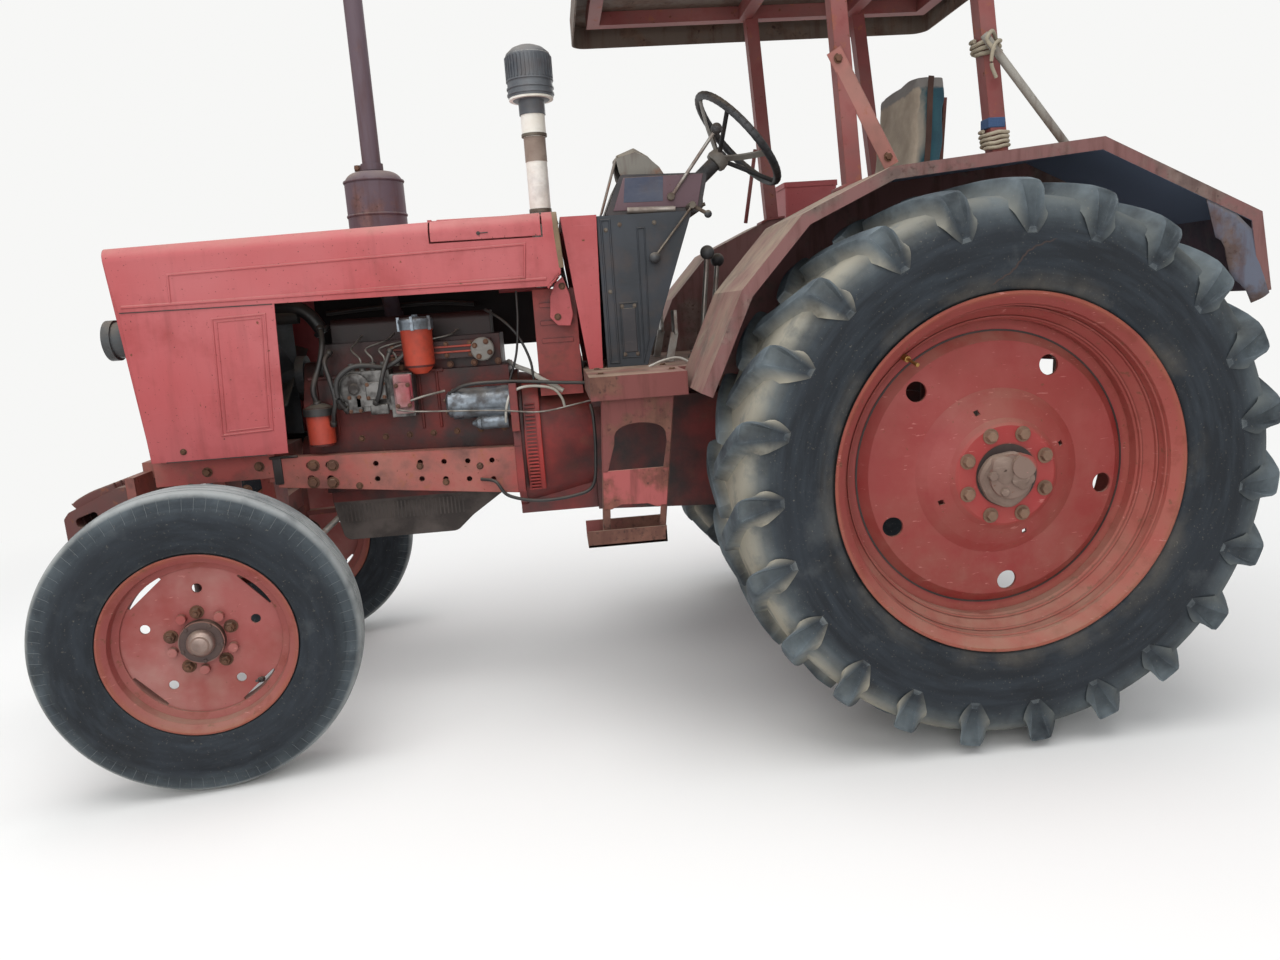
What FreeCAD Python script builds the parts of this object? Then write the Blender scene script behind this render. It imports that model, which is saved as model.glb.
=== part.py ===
"""Farm tractor with an open operator's place under a sun canopy.

Frame: +X forwards, +Y to the driver's left, +Z up, ground at Z = 0, millimetres.
All stations are first written from the rear axle (X = 0), and every node is moved
back by MID_X when it is written, so that the origin lies at the middle of the
object's box, on the ground.

The engine, gearbox and rear axle castings form the backbone. Two side rails join
the clutch housing to the front beam, which carries the front axle. The front wheels
stand steered a few degrees to the left, as parked.
"""
import os

import FreeCAD
import Part

from math import atan2, cos, degrees, hypot, pi, radians, sin, tan

V = FreeCAD.Vector
os.makedirs("parts", exist_ok=True)

# Driving dimensions
GEARBOX_X0 = 300           # front of the rear axle's centre housing
GEARBOX_L = 820
BELL_L = 277
ENGINE_L = 663
AXLE_AHEAD = 310           # front axle ahead of the engine's front face
CLUTCH_X0 = GEARBOX_X0 + GEARBOX_L
CLUTCH_X1 = CLUTCH_X0 + BELL_L
BLOCK_X0 = CLUTCH_X1
BLOCK_X1 = BLOCK_X0 + ENGINE_L
WHEELBASE = BLOCK_X1 + AXLE_AHEAD
REAR_TRACK = 1660
REAR_TYRE_R = 810
REAR_TYRE_W = 430
REAR_RIM_R = 508           # outside of the rim flange, a 38 inch rim
REAR_RIM_W = 380
REAR_LIP = (22, 25)        # width and height of the rim's edge
FRONT_TRACK = 1340
FRONT_TYRE_R = 460
FRONT_TYRE_W = 206
FRONT_RIM_R = 275          # outside of the rim flange, a 20 inch rim
FRONT_RIM_W = 164
FRONT_LIP = (15, 21)
FRONT_FACETS = 48
TREAD_HALF, TREAD_DROP = 72, 8
LUGS = 23                  # to each side of a rear tyre
LUG = [   # y, lead along the tread, drop of the top, radius of the foot, half widths of top and foot
    (0, 0, 0, REAR_TYRE_R - 44, 21, 31),
    (105, 66, 2, REAR_TYRE_R - 45, 20, 31),
    (203, 134, 16, REAR_TYRE_R - 58, 24, 36),
    (212, 142, 112, REAR_TYRE_R - 112, 18, 28),
]
STEER_REST = 8.5           # degrees to the left, as parked
RUN_GAP = 0.3              # running clearance of pins, shafts and seats
SHEET = 4                  # body sheet with its folded edges

BEAM_X1 = WHEELBASE + 220
WEIGHT_X = (BEAM_X1 + 100, BEAM_X1 + 315)
LINK_X, LINK_Z, LINK_Y = -150, 560, 230
LINK_END_Y = 435
LINK_DROP = 6.6            # degrees below the horizontal, as parked
LINK_LENGTH = 780
BALL_R, BALL_BORE = 28, 14.35
LINK_END_X = LINK_X - LINK_LENGTH * cos(radians(LINK_DROP))
LINK_END_Z = LINK_Z - LINK_LENGTH * sin(radians(LINK_DROP))
MID_X = (WEIGHT_X[1] + LINK_END_X - BALL_R) / 2

REAR_AXLE_Z = REAR_TYRE_R
FRONT_AXLE_Z = FRONT_TYRE_R

# Backbone
BLOCK_HALF = 170
BLOCK_Z0, BLOCK_Z1 = 780, 1180
SUMP_Z = 602
HEAD_HALF = 140
PUMP_Y, PUMP_Z = 220, 1125
STARTER_Y, STARTER_Z, STARTER_R = 240, 1062, 52
MANIFOLD_Y = -172
HEAD_Z1, COVER_Z1 = 1290, 1372
CLUTCH_Z = 895
CLUTCH_R_FRONT, CLUTCH_R_REAR = 252, 205
GEARBOX_HALF = 170
GEARBOX_Z0, GEARBOX_Z1 = 600, 1020
CENTRE_X0 = -230
CENTRE_HALF = 210
CENTRE_Z0, CENTRE_Z1 = 560, 1060
TRUMPET_R0, TRUMPET_R1 = 130, 92
TRUMPET_END = REAR_TRACK / 2 - REAR_TYRE_W / 2 - 25
SHAFT_R = 38
SHAFT_OVERLAP = 120        # how far the shaft runs inside the trumpet
LIFT_TOP = CENTRE_Z1 + 150

# Front beam and rails
RAIL_OUT = 260             # half width over the rails
RAIL_WEB = 12
RAIL_FLANGE = 55
RAIL_X0, RAIL_X1 = CLUTCH_X1, WHEELBASE - 174
RAIL_ROWS = (0.3, 0.72)    # the two rows of holes, as shares of the rail's depth
RAIL_HOLES = (81, 163, 243, 323, 471)      # from the rail's rear end
RAIL_BOLTS = (174, 110)                    # from its front end
HOLE_R, BOLT_R = 9, 12
RAIL_Z_REAR = (742, 903)
RAIL_Z_FRONT = (828, 929)
BEAM_Z0, BEAM_Z1 = 862, 950
WEIGHT_HALF, WEIGHT_COUNT = 255, 10
WEIGHT_TOP = 872
PIVOT_R = 28

# Front axle
KINGPIN_IN = 150           # the kingpin inside the wheel's middle plane
KINGPIN_Y = FRONT_TRACK / 2 - KINGPIN_IN
KINGPIN_R = 24
KNUCKLE_R = 42
AXLE_TUBE = 76             # square section of the axle beam
STEER_ARM = 180
TIE_Z = FRONT_AXLE_Z + 125
PIVOT_Z = TIE_Z + 80       # the front axle's centre pin
ARM_T = 20                 # thickness of the steering arms
TIE_PIN_R = 10
CRANK_R = 18
SPINDLE_R = 26

# Hood and its neighbours
FENDER_POLAR = [   # around the rear tyre: degrees above the front, height over the tread
    (18.9, 83), (37.8, 101), (53.8, 115), (70.7, 96), (108.3, 140), (138.5, 213), (150.3, 118)]
FENDER_PATH = [(REAR_TYRE_R * cos(radians(a)) + gap * cos(radians(a)),
                REAR_AXLE_Z + (REAR_TYRE_R + gap) * sin(radians(a))) for a, gap in FENDER_POLAR]
FENDER_IN = REAR_TRACK / 2 - REAR_TYRE_W / 2 - 115
FENDER_OUT = REAR_TRACK / 2 + 100
FENDER_LIP = 34
FLOOR_X0, FLOOR_X1 = 50, FENDER_PATH[0][0] + 5
FLOOR_X2 = FLOOR_X1 + 290
COWL_X0 = FLOOR_X2 - 80
HOOD_X0, HOOD_X1 = COWL_X0 + 147, BEAM_X1 + 29
HOOD_Z, HOOD_FALL, HOOD_LOW = 1670, 33, 1431
HOOD_HALF = 320
HOOD_SIDE = [(HOOD_X0, HOOD_Z), (HOOD_X1, HOOD_Z - HOOD_FALL), (HOOD_X1 - 27, HOOD_LOW + 4),
             (HOOD_X0 + 30, HOOD_LOW), (HOOD_X0 - 17, HOOD_LOW + 49)]
HOOD_EDGE_R = 45
FAN_X, FAN_Z, FAN_R = BLOCK_X1 + 130, 1185, 205
FAN_SHAFT_R = 12
RADIATOR_X = (FAN_X + 140, FAN_X + 260)
RADIATOR_TOP = 1424
RADIATOR_HALF = 235
PANEL_X = (FAN_X - 78, BEAM_X1, BEAM_X1 - 23, FAN_X - 57)    # top rear, top front, foot front, foot rear
GRILLE_T = 34
GRILLE_BARS, GRILLE_PITCH = 11, 52
LAMP_Z, LAMP_Y, LAMP_R = 1352, 245, 58
HATCH_X = (HOOD_X0 + 33, HOOD_X0 + 398)
HATCH_DROP = 76            # how far the hatch reaches down the hood's side
HATCH_IN = 150             # and across its top
HATCH_GAP = 5
HINGE_R = 6

# Operator's place
COWL_TOP = (COWL_X0, COWL_X0 + 120)
COWL_FOOT = (COWL_X0 + 15, COWL_X0 + 62)
COWL_Z1 = HOOD_Z - 20
COWL_HALF = 300
BULK_X = (COWL_X0 + 85, COWL_X0 + 232)     # red bulkhead box on the bell, inside the cowl's hoop
BULK_HALF, BULK_Z1 = 215, HOOD_Z - 245
BULK_FOOT = 170                            # the box's sides end this far above the bell's axis
COVER_X0, COVER_Z0 = COWL_X0 + 370, HOOD_LOW - 196
COVER_LAP = 30
CONSOLE_Z1 = COWL_Z1 - 4
CONSOLE_TOP, CONSOLE_FOOT = COWL_X0 - 318, COWL_X0 - 138
CONSOLE_HALF = 290
BOX_SIDE = [(COWL_X0 - 32, CONSOLE_Z1 + RUN_GAP), (COWL_X0 - 93, CONSOLE_Z1 + 134),
            (COWL_X0 - 388, CONSOLE_Z1 + 127), (COWL_X0 - 357, CONSOLE_Z1 + RUN_GAP)]
BOX_HALF = 230
WHEEL_CENTRE = (COWL_X0 - 545, COWL_Z1 + 261)
SHAFT_TOP_R = 10
WHEEL_R, WHEEL_TUBE = 212, 13
WHEEL_LEAN = 41            # degrees of the wheel's axis above the horizontal
WHEEL_DISH = 108
FLOOR_Z = 1150
FLOOR_SHEET, FLOOR_LIP = 6, 70
FLOOR_HALF = 720
SEAT_Z = 1450
SEAT_LEAN = ((-150, SEAT_Z - 56), (-197, SEAT_Z + 540))
STEP_Z = 640
LEVERS = [   # foot, knob's centre, rod radius, knob radius
    ((700, 60, FLOOR_Z), (660, 70, FLOOR_Z + 370), 9, 24),
    ((640, -70, FLOOR_Z), (590, -120, FLOOR_Z + 350), 9, 24),
    ((COWL_X0 - 260, BOX_HALF + 6, COWL_Z1 + 50), (COWL_X0 - 420, BOX_HALF + 30, COWL_Z1 + 255), 6, 18),
]
PEDAL_Y = (200, -190, -290)
POST_Y = FENDER_IN + 28
POST_W = 50
POSTS_X = [(278, 330), (-195, -110)]       # each pair's foot and head
ROOF_X = (-470, 1056)
ROOF_HALF = POST_Y + 172
ROOF_Z = 2506
ROOF_LIP = 84
ROOF_T = 14
FENDER_TOP = max(z for x, z in FENDER_PATH)
TOOL_BOX_X = (-28, 196)                    # between the posts' feet, right fender only
TOOL_BOX_Y = (-POST_Y - 232, -POST_Y - 52)
TOOL_BOX_Z = FENDER_TOP + 112
LID_T, LID_LIP = 22, 5

# Stacks
EXHAUST_X, EXHAUST_Y = BLOCK_X1 - 240, -60
MUFFLER_R, PIPE_R = 102, 32
MUFFLER_TOP, EXHAUST_TOP = 1875, 2560
INTAKE_X, INTAKE_Y, INTAKE_R = HOOD_X0 + 33, -60, 38
INTAKE_TOP, CAP_R, CAP_TOP = 2090, 78, 2240

# Hitch
ROCK_X, ROCK_Z, ROCK_R = -190, CENTRE_Z1 + 70, 30
LIFT_ARM = 330
LIFT_ROD_OUT = 40          # the lift rod's lower eye outside the link's middle
DRAWBAR_X, DRAWBAR_Z, DRAWBAR_T, DRAWBAR_BORE = -560, 486, 32, 16.5
TOP_PIN_R = 12.9
LINK_PIN_R = 16
PTO_Z, PTO_R = 690, 17.5


def at(plane, a, b, c):
    """A 3-D point from plane coordinates (a, b) at the station c across the plane."""
    return {"XZ": V(a, c, b), "YZ": V(c, a, b), "XY": V(a, b, c)}[plane]


def wire(points, plane, station, radius=0):
    """A closed outline with straight runs and, where radius is set, arcs at its corners."""
    n = len(points)
    radii = radius if isinstance(radius, (list, tuple)) else [radius] * n
    edges, ends = [], []
    for i, (x, y) in enumerate(points):
        (px, py), (nx, ny) = points[i - 1], points[(i + 1) % n]
        r = radii[i]
        if r <= 0:
            ends.append(((x, y), None, (x, y)))
            continue
        a, b = (px - x, py - y), (nx - x, ny - y)
        la, lb = hypot(*a), hypot(*b)
        a, b = (a[0] / la, a[1] / la), (b[0] / lb, b[1] / lb)
        half = atan2(abs(a[0] * b[1] - a[1] * b[0]), a[0] * b[0] + a[1] * b[1]) / 2
        cut = min(r / tan(half), 0.45 * la, 0.45 * lb)
        r = cut * tan(half)
        mid = (a[0] + b[0], a[1] + b[1])
        lm = hypot(*mid)
        reach = r / sin(half) - r
        ends.append((
            (x + a[0] * cut, y + a[1] * cut),
            (x + mid[0] / lm * reach, y + mid[1] / lm * reach),
            (x + b[0] * cut, y + b[1] * cut),
        ))
    for i, (first, middle, last) in enumerate(ends):
        if middle:
            edges.append(Part.Arc(at(plane, *first, station), at(plane, *middle, station),
                                  at(plane, *last, station)).toShape())
        start, end = at(plane, *last, station), at(plane, *ends[(i + 1) % n][0], station)
        if (end - start).Length > 1e-6:
            edges.append(Part.LineSegment(start, end).toShape())
    return Part.Wire(edges)


def prism(points, plane, c0, c1, radius=0):
    """The outline carried straight from station c0 to c1."""
    step = at(plane, 0, 0, c1) - at(plane, 0, 0, c0)
    return Part.Face(wire(points, plane, c0, radius)).extrude(step)


def box(x0, x1, y0, y1, z0, z1):
    return Part.makeBox(x1 - x0, y1 - y0, z1 - z0, V(x0, y0, z0))


def rod(p, q, r):
    """A round bar from p to q."""
    p, q = V(*p), V(*q)
    return Part.makeCylinder(r, (q - p).Length, p, q - p)


def cone(p, q, r0, r1):
    p, q = V(*p), V(*q)
    return Part.makeCone(r0, r1, (q - p).Length, p, q - p)


def bar(p, q, width, height, across=(0, 1, 0)):
    """A rectangular bar from p to q; width lies along across, height square to both."""
    p, q, side = V(*p), V(*q), V(*across)
    along = q - p
    up = along.cross(side)
    up.normalize()
    side = up.cross(along)
    side.normalize()
    corners = [p + side * (s * width / 2) + up * (t * height / 2)
               for s, t in ((-1, -1), (1, -1), (1, 1), (-1, 1), (-1, -1))]
    return Part.Face(Part.makePolygon(corners)).extrude(along)


def turned(profile, radius=0):
    """A ring about the Y axis through the origin, from a closed profile of (y, r) points."""
    return Part.Face(wire([(r, y) for y, r in profile], "XY", 0, radius)).revolve(V(0, 0, 0), V(0, 1, 0), 360)


def ribbon(points, t):
    """The closed outline of a strip of thickness t below an open path of points."""
    normals = []
    for (x0, z0), (x1, z1) in zip(points, points[1:]):
        length = hypot(x1 - x0, z1 - z0)
        normals.append(((z1 - z0) / length, -(x1 - x0) / length))
    inner = []
    for i, (x, z) in enumerate(points):
        a, b = normals[max(i - 1, 0)], normals[min(i, len(normals) - 1)]
        m = (a[0] + b[0], a[1] + b[1])
        scale = t * 2 / (m[0] ** 2 + m[1] ** 2)
        inner.append((x - m[0] * scale, z - m[1] * scale))
    return list(points) + inner[::-1]


def joined(shapes):
    """One solid, or several that touch, fused and with their shared faces merged."""
    shapes = list(shapes)
    body = shapes[0].multiFuse(shapes[1:]) if len(shapes) > 1 else shapes[0]
    return body.removeSplitter()


def mirrored(shape):
    return shape.mirror(V(0, 0, 0), V(0, 1, 0))


def both(shape):
    """A piece and its mirror image on the other side, as separate solids."""
    return Part.makeCompound([shape, mirrored(shape)])


def around(shape, count, axis=V(0, 1, 0), centre=V(0, 0, 0), start=0.0):
    """Copies of a shape, evenly turned about an axis."""
    copies = []
    for i in range(count):
        c = shape.copy()
        c.rotate(centre, axis, start + i * 360 / count)
        copies.append(c)
    return copies


def moved(shape, x=0, y=0, z=0):
    c = shape.copy()
    c.translate(V(x, y, z))
    return c


def wheel_side(shape, side, x, y, z):
    """Places a wheel piece, built with its outside towards +Y, on the left or right side."""
    s = shape if side > 0 else mirrored(shape)
    return moved(s, x, side * y, z)


def steered(shape, side):
    """Turns a piece of a front wheel's body to the parked steering angle about its kingpin."""
    c = shape.copy()
    c.rotate(V(WHEELBASE, side * KINGPIN_Y, 0), V(0, 0, 1), STEER_REST)
    return c


def closed(faces):
    """A solid from flat faces that meet edge to edge."""
    solid = Part.Solid(Part.Shell([Part.Face(Part.makePolygon(list(f) + [f[0]])) for f in faces]))
    if solid.Volume < 0:
        solid.reverse()
    return solid


def ring(y, r, angles):
    """Points at height y along the axis and radius r, one at each angle, or one radius for each."""
    radii = r if isinstance(r, list) else [r] * len(angles)
    return [V(d * sin(a), y, -d * cos(a)) for d, a in zip(radii, angles)]


def band(first, second):
    """Flat pieces between two rings of as many points, two triangles for each step."""
    faces = []
    for i in range(len(first)):
        j = (i + 1) % len(first)
        faces.append((first[i], first[j], second[j]))
        faces.append((first[i], second[j], second[i]))
    return faces


def rim_seat(rim_r, rim_half, lip):
    """The bead's outline on the rim, as (y, r): its foot inside the rim's edge, then its side."""
    return [(rim_half - lip[0] - 2, rim_r - lip[1] + RUN_GAP), (rim_half - 6, rim_r + 4)]


def tyre():
    """A front tyre in flat facets: flat tread, round shoulders, bulging sidewalls and beads."""
    grow = 1 / cos(pi / FRONT_FACETS)
    belly = FRONT_RIM_R + (FRONT_TYRE_R - FRONT_RIM_R) * 0.42
    near = rim_seat(FRONT_RIM_R, FRONT_RIM_W / 2, FRONT_LIP)
    near += [(FRONT_TYRE_W / 2, belly), (TREAD_HALF, FRONT_TYRE_R - TREAD_DROP)]
    outline = [(-y, r) for y, r in near] + [(0, FRONT_TYRE_R)] + near[::-1]
    angles = [(k + 0.5) * 2 * pi / FRONT_FACETS for k in range(FRONT_FACETS)]
    rings = [ring(y, r * grow, angles) for y, r in outline]
    faces = []
    for a, b in zip(rings, rings[1:] + rings[:1]):
        faces += [(a[i], a[i - 1], b[i - 1], b[i]) for i in range(FRONT_FACETS)]
    return closed(faces)


def lug_line(half, lead, side):
    """The angles of the lugs' two edges around the tyre, a pair for each lug in turn."""
    pitch = 2 * pi / LUGS
    first = 0 if side > 0 else pitch / 2
    return [first + i * pitch + (lead + w) / REAR_TYRE_R for i in range(LUGS) for w in (-half, half)]


def lugged_side(side):
    """One side of a rear tyre, from the middle of its tread to its bead, and its two end rings."""
    low, high = [], []
    for y, lead, top, foot, top_half, foot_half in LUG:
        low.append(ring(side * y, foot, lug_line(foot_half, lead, side)))
        height = (REAR_TYRE_R - top) / cos(top_half / REAR_TYRE_R)
        high.append(ring(side * y, height, lug_line(top_half, lead, side)))
    high[-1] = low[-1]
    faces = []
    for i in range(0, 2 * LUGS, 2):
        j, k = i + 1, (i + 2) % (2 * LUGS)
        faces += [(low[0][i], low[0][j], high[0][j]), (low[0][i], high[0][j], high[0][i])]
        for n in range(len(LUG) - 1):
            a, b, c, d = low[n], low[n + 1], high[n], high[n + 1]
            faces += [(c[i], c[j], d[j]), (c[i], d[j], d[i])]
            if n:
                faces += [(a[j], a[k], b[k]), (a[j], b[k], b[j])]
            for edge in (i, j):
                faces.append((a[edge], b[edge], c[edge]))
                if d[edge] != b[edge]:
                    faces.append((b[edge], d[edge], c[edge]))
    lead = LUG[-1][1]
    quarter = pi * REAR_TYRE_R / LUGS / 2
    rings = [low[-1]]
    grow = 1 / cos(pi / LUGS / 2)
    near = rim_seat(REAR_RIM_R, REAR_RIM_W / 2, REAR_LIP)
    for y, r in [(REAR_TYRE_W / 2, REAR_RIM_R + (REAR_TYRE_R - REAR_RIM_R) * 0.42)] + near[::-1]:
        rings.append(ring(side * y, r * grow, lug_line(quarter, lead, side)))
    for a, b in zip(rings, rings[1:]):
        faces += band(a, b)
    return faces, low[:2], rings[-1]


def lugged_tyre():
    """A rear tyre in flat facets: slanting lugs on both sides, half a pitch apart, and beads."""
    (left, left_low, left_end), (right, right_low, right_end) = lugged_side(1), lugged_side(-1)
    faces = left + right
    turn = right_end[-1:] + right_end[:-1]
    faces += band(left_end, turn)
    count = 2 * LUGS
    for i in range(0, count, 2):
        for here, there, a, b in ((left_low, right_low[0], i, i + 1), (right_low, left_low[0], i + 2, i + 3)):
            mid, out = here
            j, k = (i + 1) % count, (i + 2) % count
            a, b = a % count, b % count
            faces += [(mid[j], there[a], out[j]), (there[a], there[b], out[j]), (there[b], out[k], out[j]),
                      (there[b], mid[k], out[k])]
    return closed(faces)


def rear_wheel():
    """Rim, dished disc with five holes, and the clamping hub on its half shaft."""
    half = REAR_RIM_W / 2
    wall = 9
    lip, seat = REAR_LIP[0], REAR_RIM_R - REAR_LIP[1]
    well = seat - 42
    disc_y = half - 146
    hub_y = half - 44
    disc_r = 426
    outer = [(half, REAR_RIM_R), (half - lip, seat), (half - 70, seat - 6), (disc_y + 30, well), (-60, well),
             (-110, seat - 6), (lip - half, seat), (-half, REAR_RIM_R)]
    inner = [(y, r - wall) for y, r in outer]
    rim = turned(outer + inner[::-1])
    foot = (disc_y, disc_r + 14)
    dish = [foot, (disc_y, 400), (disc_y + 22, 372), (disc_y + 40, 240), (disc_y + 58, 212), (hub_y - 16, 160),
            (hub_y, 140), (hub_y, 88)]
    back = [(y - wall, r) for y, r in dish]
    disc = turned(dish + back[::-1])
    holes = around(rod((335, -200, 0), (335, 200, 0), 29), 5, start=-47)
    squares = around(box(183, 197, -200, 200, -7, 7), 4, start=-68)
    disc = disc.cut(Part.makeCompound(holes + squares))
    flange = rod((0, hub_y - wall - 22, 0), (0, hub_y - wall, 0), 138)
    barrel = cone((0, hub_y - 150, 0), (0, hub_y - wall - 10, 0), 70, 96)
    bolts = around(rod((121, hub_y - wall - 10, 0), (121, hub_y + 16, 0), 12), 8, start=22.5)
    nose = rod((0, hub_y - 40, 0), (0, hub_y + 34, 0), 62)
    cheek = moved(rod((0, hub_y - 40, 0), (0, hub_y + 46, 0), 34), x=-30, z=28)
    shaft = rod((0, TRUMPET_END - SHAFT_OVERLAP - REAR_TRACK / 2, 0), (0, hub_y + 20, 0), SHAFT_R)
    return joined([rim, disc, flange, barrel, nose, cheek, shaft] + bolts)


def front_wheel():
    """Rim, flat disc with open segments towards the rim, hub with cap and five nuts."""
    half = FRONT_RIM_W / 2
    wall = 6
    lip, seat = FRONT_LIP[0], FRONT_RIM_R - FRONT_LIP[1]
    well = seat - 24
    disc_y = half - 56
    outer = [(half, FRONT_RIM_R), (half - lip, seat), (half - 42, seat - 4), (disc_y + 6, well), (-22, well),
             (-44, seat - 4), (lip - half, seat), (-half, FRONT_RIM_R)]
    inner = [(y, r - wall) for y, r in outer]
    rim = turned(outer + inner[::-1])
    disc = rod((0, disc_y - wall, 0), (0, disc_y, 0), well - 2)
    chord = 208
    gaps = around(box(chord, well - wall - 1, -300, 300, -62, 62), 4, start=40)
    holes = around(rod((160, -300, 0), (160, 300, 0), 14), 5, start=-20)
    disc = disc.cut(Part.makeCompound(gaps + holes))
    nuts = around(rod((88, disc_y - 2, 0), (88, disc_y + 18, 0), 14), 5, start=15)
    hub = rod((0, -64, 0), (0, disc_y - 4, 0), 50)
    hub = hub.fuse(rod((0, disc_y - 5, 0), (0, disc_y + 24, 0), 64))
    cap = cone((0, disc_y + 22, 0), (0, disc_y + 52, 0), 42, 26)
    bore = rod((0, -70, 0), (0, disc_y, 0), SPINDLE_R + RUN_GAP)
    return joined([rim, disc, hub, cap] + nuts).cut(bore)


def knuckle():
    """Left-hand knuckle: kingpin post, wheel spindle and steering arm, steered straight."""
    top = TIE_Z + ARM_T / 2 + 1
    post = rod((WHEELBASE, KINGPIN_Y, FRONT_AXLE_Z - 55), (WHEELBASE, KINGPIN_Y, top), KNUCKLE_R)
    pin = rod((WHEELBASE, KINGPIN_Y, top - 6), (WHEELBASE, KINGPIN_Y, PIVOT_Z + 85), KINGPIN_R)
    wheel_y = FRONT_TRACK / 2
    spindle = rod((WHEELBASE, KINGPIN_Y, FRONT_AXLE_Z), (WHEELBASE, wheel_y + 15, FRONT_AXLE_Z), SPINDLE_R)
    backing = rod((WHEELBASE, KINGPIN_Y, FRONT_AXLE_Z), (WHEELBASE, wheel_y - 70, FRONT_AXLE_Z), 46)
    eye_x = WHEELBASE - STEER_ARM
    arm = bar((WHEELBASE, KINGPIN_Y, TIE_Z), (eye_x, KINGPIN_Y, TIE_Z), 42, ARM_T)
    eye = rod((eye_x, KINGPIN_Y, TIE_Z - ARM_T / 2), (eye_x, KINGPIN_Y, TIE_Z + ARM_T / 2), 26)
    body = joined([post, pin, spindle, backing, arm, eye])
    bore = rod((WHEELBASE - STEER_ARM, KINGPIN_Y, TIE_Z - 20), (WHEELBASE - STEER_ARM, KINGPIN_Y, TIE_Z + 20),
               TIE_PIN_R + RUN_GAP)
    return body.cut(bore)


def front_axle():
    """Square beam with a sleeve for each kingpin and the centre pivot's boss."""
    half = AXLE_TUBE / 2
    beam = box(WHEELBASE - half, WHEELBASE + half, -KINGPIN_Y, KINGPIN_Y, PIVOT_Z - half, PIVOT_Z + half)
    boss = rod((WHEELBASE - 60, 0, PIVOT_Z), (WHEELBASE + 60, 0, PIVOT_Z), 56)
    crank_boss = rod((WHEELBASE, 0, TIE_Z + ARM_T / 2 + RUN_GAP), (WHEELBASE, 0, PIVOT_Z), 36)
    seat = TIE_Z + ARM_T / 2 + 1 + RUN_GAP
    parts = [beam, boss, crank_boss]
    for side in (1, -1):
        y = side * KINGPIN_Y
        parts.append(rod((WHEELBASE, y, seat), (WHEELBASE, y, PIVOT_Z + 75), 50))
    body = joined(parts)
    bores = [rod((WHEELBASE, s * KINGPIN_Y, seat - 9), (WHEELBASE, s * KINGPIN_Y, PIVOT_Z + 95), KINGPIN_R + RUN_GAP)
             for s in (1, -1)]
    bores.append(rod((WHEELBASE - 70, 0, PIVOT_Z), (WHEELBASE + 70, 0, PIVOT_Z), PIVOT_R))
    bores.append(rod((WHEELBASE, 0, TIE_Z), (WHEELBASE, 0, PIVOT_Z - PIVOT_R - 2), CRANK_R + RUN_GAP))
    return body.cut(Part.makeCompound(bores))


def crank():
    """Bell crank under the axle's centre, steered straight."""
    x = WHEELBASE
    hub = rod((x, 0, TIE_Z - ARM_T / 2), (x, 0, TIE_Z + ARM_T / 2), 36)
    shaft = rod((x, 0, TIE_Z), (x, 0, PIVOT_Z - PIVOT_R - 4), CRANK_R)
    arm = bar((x, 0, TIE_Z), (x - STEER_ARM, 0, TIE_Z), 42, ARM_T)
    eye = rod((x - STEER_ARM, 0, TIE_Z - ARM_T / 2), (x - STEER_ARM, 0, TIE_Z + ARM_T / 2), 26)
    bore = rod((x - STEER_ARM, 0, TIE_Z - 20), (x - STEER_ARM, 0, TIE_Z + 20), TIE_PIN_R + RUN_GAP)
    body = joined([hub, shaft, arm, eye]).cut(bore)
    body.rotate(V(x, 0, 0), V(0, 0, 1), STEER_REST)
    return body


def tie_rods():
    """The relay rod below the steering arms, with a pin up into each arm's eye."""
    x, z = WHEELBASE - STEER_ARM * cos(radians(STEER_REST)), TIE_Z - ARM_T / 2 - RUN_GAP
    shift = -STEER_ARM * sin(radians(STEER_REST))
    parts = [rod((x, shift - KINGPIN_Y, z - 13), (x, shift + KINGPIN_Y, z - 13), 12)]
    for y in (-KINGPIN_Y, 0, KINGPIN_Y):
        parts.append(rod((x, shift + y, z - 26), (x, shift + y, z), 24))
        parts.append(rod((x, shift + y, z - 26), (x, shift + y, TIE_Z + ARM_T / 2 + 6), TIE_PIN_R))
    return joined(parts)


def front_beam():
    """Cast front frame ahead of the rails, with the fork that holds the axle's pin."""
    mid = WHEELBASE
    frame = box(RAIL_X1 + 1, BEAM_X1, -RAIL_OUT, RAIL_OUT, BEAM_Z0, BEAM_Z1)
    pocket = box(mid - 70, mid + 60, -130, 130, BEAM_Z0 - 10, BEAM_Z1 - 22)
    parts = [frame.cut(pocket)]
    for x in (mid - 60 - 43, mid + 60 + 1):
        parts.append(prism([(-90, BEAM_Z0 + 5), (90, BEAM_Z0 + 5), (50, PIVOT_Z - 48), (-50, PIVOT_Z - 48)],
                           "YZ", x, x + 42, [0, 0, 40, 40]))
    parts.append(rod((mid - 112, 0, PIVOT_Z), (mid + 112, 0, PIVOT_Z), PIVOT_R - RUN_GAP))
    inner = RAIL_OUT - RAIL_WEB
    for side in (1, -1):
        y0, y1 = sorted((side * (inner - 24), side * inner))
        parts.append(box(RAIL_X1 - 111, RAIL_X1 + 30, y0, y1, RAIL_Z_FRONT[0] + 18, RAIL_Z_FRONT[1] - 23))
    hook = WEIGHT_X[0] - RUN_GAP
    parts.append(box(BEAM_X1 - 5, hook, -110, 110, BEAM_Z0 + 10, BEAM_Z1 - 20))
    parts.append(box(hook - 30, hook, -WEIGHT_HALF, WEIGHT_HALF, WEIGHT_TOP - 72, BEAM_Z0 + 38))
    return joined(parts)


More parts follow.
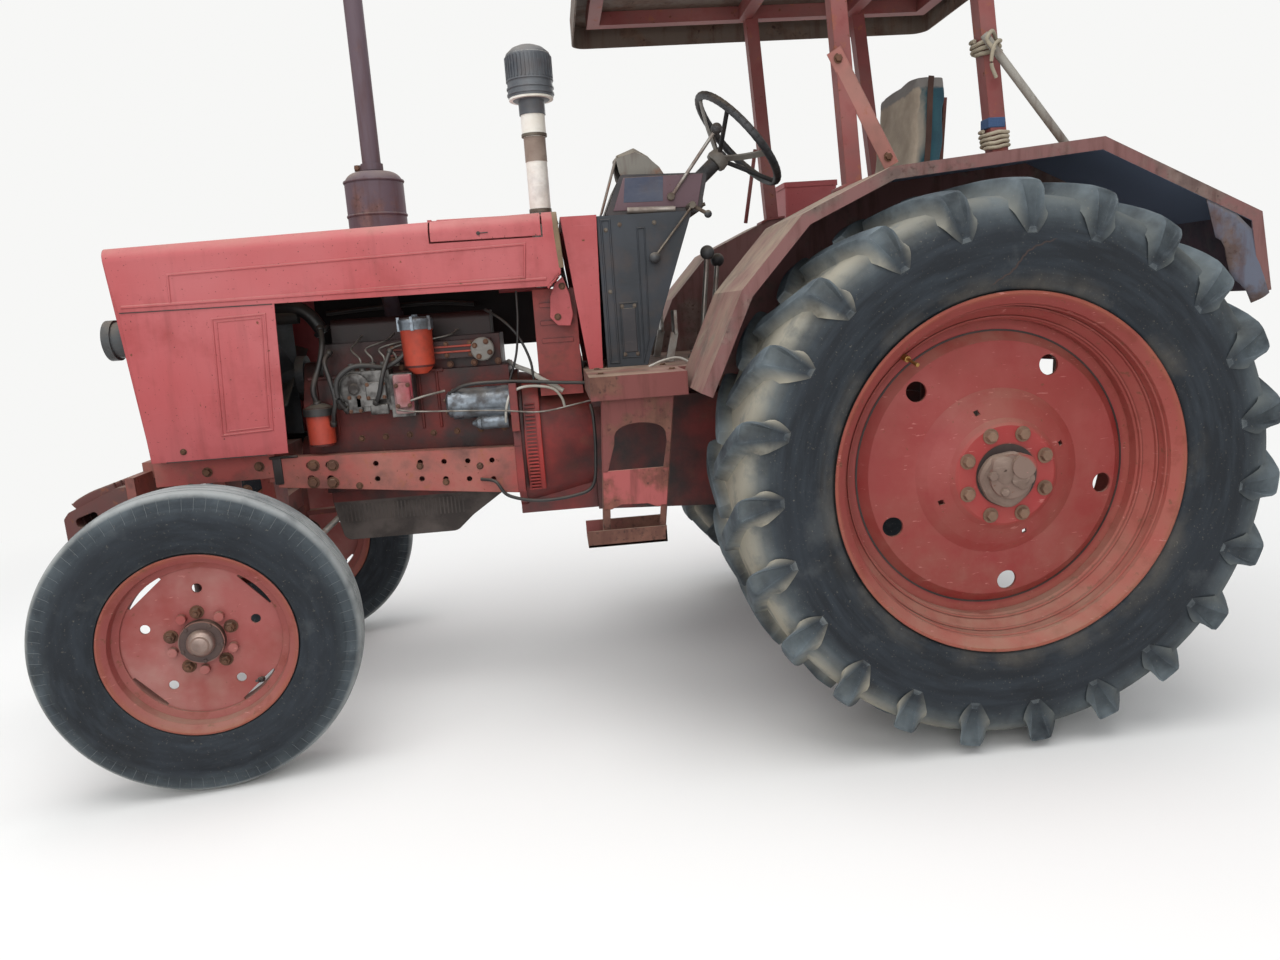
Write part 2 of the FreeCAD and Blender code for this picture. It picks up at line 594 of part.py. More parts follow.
def front_weights():
    """Upright ballast plates side by side, with a handle slot each, on one clamping rod."""
    x0, x1 = WEIGHT_X
    z = WEIGHT_TOP
    side = [(x0, z), (x0 + 40, z - 4), (x1 - 18, z - 72), (x1, z - 94), (x1, z - 222), (x1 - 30, z - 250),
            (x0 + 50, z - 250), (x0, z - 182)]
    slot = [(x1 - 108, z - 72), (x1 - 34, z - 97), (x1 - 42, z - 130), (x1 - 112, z - 107)]
    pitch = 2 * WEIGHT_HALF / WEIGHT_COUNT
    plates = []
    for i in range(WEIGHT_COUNT):
        y = -WEIGHT_HALF + i * pitch
        plate = prism(side, "XZ", y + 4, y + pitch - 4, [10, 20, 20, 12, 20, 20, 30, 10])
        plates.append(plate.cut(prism(slot, "XZ", y, y + pitch, 14)))
    clamp = rod((x0 + 60, 6 - WEIGHT_HALF, z - 152), (x0 + 60, WEIGHT_HALF - 6, z - 152), 14)
    return joined(plates + [clamp])


def rail():
    """Left-hand side rail: a channel open inwards, deeper at the rear, with its holes."""
    (r0, r1), (f0, f1) = RAIL_Z_REAR, RAIL_Z_FRONT
    side = [(RAIL_X0, r0), (RAIL_X1, f0), (RAIL_X1, f1), (RAIL_X0, r1)]
    hollow = [(RAIL_X0 - 9, r0 + 10), (RAIL_X1 + 9, f0 + 10), (RAIL_X1 + 9, f1 - 10), (RAIL_X0 - 9, r1 - 10)]
    body = prism(side, "XZ", RAIL_OUT - RAIL_FLANGE, RAIL_OUT)
    body = body.cut(prism(hollow, "XZ", RAIL_OUT - RAIL_FLANGE - 9, RAIL_OUT - RAIL_WEB))
    holes = []
    stations = [(RAIL_X0 + d, HOLE_R) for d in RAIL_HOLES] + [(RAIL_X1 - d, BOLT_R) for d in RAIL_BOLTS]
    for x, r in stations:
        t = (x - RAIL_X0) / (RAIL_X1 - RAIL_X0)
        low, high = r0 + t * (f0 - r0), r1 + t * (f1 - r1)
        for share in RAIL_ROWS:
            z = low + share * (high - low)
            holes.append(rod((x, RAIL_OUT - 30, z), (x, RAIL_OUT + 5, z), r))
    return body.cut(Part.makeCompound(holes))


def engine_block():
    """Block with its sump, timing case and water pump."""
    block = box(BLOCK_X0, BLOCK_X1, -BLOCK_HALF, BLOCK_HALF, BLOCK_Z0, BLOCK_Z1)
    x0, x1, z = BLOCK_X0, BLOCK_X1, BLOCK_Z0
    sump_side = [(x0 + 43, z + 1), (x1 - 8, z + 1), (x1 - 8, z - 38), (x1 - 35, SUMP_Z), (x0 + 233, SUMP_Z),
                 (x0 + 173, SUMP_Z + 53), (x0 + 43, z - 38)]
    sump = prism(sump_side, "XZ", -150, 150, [0, 0, 10, 30, 40, 40, 10])
    case = prism([(-150, z + 40), (150, z + 40), (150, BLOCK_Z1 - 90), (70, FAN_Z + 45), (-70, FAN_Z + 45),
                  (-150, BLOCK_Z1 - 90)], "YZ", BLOCK_X1 - 1, BLOCK_X1 + 48, 30)
    pump = rod((BLOCK_X1, 0, FAN_Z), (FAN_X - 78, 0, FAN_Z), 42)
    crank_nose = rod((BLOCK_X1, 0, z + 120), (BLOCK_X1 + 96, 0, z + 120), 66)
    bore = rod((FAN_X - 130, 0, FAN_Z), (FAN_X, 0, FAN_Z), FAN_SHAFT_R + RUN_GAP)
    return joined([block, sump, case, pump, crank_nose]).cut(bore)


def cylinder_head():
    """Head, valve cover, the manifold bar on the left and the exhaust manifold on the right."""
    x0, x1, half = BLOCK_X0, BLOCK_X1, HEAD_HALF
    head = box(x0 + 23, x1 - 30, -half, half, BLOCK_Z1, HEAD_Z1)
    cover = prism([(-88, HEAD_Z1), (88, HEAD_Z1), (88, COVER_Z1), (-88, COVER_Z1)], "YZ", x0 + 53, x1 - 60,
                  [0, 0, 26, 26])
    bar_left = box(x0 + 53, x1 - 260, half - 1, half + 48, BLOCK_Z1 + 35, BLOCK_Z1 + 95)
    manifold = box(x0 + 63, x1 - 70, -half - 60, 1 - half, BLOCK_Z1 + 20, BLOCK_Z1 + 82)
    outlet = rod((EXHAUST_X, MANIFOLD_Y, BLOCK_Z1 + 70), (EXHAUST_X, MANIFOLD_Y, BLOCK_Z1 + 150), 34)
    return joined([head, cover, bar_left, manifold, outlet])


def injection_pump():
    """In-line pump on the block's left side: flange, body, governor end and delivery unions."""
    x1, y0, y, z = BLOCK_X1, BLOCK_HALF, PUMP_Y, PUMP_Z
    parts = [
        box(x1 - 270, x1 - 115, y0, y + 42, z - 63, z + 71),
        box(x1 - 345, x1 - 269, y0 + 8, y + 48, z - 89, z + 55),
        rod((x1 - 116, y + 5, z), (x1 - 88, y + 5, z), 54),
        box(x1 - 230, x1 - 160, y + 41, y + 62, z - 45, z + 5),
    ]
    for i in range(4):
        x = x1 - 248 + 35 * i
        parts.append(rod((x, y - 2, z + 65), (x, y - 2, z + 97), 11))
    return joined(parts)


def fuel_filters():
    """Fine filter bowl hung from its head on the engine, and the coarse filter ahead of the pump."""
    x, y, z = BLOCK_X1 - 372, HEAD_HALF + 98, HEAD_Z1
    fine = [rod((x, y, z - 94), (x, y, z + 34), 50), rod((x, y, z + 32), (x, y, z + 70), 56),
            cone((x, y, z - 114), (x, y, z - 92), 22, 44), box(x - 30, x + 30, y - 50, y - 28, z, z + 60),
            box(x - 30, x + 30, HEAD_HALF, y - 48, z - 14, z + 10)]
    cx, cy, cz = BLOCK_X1 - 20, BLOCK_HALF + 55, BLOCK_Z1 - 225
    coarse = [rod((cx, cy, cz), (cx, cy, cz + 107), 42), rod((cx, cy, cz + 105), (cx, cy, cz + 131), 50),
              box(cx - 20, cx + 10, BLOCK_HALF, cy - 20, cz + 111, cz + 129)]
    return Part.makeCompound([joined(fine), joined(coarse)])


def starter():
    """Starter motor with its solenoid, against the clutch housing's flange."""
    x, y, z, r = CLUTCH_X1, STARTER_Y, STARTER_Z, STARTER_R
    return joined([
        rod((x, y, z), (x + 193, y, z), r),
        rod((x + 12, y + 4, z - r - 14), (x + 113, y + 4, z - r - 14), 27),
        box(x + 20, x + 83, y - 16, y + 20, z - r - 8, z - 20),
        rod((x + 192, y, z), (x + 207, y, z), 24),
    ])


def radiator():
    """Core between its tanks, on the front beam, with the fan's cowl ring behind."""
    x0, x1 = RADIATOR_X
    z0 = BEAM_Z1
    half, z1 = RADIATOR_HALF, RADIATOR_TOP
    core = box(x0 + 15, x1 - 15, 10 - half, half - 10, z0 + 60, z1 - 64)
    low = box(x0, x1, -half, half, z0, z0 + 62)
    top = box(x0, x1, -half, half, z1 - 66, z1)
    sides = [box(x0 + 8, x1 - 8, s * (half - 5) - 6, s * (half - 5) + 6, z0 + 50, z1 - 54) for s in (1, -1)]
    ring = rod((x0 - 60, 0, FAN_Z), (x0 + 16, 0, FAN_Z), FAN_R + 22)
    ring = ring.cut(rod((x0 - 61, 0, FAN_Z), (x0 + 14, 0, FAN_Z), FAN_R + 18))
    hose = rod((BLOCK_X1 + 50, 60, z1 - 32), (x0 + 2, 60, z1 - 32), 24)
    return joined([core, low, top, ring, hose] + sides)


def fan():
    """Six-bladed fan with its pulley, on the water pump's shaft."""
    x, z = FAN_X, FAN_Z
    shaft = rod((x - 128, 0, z), (x - 10, 0, z), FAN_SHAFT_R)
    pulley = rod((x - 72, 0, z), (x - 42, 0, z), 70)
    hub = rod((x - 43, 0, z), (x + 14, 0, z), 38)
    blade = bar((x, 0, z + 30), (x, 0, z + FAN_R), 78, 4)
    blade.rotate(V(x, 0, z), V(0, 0, 1), 90 + 24)
    blades = around(blade, 6, V(1, 0, 0), V(x, 0, z))
    return joined([shaft, pulley, hub] + blades)


def clutch_housing():
    """Bell between engine and gearbox, with the plate that the rails' rear ends meet."""
    z = CLUTCH_Z
    bell = cone((CLUTCH_X0, 0, z), (CLUTCH_X1, 0, z), CLUTCH_R_REAR, CLUTCH_R_FRONT)
    flange = rod((CLUTCH_X1 - 26, 0, z), (CLUTCH_X1, 0, z), CLUTCH_R_FRONT + 6)
    plate = box(CLUTCH_X1 - 26, CLUTCH_X1, -RAIL_OUT, RAIL_OUT, RAIL_Z_REAR[0], RAIL_Z_REAR[1])
    foot = box(CLUTCH_X0, CLUTCH_X1, -130, 130, z - CLUTCH_R_FRONT - 3, z - 135)
    y, r = STARTER_Y, STARTER_R + 8
    pad = box(CLUTCH_X1 - 26, CLUTCH_X1, y - r, y + r, STARTER_Z - r - 42, STARTER_Z + r)
    return joined([bell, flange, plate, foot, pad])


def gearbox():
    """Gearbox casting with its top cover."""
    side = [(GEARBOX_X0, GEARBOX_Z0), (CLUTCH_X0, GEARBOX_Z0 + 40), (CLUTCH_X0, GEARBOX_Z1 + 20),
            (GEARBOX_X0, GEARBOX_Z1)]
    case = prism(side, "XZ", -GEARBOX_HALF, GEARBOX_HALF)
    collar = rod((CLUTCH_X0 - 30, 0, CLUTCH_Z), (CLUTCH_X0, 0, CLUTCH_Z), CLUTCH_R_REAR)
    cover = box(GEARBOX_X0 + 260, GEARBOX_X0 + 560, -100, 100, GEARBOX_Z1 - 10, GEARBOX_Z1 + 50)
    return joined([case, collar, cover])


def rear_axle():
    """Centre housing, the two trumpets, hitch pins, drawbar and power take-off."""
    half = CENTRE_HALF
    centre = box(CENTRE_X0, GEARBOX_X0, -half, half, CENTRE_Z0, CENTRE_Z1)
    z = REAR_AXLE_Z
    parts = [centre]
    for s in (1, -1):
        parts.append(rod((0, s * (half - 5), z), (0, s * (half + 26), z), 178))
        parts.append(cone((0, s * half, z), (0, s * TRUMPET_END, z), TRUMPET_R0, TRUMPET_R1))
        parts.append(rod((LINK_X, s * (half - 10), LINK_Z), (LINK_X, s * (LINK_Y + 24), LINK_Z), LINK_PIN_R))
        parts.append(box(LINK_X - 40, LINK_X + 40, s * (half - 30) - 20, s * (half - 30) + 20, LINK_Z - 40, LINK_Z + 40))
    parts.append(rod((CENTRE_X0 - 40, 0, PTO_Z), (CENTRE_X0 + 10, 0, PTO_Z), 62))
    parts.append(rod((CENTRE_X0 - 118, 0, PTO_Z), (CENTRE_X0, 0, PTO_Z), PTO_R))
    low, high = DRAWBAR_Z - DRAWBAR_T / 2, DRAWBAR_Z + DRAWBAR_T / 2
    parts.append(box(CENTRE_X0 - 70, 120, -60, 60, high - 2, CENTRE_Z0 + 10))
    parts.append(box(DRAWBAR_X - 45, -40, -40, 40, low, high))
    body = joined(parts)
    bores = [rod((0, s * (TRUMPET_END - SHAFT_OVERLAP - 5), z), (0, s * (TRUMPET_END + 5), z), SHAFT_R + RUN_GAP)
             for s in (1, -1)]
    bores.append(rod((DRAWBAR_X, 0, low - 10), (DRAWBAR_X, 0, high + 8), DRAWBAR_BORE))
    return body.cut(Part.makeCompound(bores))


def lift_housing():
    """Hydraulic lift cover with the cross shaft's bore and the top link's bracket."""
    x0 = ROCK_X - 48
    body = box(x0, GEARBOX_X0 - 30, -190, 190, CENTRE_Z1, LIFT_TOP)
    ears = [box(x0 - 62, x0 + 1, y0, y0 + 16, CENTRE_Z1 + 5, CENTRE_Z1 + 95) for y0 in (-42, 26)]
    bore = rod((ROCK_X, -200, ROCK_Z), (ROCK_X, 200, ROCK_Z), ROCK_R + RUN_GAP)
    pin = rod((x0 - 34, -60, CENTRE_Z1 + 48), (x0 - 34, 60, CENTRE_Z1 + 48), TOP_PIN_R)
    return joined([body] + ears).cut(Part.makeCompound([bore, pin]))


def link_point(length, pivot):
    """A point at a given length along a lift arm or lower link, as parked."""
    a = radians(LINK_DROP)
    return pivot[0] - length * cos(a), pivot[1] - length * sin(a)


def rod_y():
    """The side station at which the lift rods hang."""
    return LINK_Y + (LINK_END_Y - LINK_Y) * LIFT_ARM / LINK_LENGTH


def rockshaft():
    """Lift cross shaft with its two arms and their pins."""
    shaft = rod((ROCK_X, -rod_y() - 16, ROCK_Z), (ROCK_X, rod_y() + 16, ROCK_Z), ROCK_R)
    x, z = link_point(LIFT_ARM, (ROCK_X, ROCK_Z))
    parts = [shaft]
    for s in (1, -1):
        y = s * (rod_y() - 28)
        parts.append(rod((ROCK_X, y - 14, ROCK_Z), (ROCK_X, y + 14, ROCK_Z), ROCK_R + 18))
        parts.append(bar((ROCK_X, y, ROCK_Z), (x, y, z), 24, 56))
        parts.append(rod((x, y - 12, z), (x, y + 12, z), 28))
        y0, y1 = sorted((y, s * (rod_y() + 16)))
        parts.append(rod((x, y0, z), (x, y1, z), 13))
    return joined(parts)


def lower_links():
    """Two lower links, splayed towards their ball ends; each carries a pin for its lift rod."""
    parts = []
    x, z = link_point(LIFT_ARM, (LINK_X, LINK_Z))
    front = (LINK_X, LINK_Y, LINK_Z)
    end = (LINK_END_X, LINK_END_Y, LINK_END_Z)
    parts.append(bar(front, end, 20, 72))
    parts.append(rod((LINK_X, LINK_Y - 13, LINK_Z), (LINK_X, LINK_Y + 13, LINK_Z), BALL_R + 8))
    parts.append(rod((LINK_END_X, LINK_END_Y - 22, LINK_END_Z), (LINK_END_X, LINK_END_Y + 22, LINK_END_Z), BALL_R))
    parts.append(rod((x, rod_y() - 4, z), (x, rod_y() + LIFT_ROD_OUT + 16, z), 11))
    body = joined(parts)
    bores = [rod((LINK_X, LINK_Y - 20, LINK_Z), (LINK_X, LINK_Y + 20, LINK_Z), LINK_PIN_R + RUN_GAP),
             rod((LINK_END_X, LINK_END_Y - 30, LINK_END_Z), (LINK_END_X, LINK_END_Y + 30, LINK_END_Z), BALL_BORE)]
    return both(body.cut(Part.makeCompound(bores)))


def lift_rods():
    """Levelling rods that hang the lower links from the lift arms."""
    x0, z0 = link_point(LIFT_ARM, (ROCK_X, ROCK_Z))
    x1, z1 = link_point(LIFT_ARM, (LINK_X, LINK_Z))
    top_y, low_y = rod_y() + 4, rod_y() + LIFT_ROD_OUT
    parts = [rod((x0, top_y - 9, z0), (x0, top_y + 9, z0), 26), rod((x1, low_y - 9, z1), (x1, low_y + 9, z1), 24),
             rod((x0, top_y, z0 - 10), (x1, low_y, z1 + 10), 13),
             rod((x0 - 16, top_y + 10, z0 - 230), (x0 - 24, top_y + 14, z0 - 360), 22)]
    body = joined(parts)
    bores = [rod((x0, top_y - 20, z0), (x0, top_y + 20, z0), 13 + RUN_GAP),
             rod((x1, low_y - 20, z1), (x1, low_y + 20, z1), 11 + RUN_GAP)]
    return both(body.cut(Part.makeCompound(bores)))


def hood_top(x):
    """Height of the hood's top at a station."""
    (x0, z0), (x1, z1) = HOOD_SIDE[0], HOOD_SIDE[1]
    return z0 + (x - x0) * (z1 - z0) / (x1 - x0)


def hood_low(x):
    """Height of the hood's lower edge at a station."""
    (x1, z1), (x0, z0) = HOOD_SIDE[2], HOOD_SIDE[3]
    return z0 + (x - x0) * (z1 - z0) / (x1 - x0)


def hood_section(inset):
    """A long bar with the hood's rounded cross-section, sloping with its top."""
    half, r = HOOD_HALF - inset, HOOD_EDGE_R - inset
    outline = [(-half, -500), (half, -500), (half, -inset), (-half, -inset)]
    body = prism(outline, "YZ", -100, HOOD_X1 - HOOD_X0 + 300, [0, 0, r, r])
    slope = hood_top(1) - hood_top(0)
    body.rotate(V(0, 0, 0), V(0, 1, 0), -degrees(atan2(slope, 1)))
    return moved(body, HOOD_SIDE[0][0], 0, HOOD_SIDE[0][1])


def hatch_space(gap):
    """The corner of the hood that the hatch fills, drawn in by a gap all round."""
    x0, x1 = HATCH_X
    z = hood_top((x0 + x1) / 2)
    return box(x0 + gap, x1 - gap, HOOD_HALF - HATCH_IN + gap, HOOD_HALF + 20, z - HATCH_DROP + gap, z + 40)


def hatch_hinge():
    """Stations and height of the hatch's hinge line, just above the hood's top."""
    x0, x1 = HATCH_X
    return x0, x1, HOOD_HALF - HATCH_IN + HINGE_R, hood_top((x0 + x1) / 2) + HINGE_R


def hood():
    """Sheet hood over the engine, open below, with the holes of both stacks and the hatch."""
    skin = hood_section(0).common(prism(HOOD_SIDE, "XZ", -HOOD_HALF - 5, HOOD_HALF + 5))
    skin = skin.cut(hood_section(SHEET))
    low, high = HOOD_Z - 170, HOOD_Z + 130
    cuts = [rod((EXHAUST_X, EXHAUST_Y, low), (EXHAUST_X, EXHAUST_Y, high), MUFFLER_R + 6),
            rod((INTAKE_X, INTAKE_Y, low), (INTAKE_X, INTAKE_Y, high), INTAKE_R + RUN_GAP),
            hatch_space(0)]
    body = skin.cut(Part.makeCompound(cuts))
    x0, x1, y, z = hatch_hinge()
    ends = [box(a, a + 14, y - HINGE_R, y + HINGE_R, z - HINGE_R - SHEET, z + HINGE_R) for a in (x0 - 15, x1 + 1)]
    pin = rod((x0 - 6, y, z), (x1 + 6, y, z), 3)
    return joined([body, pin] + ends)


def hatch():
    """Lid in the hood's corner, hung on a long hinge at its upper edge."""
    skin = hood_section(0).common(hatch_space(HATCH_GAP)).cut(hood_section(SHEET))
    x0, x1, y, z = hatch_hinge()
    barrel = rod((x0 + 16, y, z), (x1 - 16, y, z), HINGE_R)
    leaf = box(x0 + 16, x1 - 16, y, y + 26, z - HINGE_R - 3, z - HINGE_R + 4)
    body = joined([skin, barrel, leaf])
    return body.cut(rod((x0, y, z), (x1, y, z), 3 + RUN_GAP))


def side_panels():
    """Sheet panels beside the radiator, each with a foot folded in onto the front beam."""
    xr, xf, xg, xs = PANEL_X
    side = [(xr, hood_low(xr)), (xf, hood_low(xf)), (xg, BEAM_Z1), (xs, BEAM_Z1)]
    skin = prism(side, "XZ", HOOD_HALF - SHEET, HOOD_HALF)
    foot = box(RAIL_X1 + 10, xg - GRILLE_T - 5, RAIL_OUT - 20, HOOD_HALF - 1, BEAM_Z1, BEAM_Z1 + SHEET)
    return both(joined([skin, foot]))


def nose(depth):
    """Outline of the nose in side view, from its sloping face back by a depth."""
    xt, xf = HOOD_X1, PANEL_X[2]
    zt = hood_top(xt) - SHEET - 1
    return [(xt, zt), (xf, BEAM_Z1), (xf - depth, BEAM_Z1), (xt - depth, zt)]


def nose_x(z):
    """Station of the nose's face at a height."""
    (xt, zt), (xf, zf) = nose(0)[:2]
    return xf + (z - zf) * (xt - xf) / (zt - zf)


def grille():
    """Nose between the panels: a frame with cross bars, open between them."""
    half = HOOD_HALF - SHEET - 1
    block = box(BEAM_X1 - 190, BEAM_X1 + 110, -half, half, BEAM_Z1 - 50, HOOD_Z - 170)
    body = prism(nose(GRILLE_T), "XZ", -half, half).common(hood_section(SHEET + 1).fuse(block))
    slots = []
    for i in range(GRILLE_BARS):
        z0 = BEAM_Z1 + 60 + i * GRILLE_PITCH
        for y0, y1 in ((-half + 40, -20), (20, half - 40)):
            slots.append(box(BEAM_X1 - 90, BEAM_X1 + 110, y0, y1, z0, z0 + GRILLE_PITCH - 14))
    return body.cut(Part.makeCompound(slots))


def headlamps():
    """Round lamps standing out from the nose, one each side."""
    x = nose_x(LAMP_Z)
    lamp = joined([rod((x - 10, LAMP_Y, LAMP_Z), (x + 48, LAMP_Y, LAMP_Z), LAMP_R),
                   rod((x + 40, LAMP_Y, LAMP_Z), (x + 66, LAMP_Y, LAMP_Z), LAMP_R + 7)])
    return both(lamp.cut(prism(nose(GRILLE_T), "XZ", 0, HOOD_HALF)))


def cowl():
    """Sheet hoop behind the engine, with its bulkhead, on the floor."""
    (t0, t1), (f0, f1) = COWL_TOP, COWL_FOOT
    side = [(t0, COWL_Z1), (t1, COWL_Z1), (f1, FLOOR_Z), (f0, FLOOR_Z)]
    body = prism(side, "XZ", -COWL_HALF, COWL_HALF)
    inner = [(t0 + SHEET, COWL_Z1 - SHEET), (t1 + 30, COWL_Z1 - SHEET), (f1 + 30, FLOOR_Z - 5),
             (f0 + SHEET, FLOOR_Z - 5)]
    return body.cut(prism(inner, "XZ", SHEET - COWL_HALF, COWL_HALF - SHEET))


def bulkhead():
    """Sheet box between the engine and the cowl, open to the cowl, its front resting on the bell."""
    (x0, x1), y = BULK_X, BULK_HALF
    body = box(x0, x1, -y, y, CLUTCH_Z, BULK_Z1)
    inside = box(x0 - 5, x1 - SHEET, SHEET - y, y - SHEET, CLUTCH_Z - 5, BULK_Z1 - SHEET)
    bars = [box(x0 + 20, x1 - 20, y - 1, y + 5, z, z + 14) for z in (BULK_Z1 - 60, BULK_Z1 - 120, BULK_Z1 - 180)]
    bell = cone((CLUTCH_X0, 0, CLUTCH_Z), (CLUTCH_X1, 0, CLUTCH_Z), CLUTCH_R_REAR, CLUTCH_R_FRONT)
    below = box(x0 - 5, x1 + 5, -y - 10, y + 10, CLUTCH_Z - 5, CLUTCH_Z + BULK_FOOT)
    return joined([body.cut(inside)] + bars).cut(below).cut(bell)


def side_cover():
    """Right-hand engine cover, lapped behind the hood's skirt and the side panel; the left one is missing."""
    y1 = SHEET - HOOD_HALF
    x0, x1 = COVER_X0, PANEL_X[0] + COVER_LAP
    side = [(x0, COVER_Z0), (x1, COVER_Z0), (x1, hood_low(x1) + COVER_LAP), (x0, hood_low(x0) + COVER_LAP)]
    return prism(side, "XZ", y1, y1 + SHEET)


def dash_console():
    """Console behind the bulkhead, with a sloping rear face, open to the bulkhead and the floor."""
    x1 = COWL_X0 - 1
    top = CONSOLE_Z1
    side = [(x1, top), (CONSOLE_TOP, top), (CONSOLE_FOOT, FLOOR_Z), (x1, FLOOR_Z)]
    inner = [(x1 + 9, top - SHEET), (CONSOLE_TOP + 6, top - SHEET), (CONSOLE_FOOT + 5, FLOOR_Z - 5),
             (x1 + 9, FLOOR_Z - 5)]
    body = prism(side, "XZ", -CONSOLE_HALF, CONSOLE_HALF)
    return body.cut(prism(inner, "XZ", SHEET - CONSOLE_HALF, CONSOLE_HALF - SHEET))


def instrument_box():
    """Box of instruments on top of the console."""
    return prism(BOX_SIDE, "XZ", -BOX_HALF, BOX_HALF, 14)


def on_column(t, r=0.0):
    """A point on the steering wheel's axis, t along it from the rim's plane, downwards."""
    a = radians(WHEEL_LEAN)
    return (WHEEL_CENTRE[0] + t * cos(a) + r * sin(a), 0, WHEEL_CENTRE[1] - t * sin(a) + r * cos(a))


def steering_column():
    """Tube from the instrument box up to the steering wheel's hub."""
    tube = rod(on_column(WHEEL_DISH + 14), on_column(WHEEL_DISH + 260), 26)
    tube = tube.cut(instrument_box()).cut(rod(on_column(0), on_column(WHEEL_DISH + 84), SHAFT_TOP_R + RUN_GAP))
    return max(tube.Solids, key=lambda s: -s.CenterOfMass.x)


def steering_wheel():
    """Rim, three spokes and a hub, dished, on its shaft."""
    a = radians(WHEEL_LEAN)
    axis = V(cos(a), 0, -sin(a))
    rim = Part.makeTorus(WHEEL_R - WHEEL_TUBE, WHEEL_TUBE, V(*on_column(0)), axis)
    hub = rod(on_column(WHEEL_DISH - 34), on_column(WHEEL_DISH + 8), 34)
    shaft = rod(on_column(WHEEL_DISH), on_column(WHEEL_DISH + 80), SHAFT_TOP_R)
    spoke = rod(on_column(WHEEL_DISH - 20, 20), on_column(2, WHEEL_R - WHEEL_TUBE), 8)
    return joined([rim, hub, shaft] + around(spoke, 3, axis, V(*on_column(0)), 180))


def platform():
    """Foot platform: a plate with folded edges, carried on the gearbox by two cross channels."""
    x0, x1, x2 = FLOOR_X0, FLOOR_X1, FLOOR_X2
    wide, narrow = FLOOR_HALF, FENDER_IN - RUN_GAP

    def outline(inset):
        return [(x0 + inset, inset - narrow), (x1 + inset, inset - narrow), (x1 + inset, inset - wide),
                (x2 - inset, inset - wide), (x2 - inset, wide - inset), (x1 + inset, wide - inset),
                (x1 + inset, narrow - inset), (x0 + inset, narrow - inset)]

    body = prism(outline(0), "XY", FLOOR_Z - FLOOR_LIP, FLOOR_Z)
    body = body.cut(prism(outline(FLOOR_SHEET), "XY", FLOOR_Z - FLOOR_LIP - 5, FLOOR_Z - FLOOR_SHEET))
    body = body.cut(box(x0 - 5, GEARBOX_X0 - 10, -205, 205, FLOOR_Z - 200, FLOOR_Z + 5))
    body = body.cut(box(x2 - 40, x2 + 5, -230, 230, FLOOR_Z - 200, FLOOR_Z - FLOOR_SHEET))
    parts = [body]
    for x in (GEARBOX_X0 + 80, FLOOR_X2 - 180):
        low = GEARBOX_Z1 + 20 * (x + 60 - GEARBOX_X0) / (CLUTCH_X0 - GEARBOX_X0)
        parts.append(box(x, x + 60, -150, 150, low, FLOOR_Z - FLOOR_SHEET + 1))
        parts.append(box(x, x + 60, -narrow, narrow, FLOOR_Z - FLOOR_LIP + 10, FLOOR_Z - FLOOR_SHEET + 1))
    return joined(parts)


def fenders():
    """Wheel guards: top sheet with a lip outside, a skirt inside and a bracket on the trumpet."""
    top = prism(ribbon(FENDER_PATH, SHEET), "XZ", FENDER_IN, FENDER_OUT)
    lip = prism(ribbon(FENDER_PATH, FENDER_LIP), "XZ", FENDER_OUT - SHEET, FENDER_OUT)
    skirt = prism(FENDER_PATH, "XZ", FENDER_IN, FENDER_IN + SHEET)
    y = FENDER_IN + SHEET
    trumpet_z = REAR_AXLE_Z + TRUMPET_R1
    bracket = box(-55, 55, y - 1, y + 12, trumpet_z + 4, REAR_AXLE_Z + REAR_TYRE_R - 220)
    foot = box(-55, 55, y - 1, y + 40, trumpet_z + 2, trumpet_z + 14)
    trumpet = cone((0, CENTRE_HALF, REAR_AXLE_Z), (0, TRUMPET_END, REAR_AXLE_Z), TRUMPET_R0, TRUMPET_R1)
    seat = box(-55, 55, y - 1, y + 40, REAR_AXLE_Z + 60, trumpet_z + 10)
    return both(joined([top, lip, skirt, bracket, foot, seat]).cut(trumpet))


def steps():
    """Mounting steps below the platform's ends, each a plate with an opening and a foot bar."""
    y = FLOOR_HALF - 30
    z0 = FLOOR_Z - FLOOR_LIP
    top = FLOOR_Z - FLOOR_SHEET
    x = FLOOR_X2
    side = [(x - 257, top), (x - 35, top), (x - 10, STEP_Z + 40), (x - 195, STEP_Z + 40)]
    plate = prism(side, "XZ", y, y + 6)
    hole = prism([(x - 210, z0 - 50), (x - 55, z0 - 50), (x - 48, STEP_Z + 210), (x - 178, STEP_Z + 210)], "XZ",
                 y - 5, y + 10, [50, 50, 0, 0])
    tread = box(x - 200, x + 40, y - 130, y + 30, STEP_Z, STEP_Z + 8)
    rims = [box(x - 200, x + 40, a, a + 6, STEP_Z, STEP_Z + 50) for a in (y + 24, y - 130)]
    return both(joined([plate.cut(hole), tread, box(x - 195, x - 10, y, y + 6, STEP_Z, STEP_Z + 60)] + rims))


def seat_base():
    """Pedestal on the lift cover, with the seat's pan and the back's uprights."""
    parts = [box(-150, 60, -110, 110, LIFT_TOP, SEAT_Z - 60), box(-180, 296, -215, 215, SEAT_Z - 62, SEAT_Z - 44)]
    for s in (1, -1):
        (x0, z0), (x1, z1) = SEAT_LEAN
        parts.append(bar((x0, s * 120, z0), (x1, s * 120, z1), 40, 12))
    return joined(parts)


def seat_cushion():
    return prism([(-130, 0), (290, 0), (300, 90), (-130, 80)], "XZ", -225, 225, [0, 20, 40, 20]).translated(
        V(0, 0, SEAT_Z - 44 + RUN_GAP))


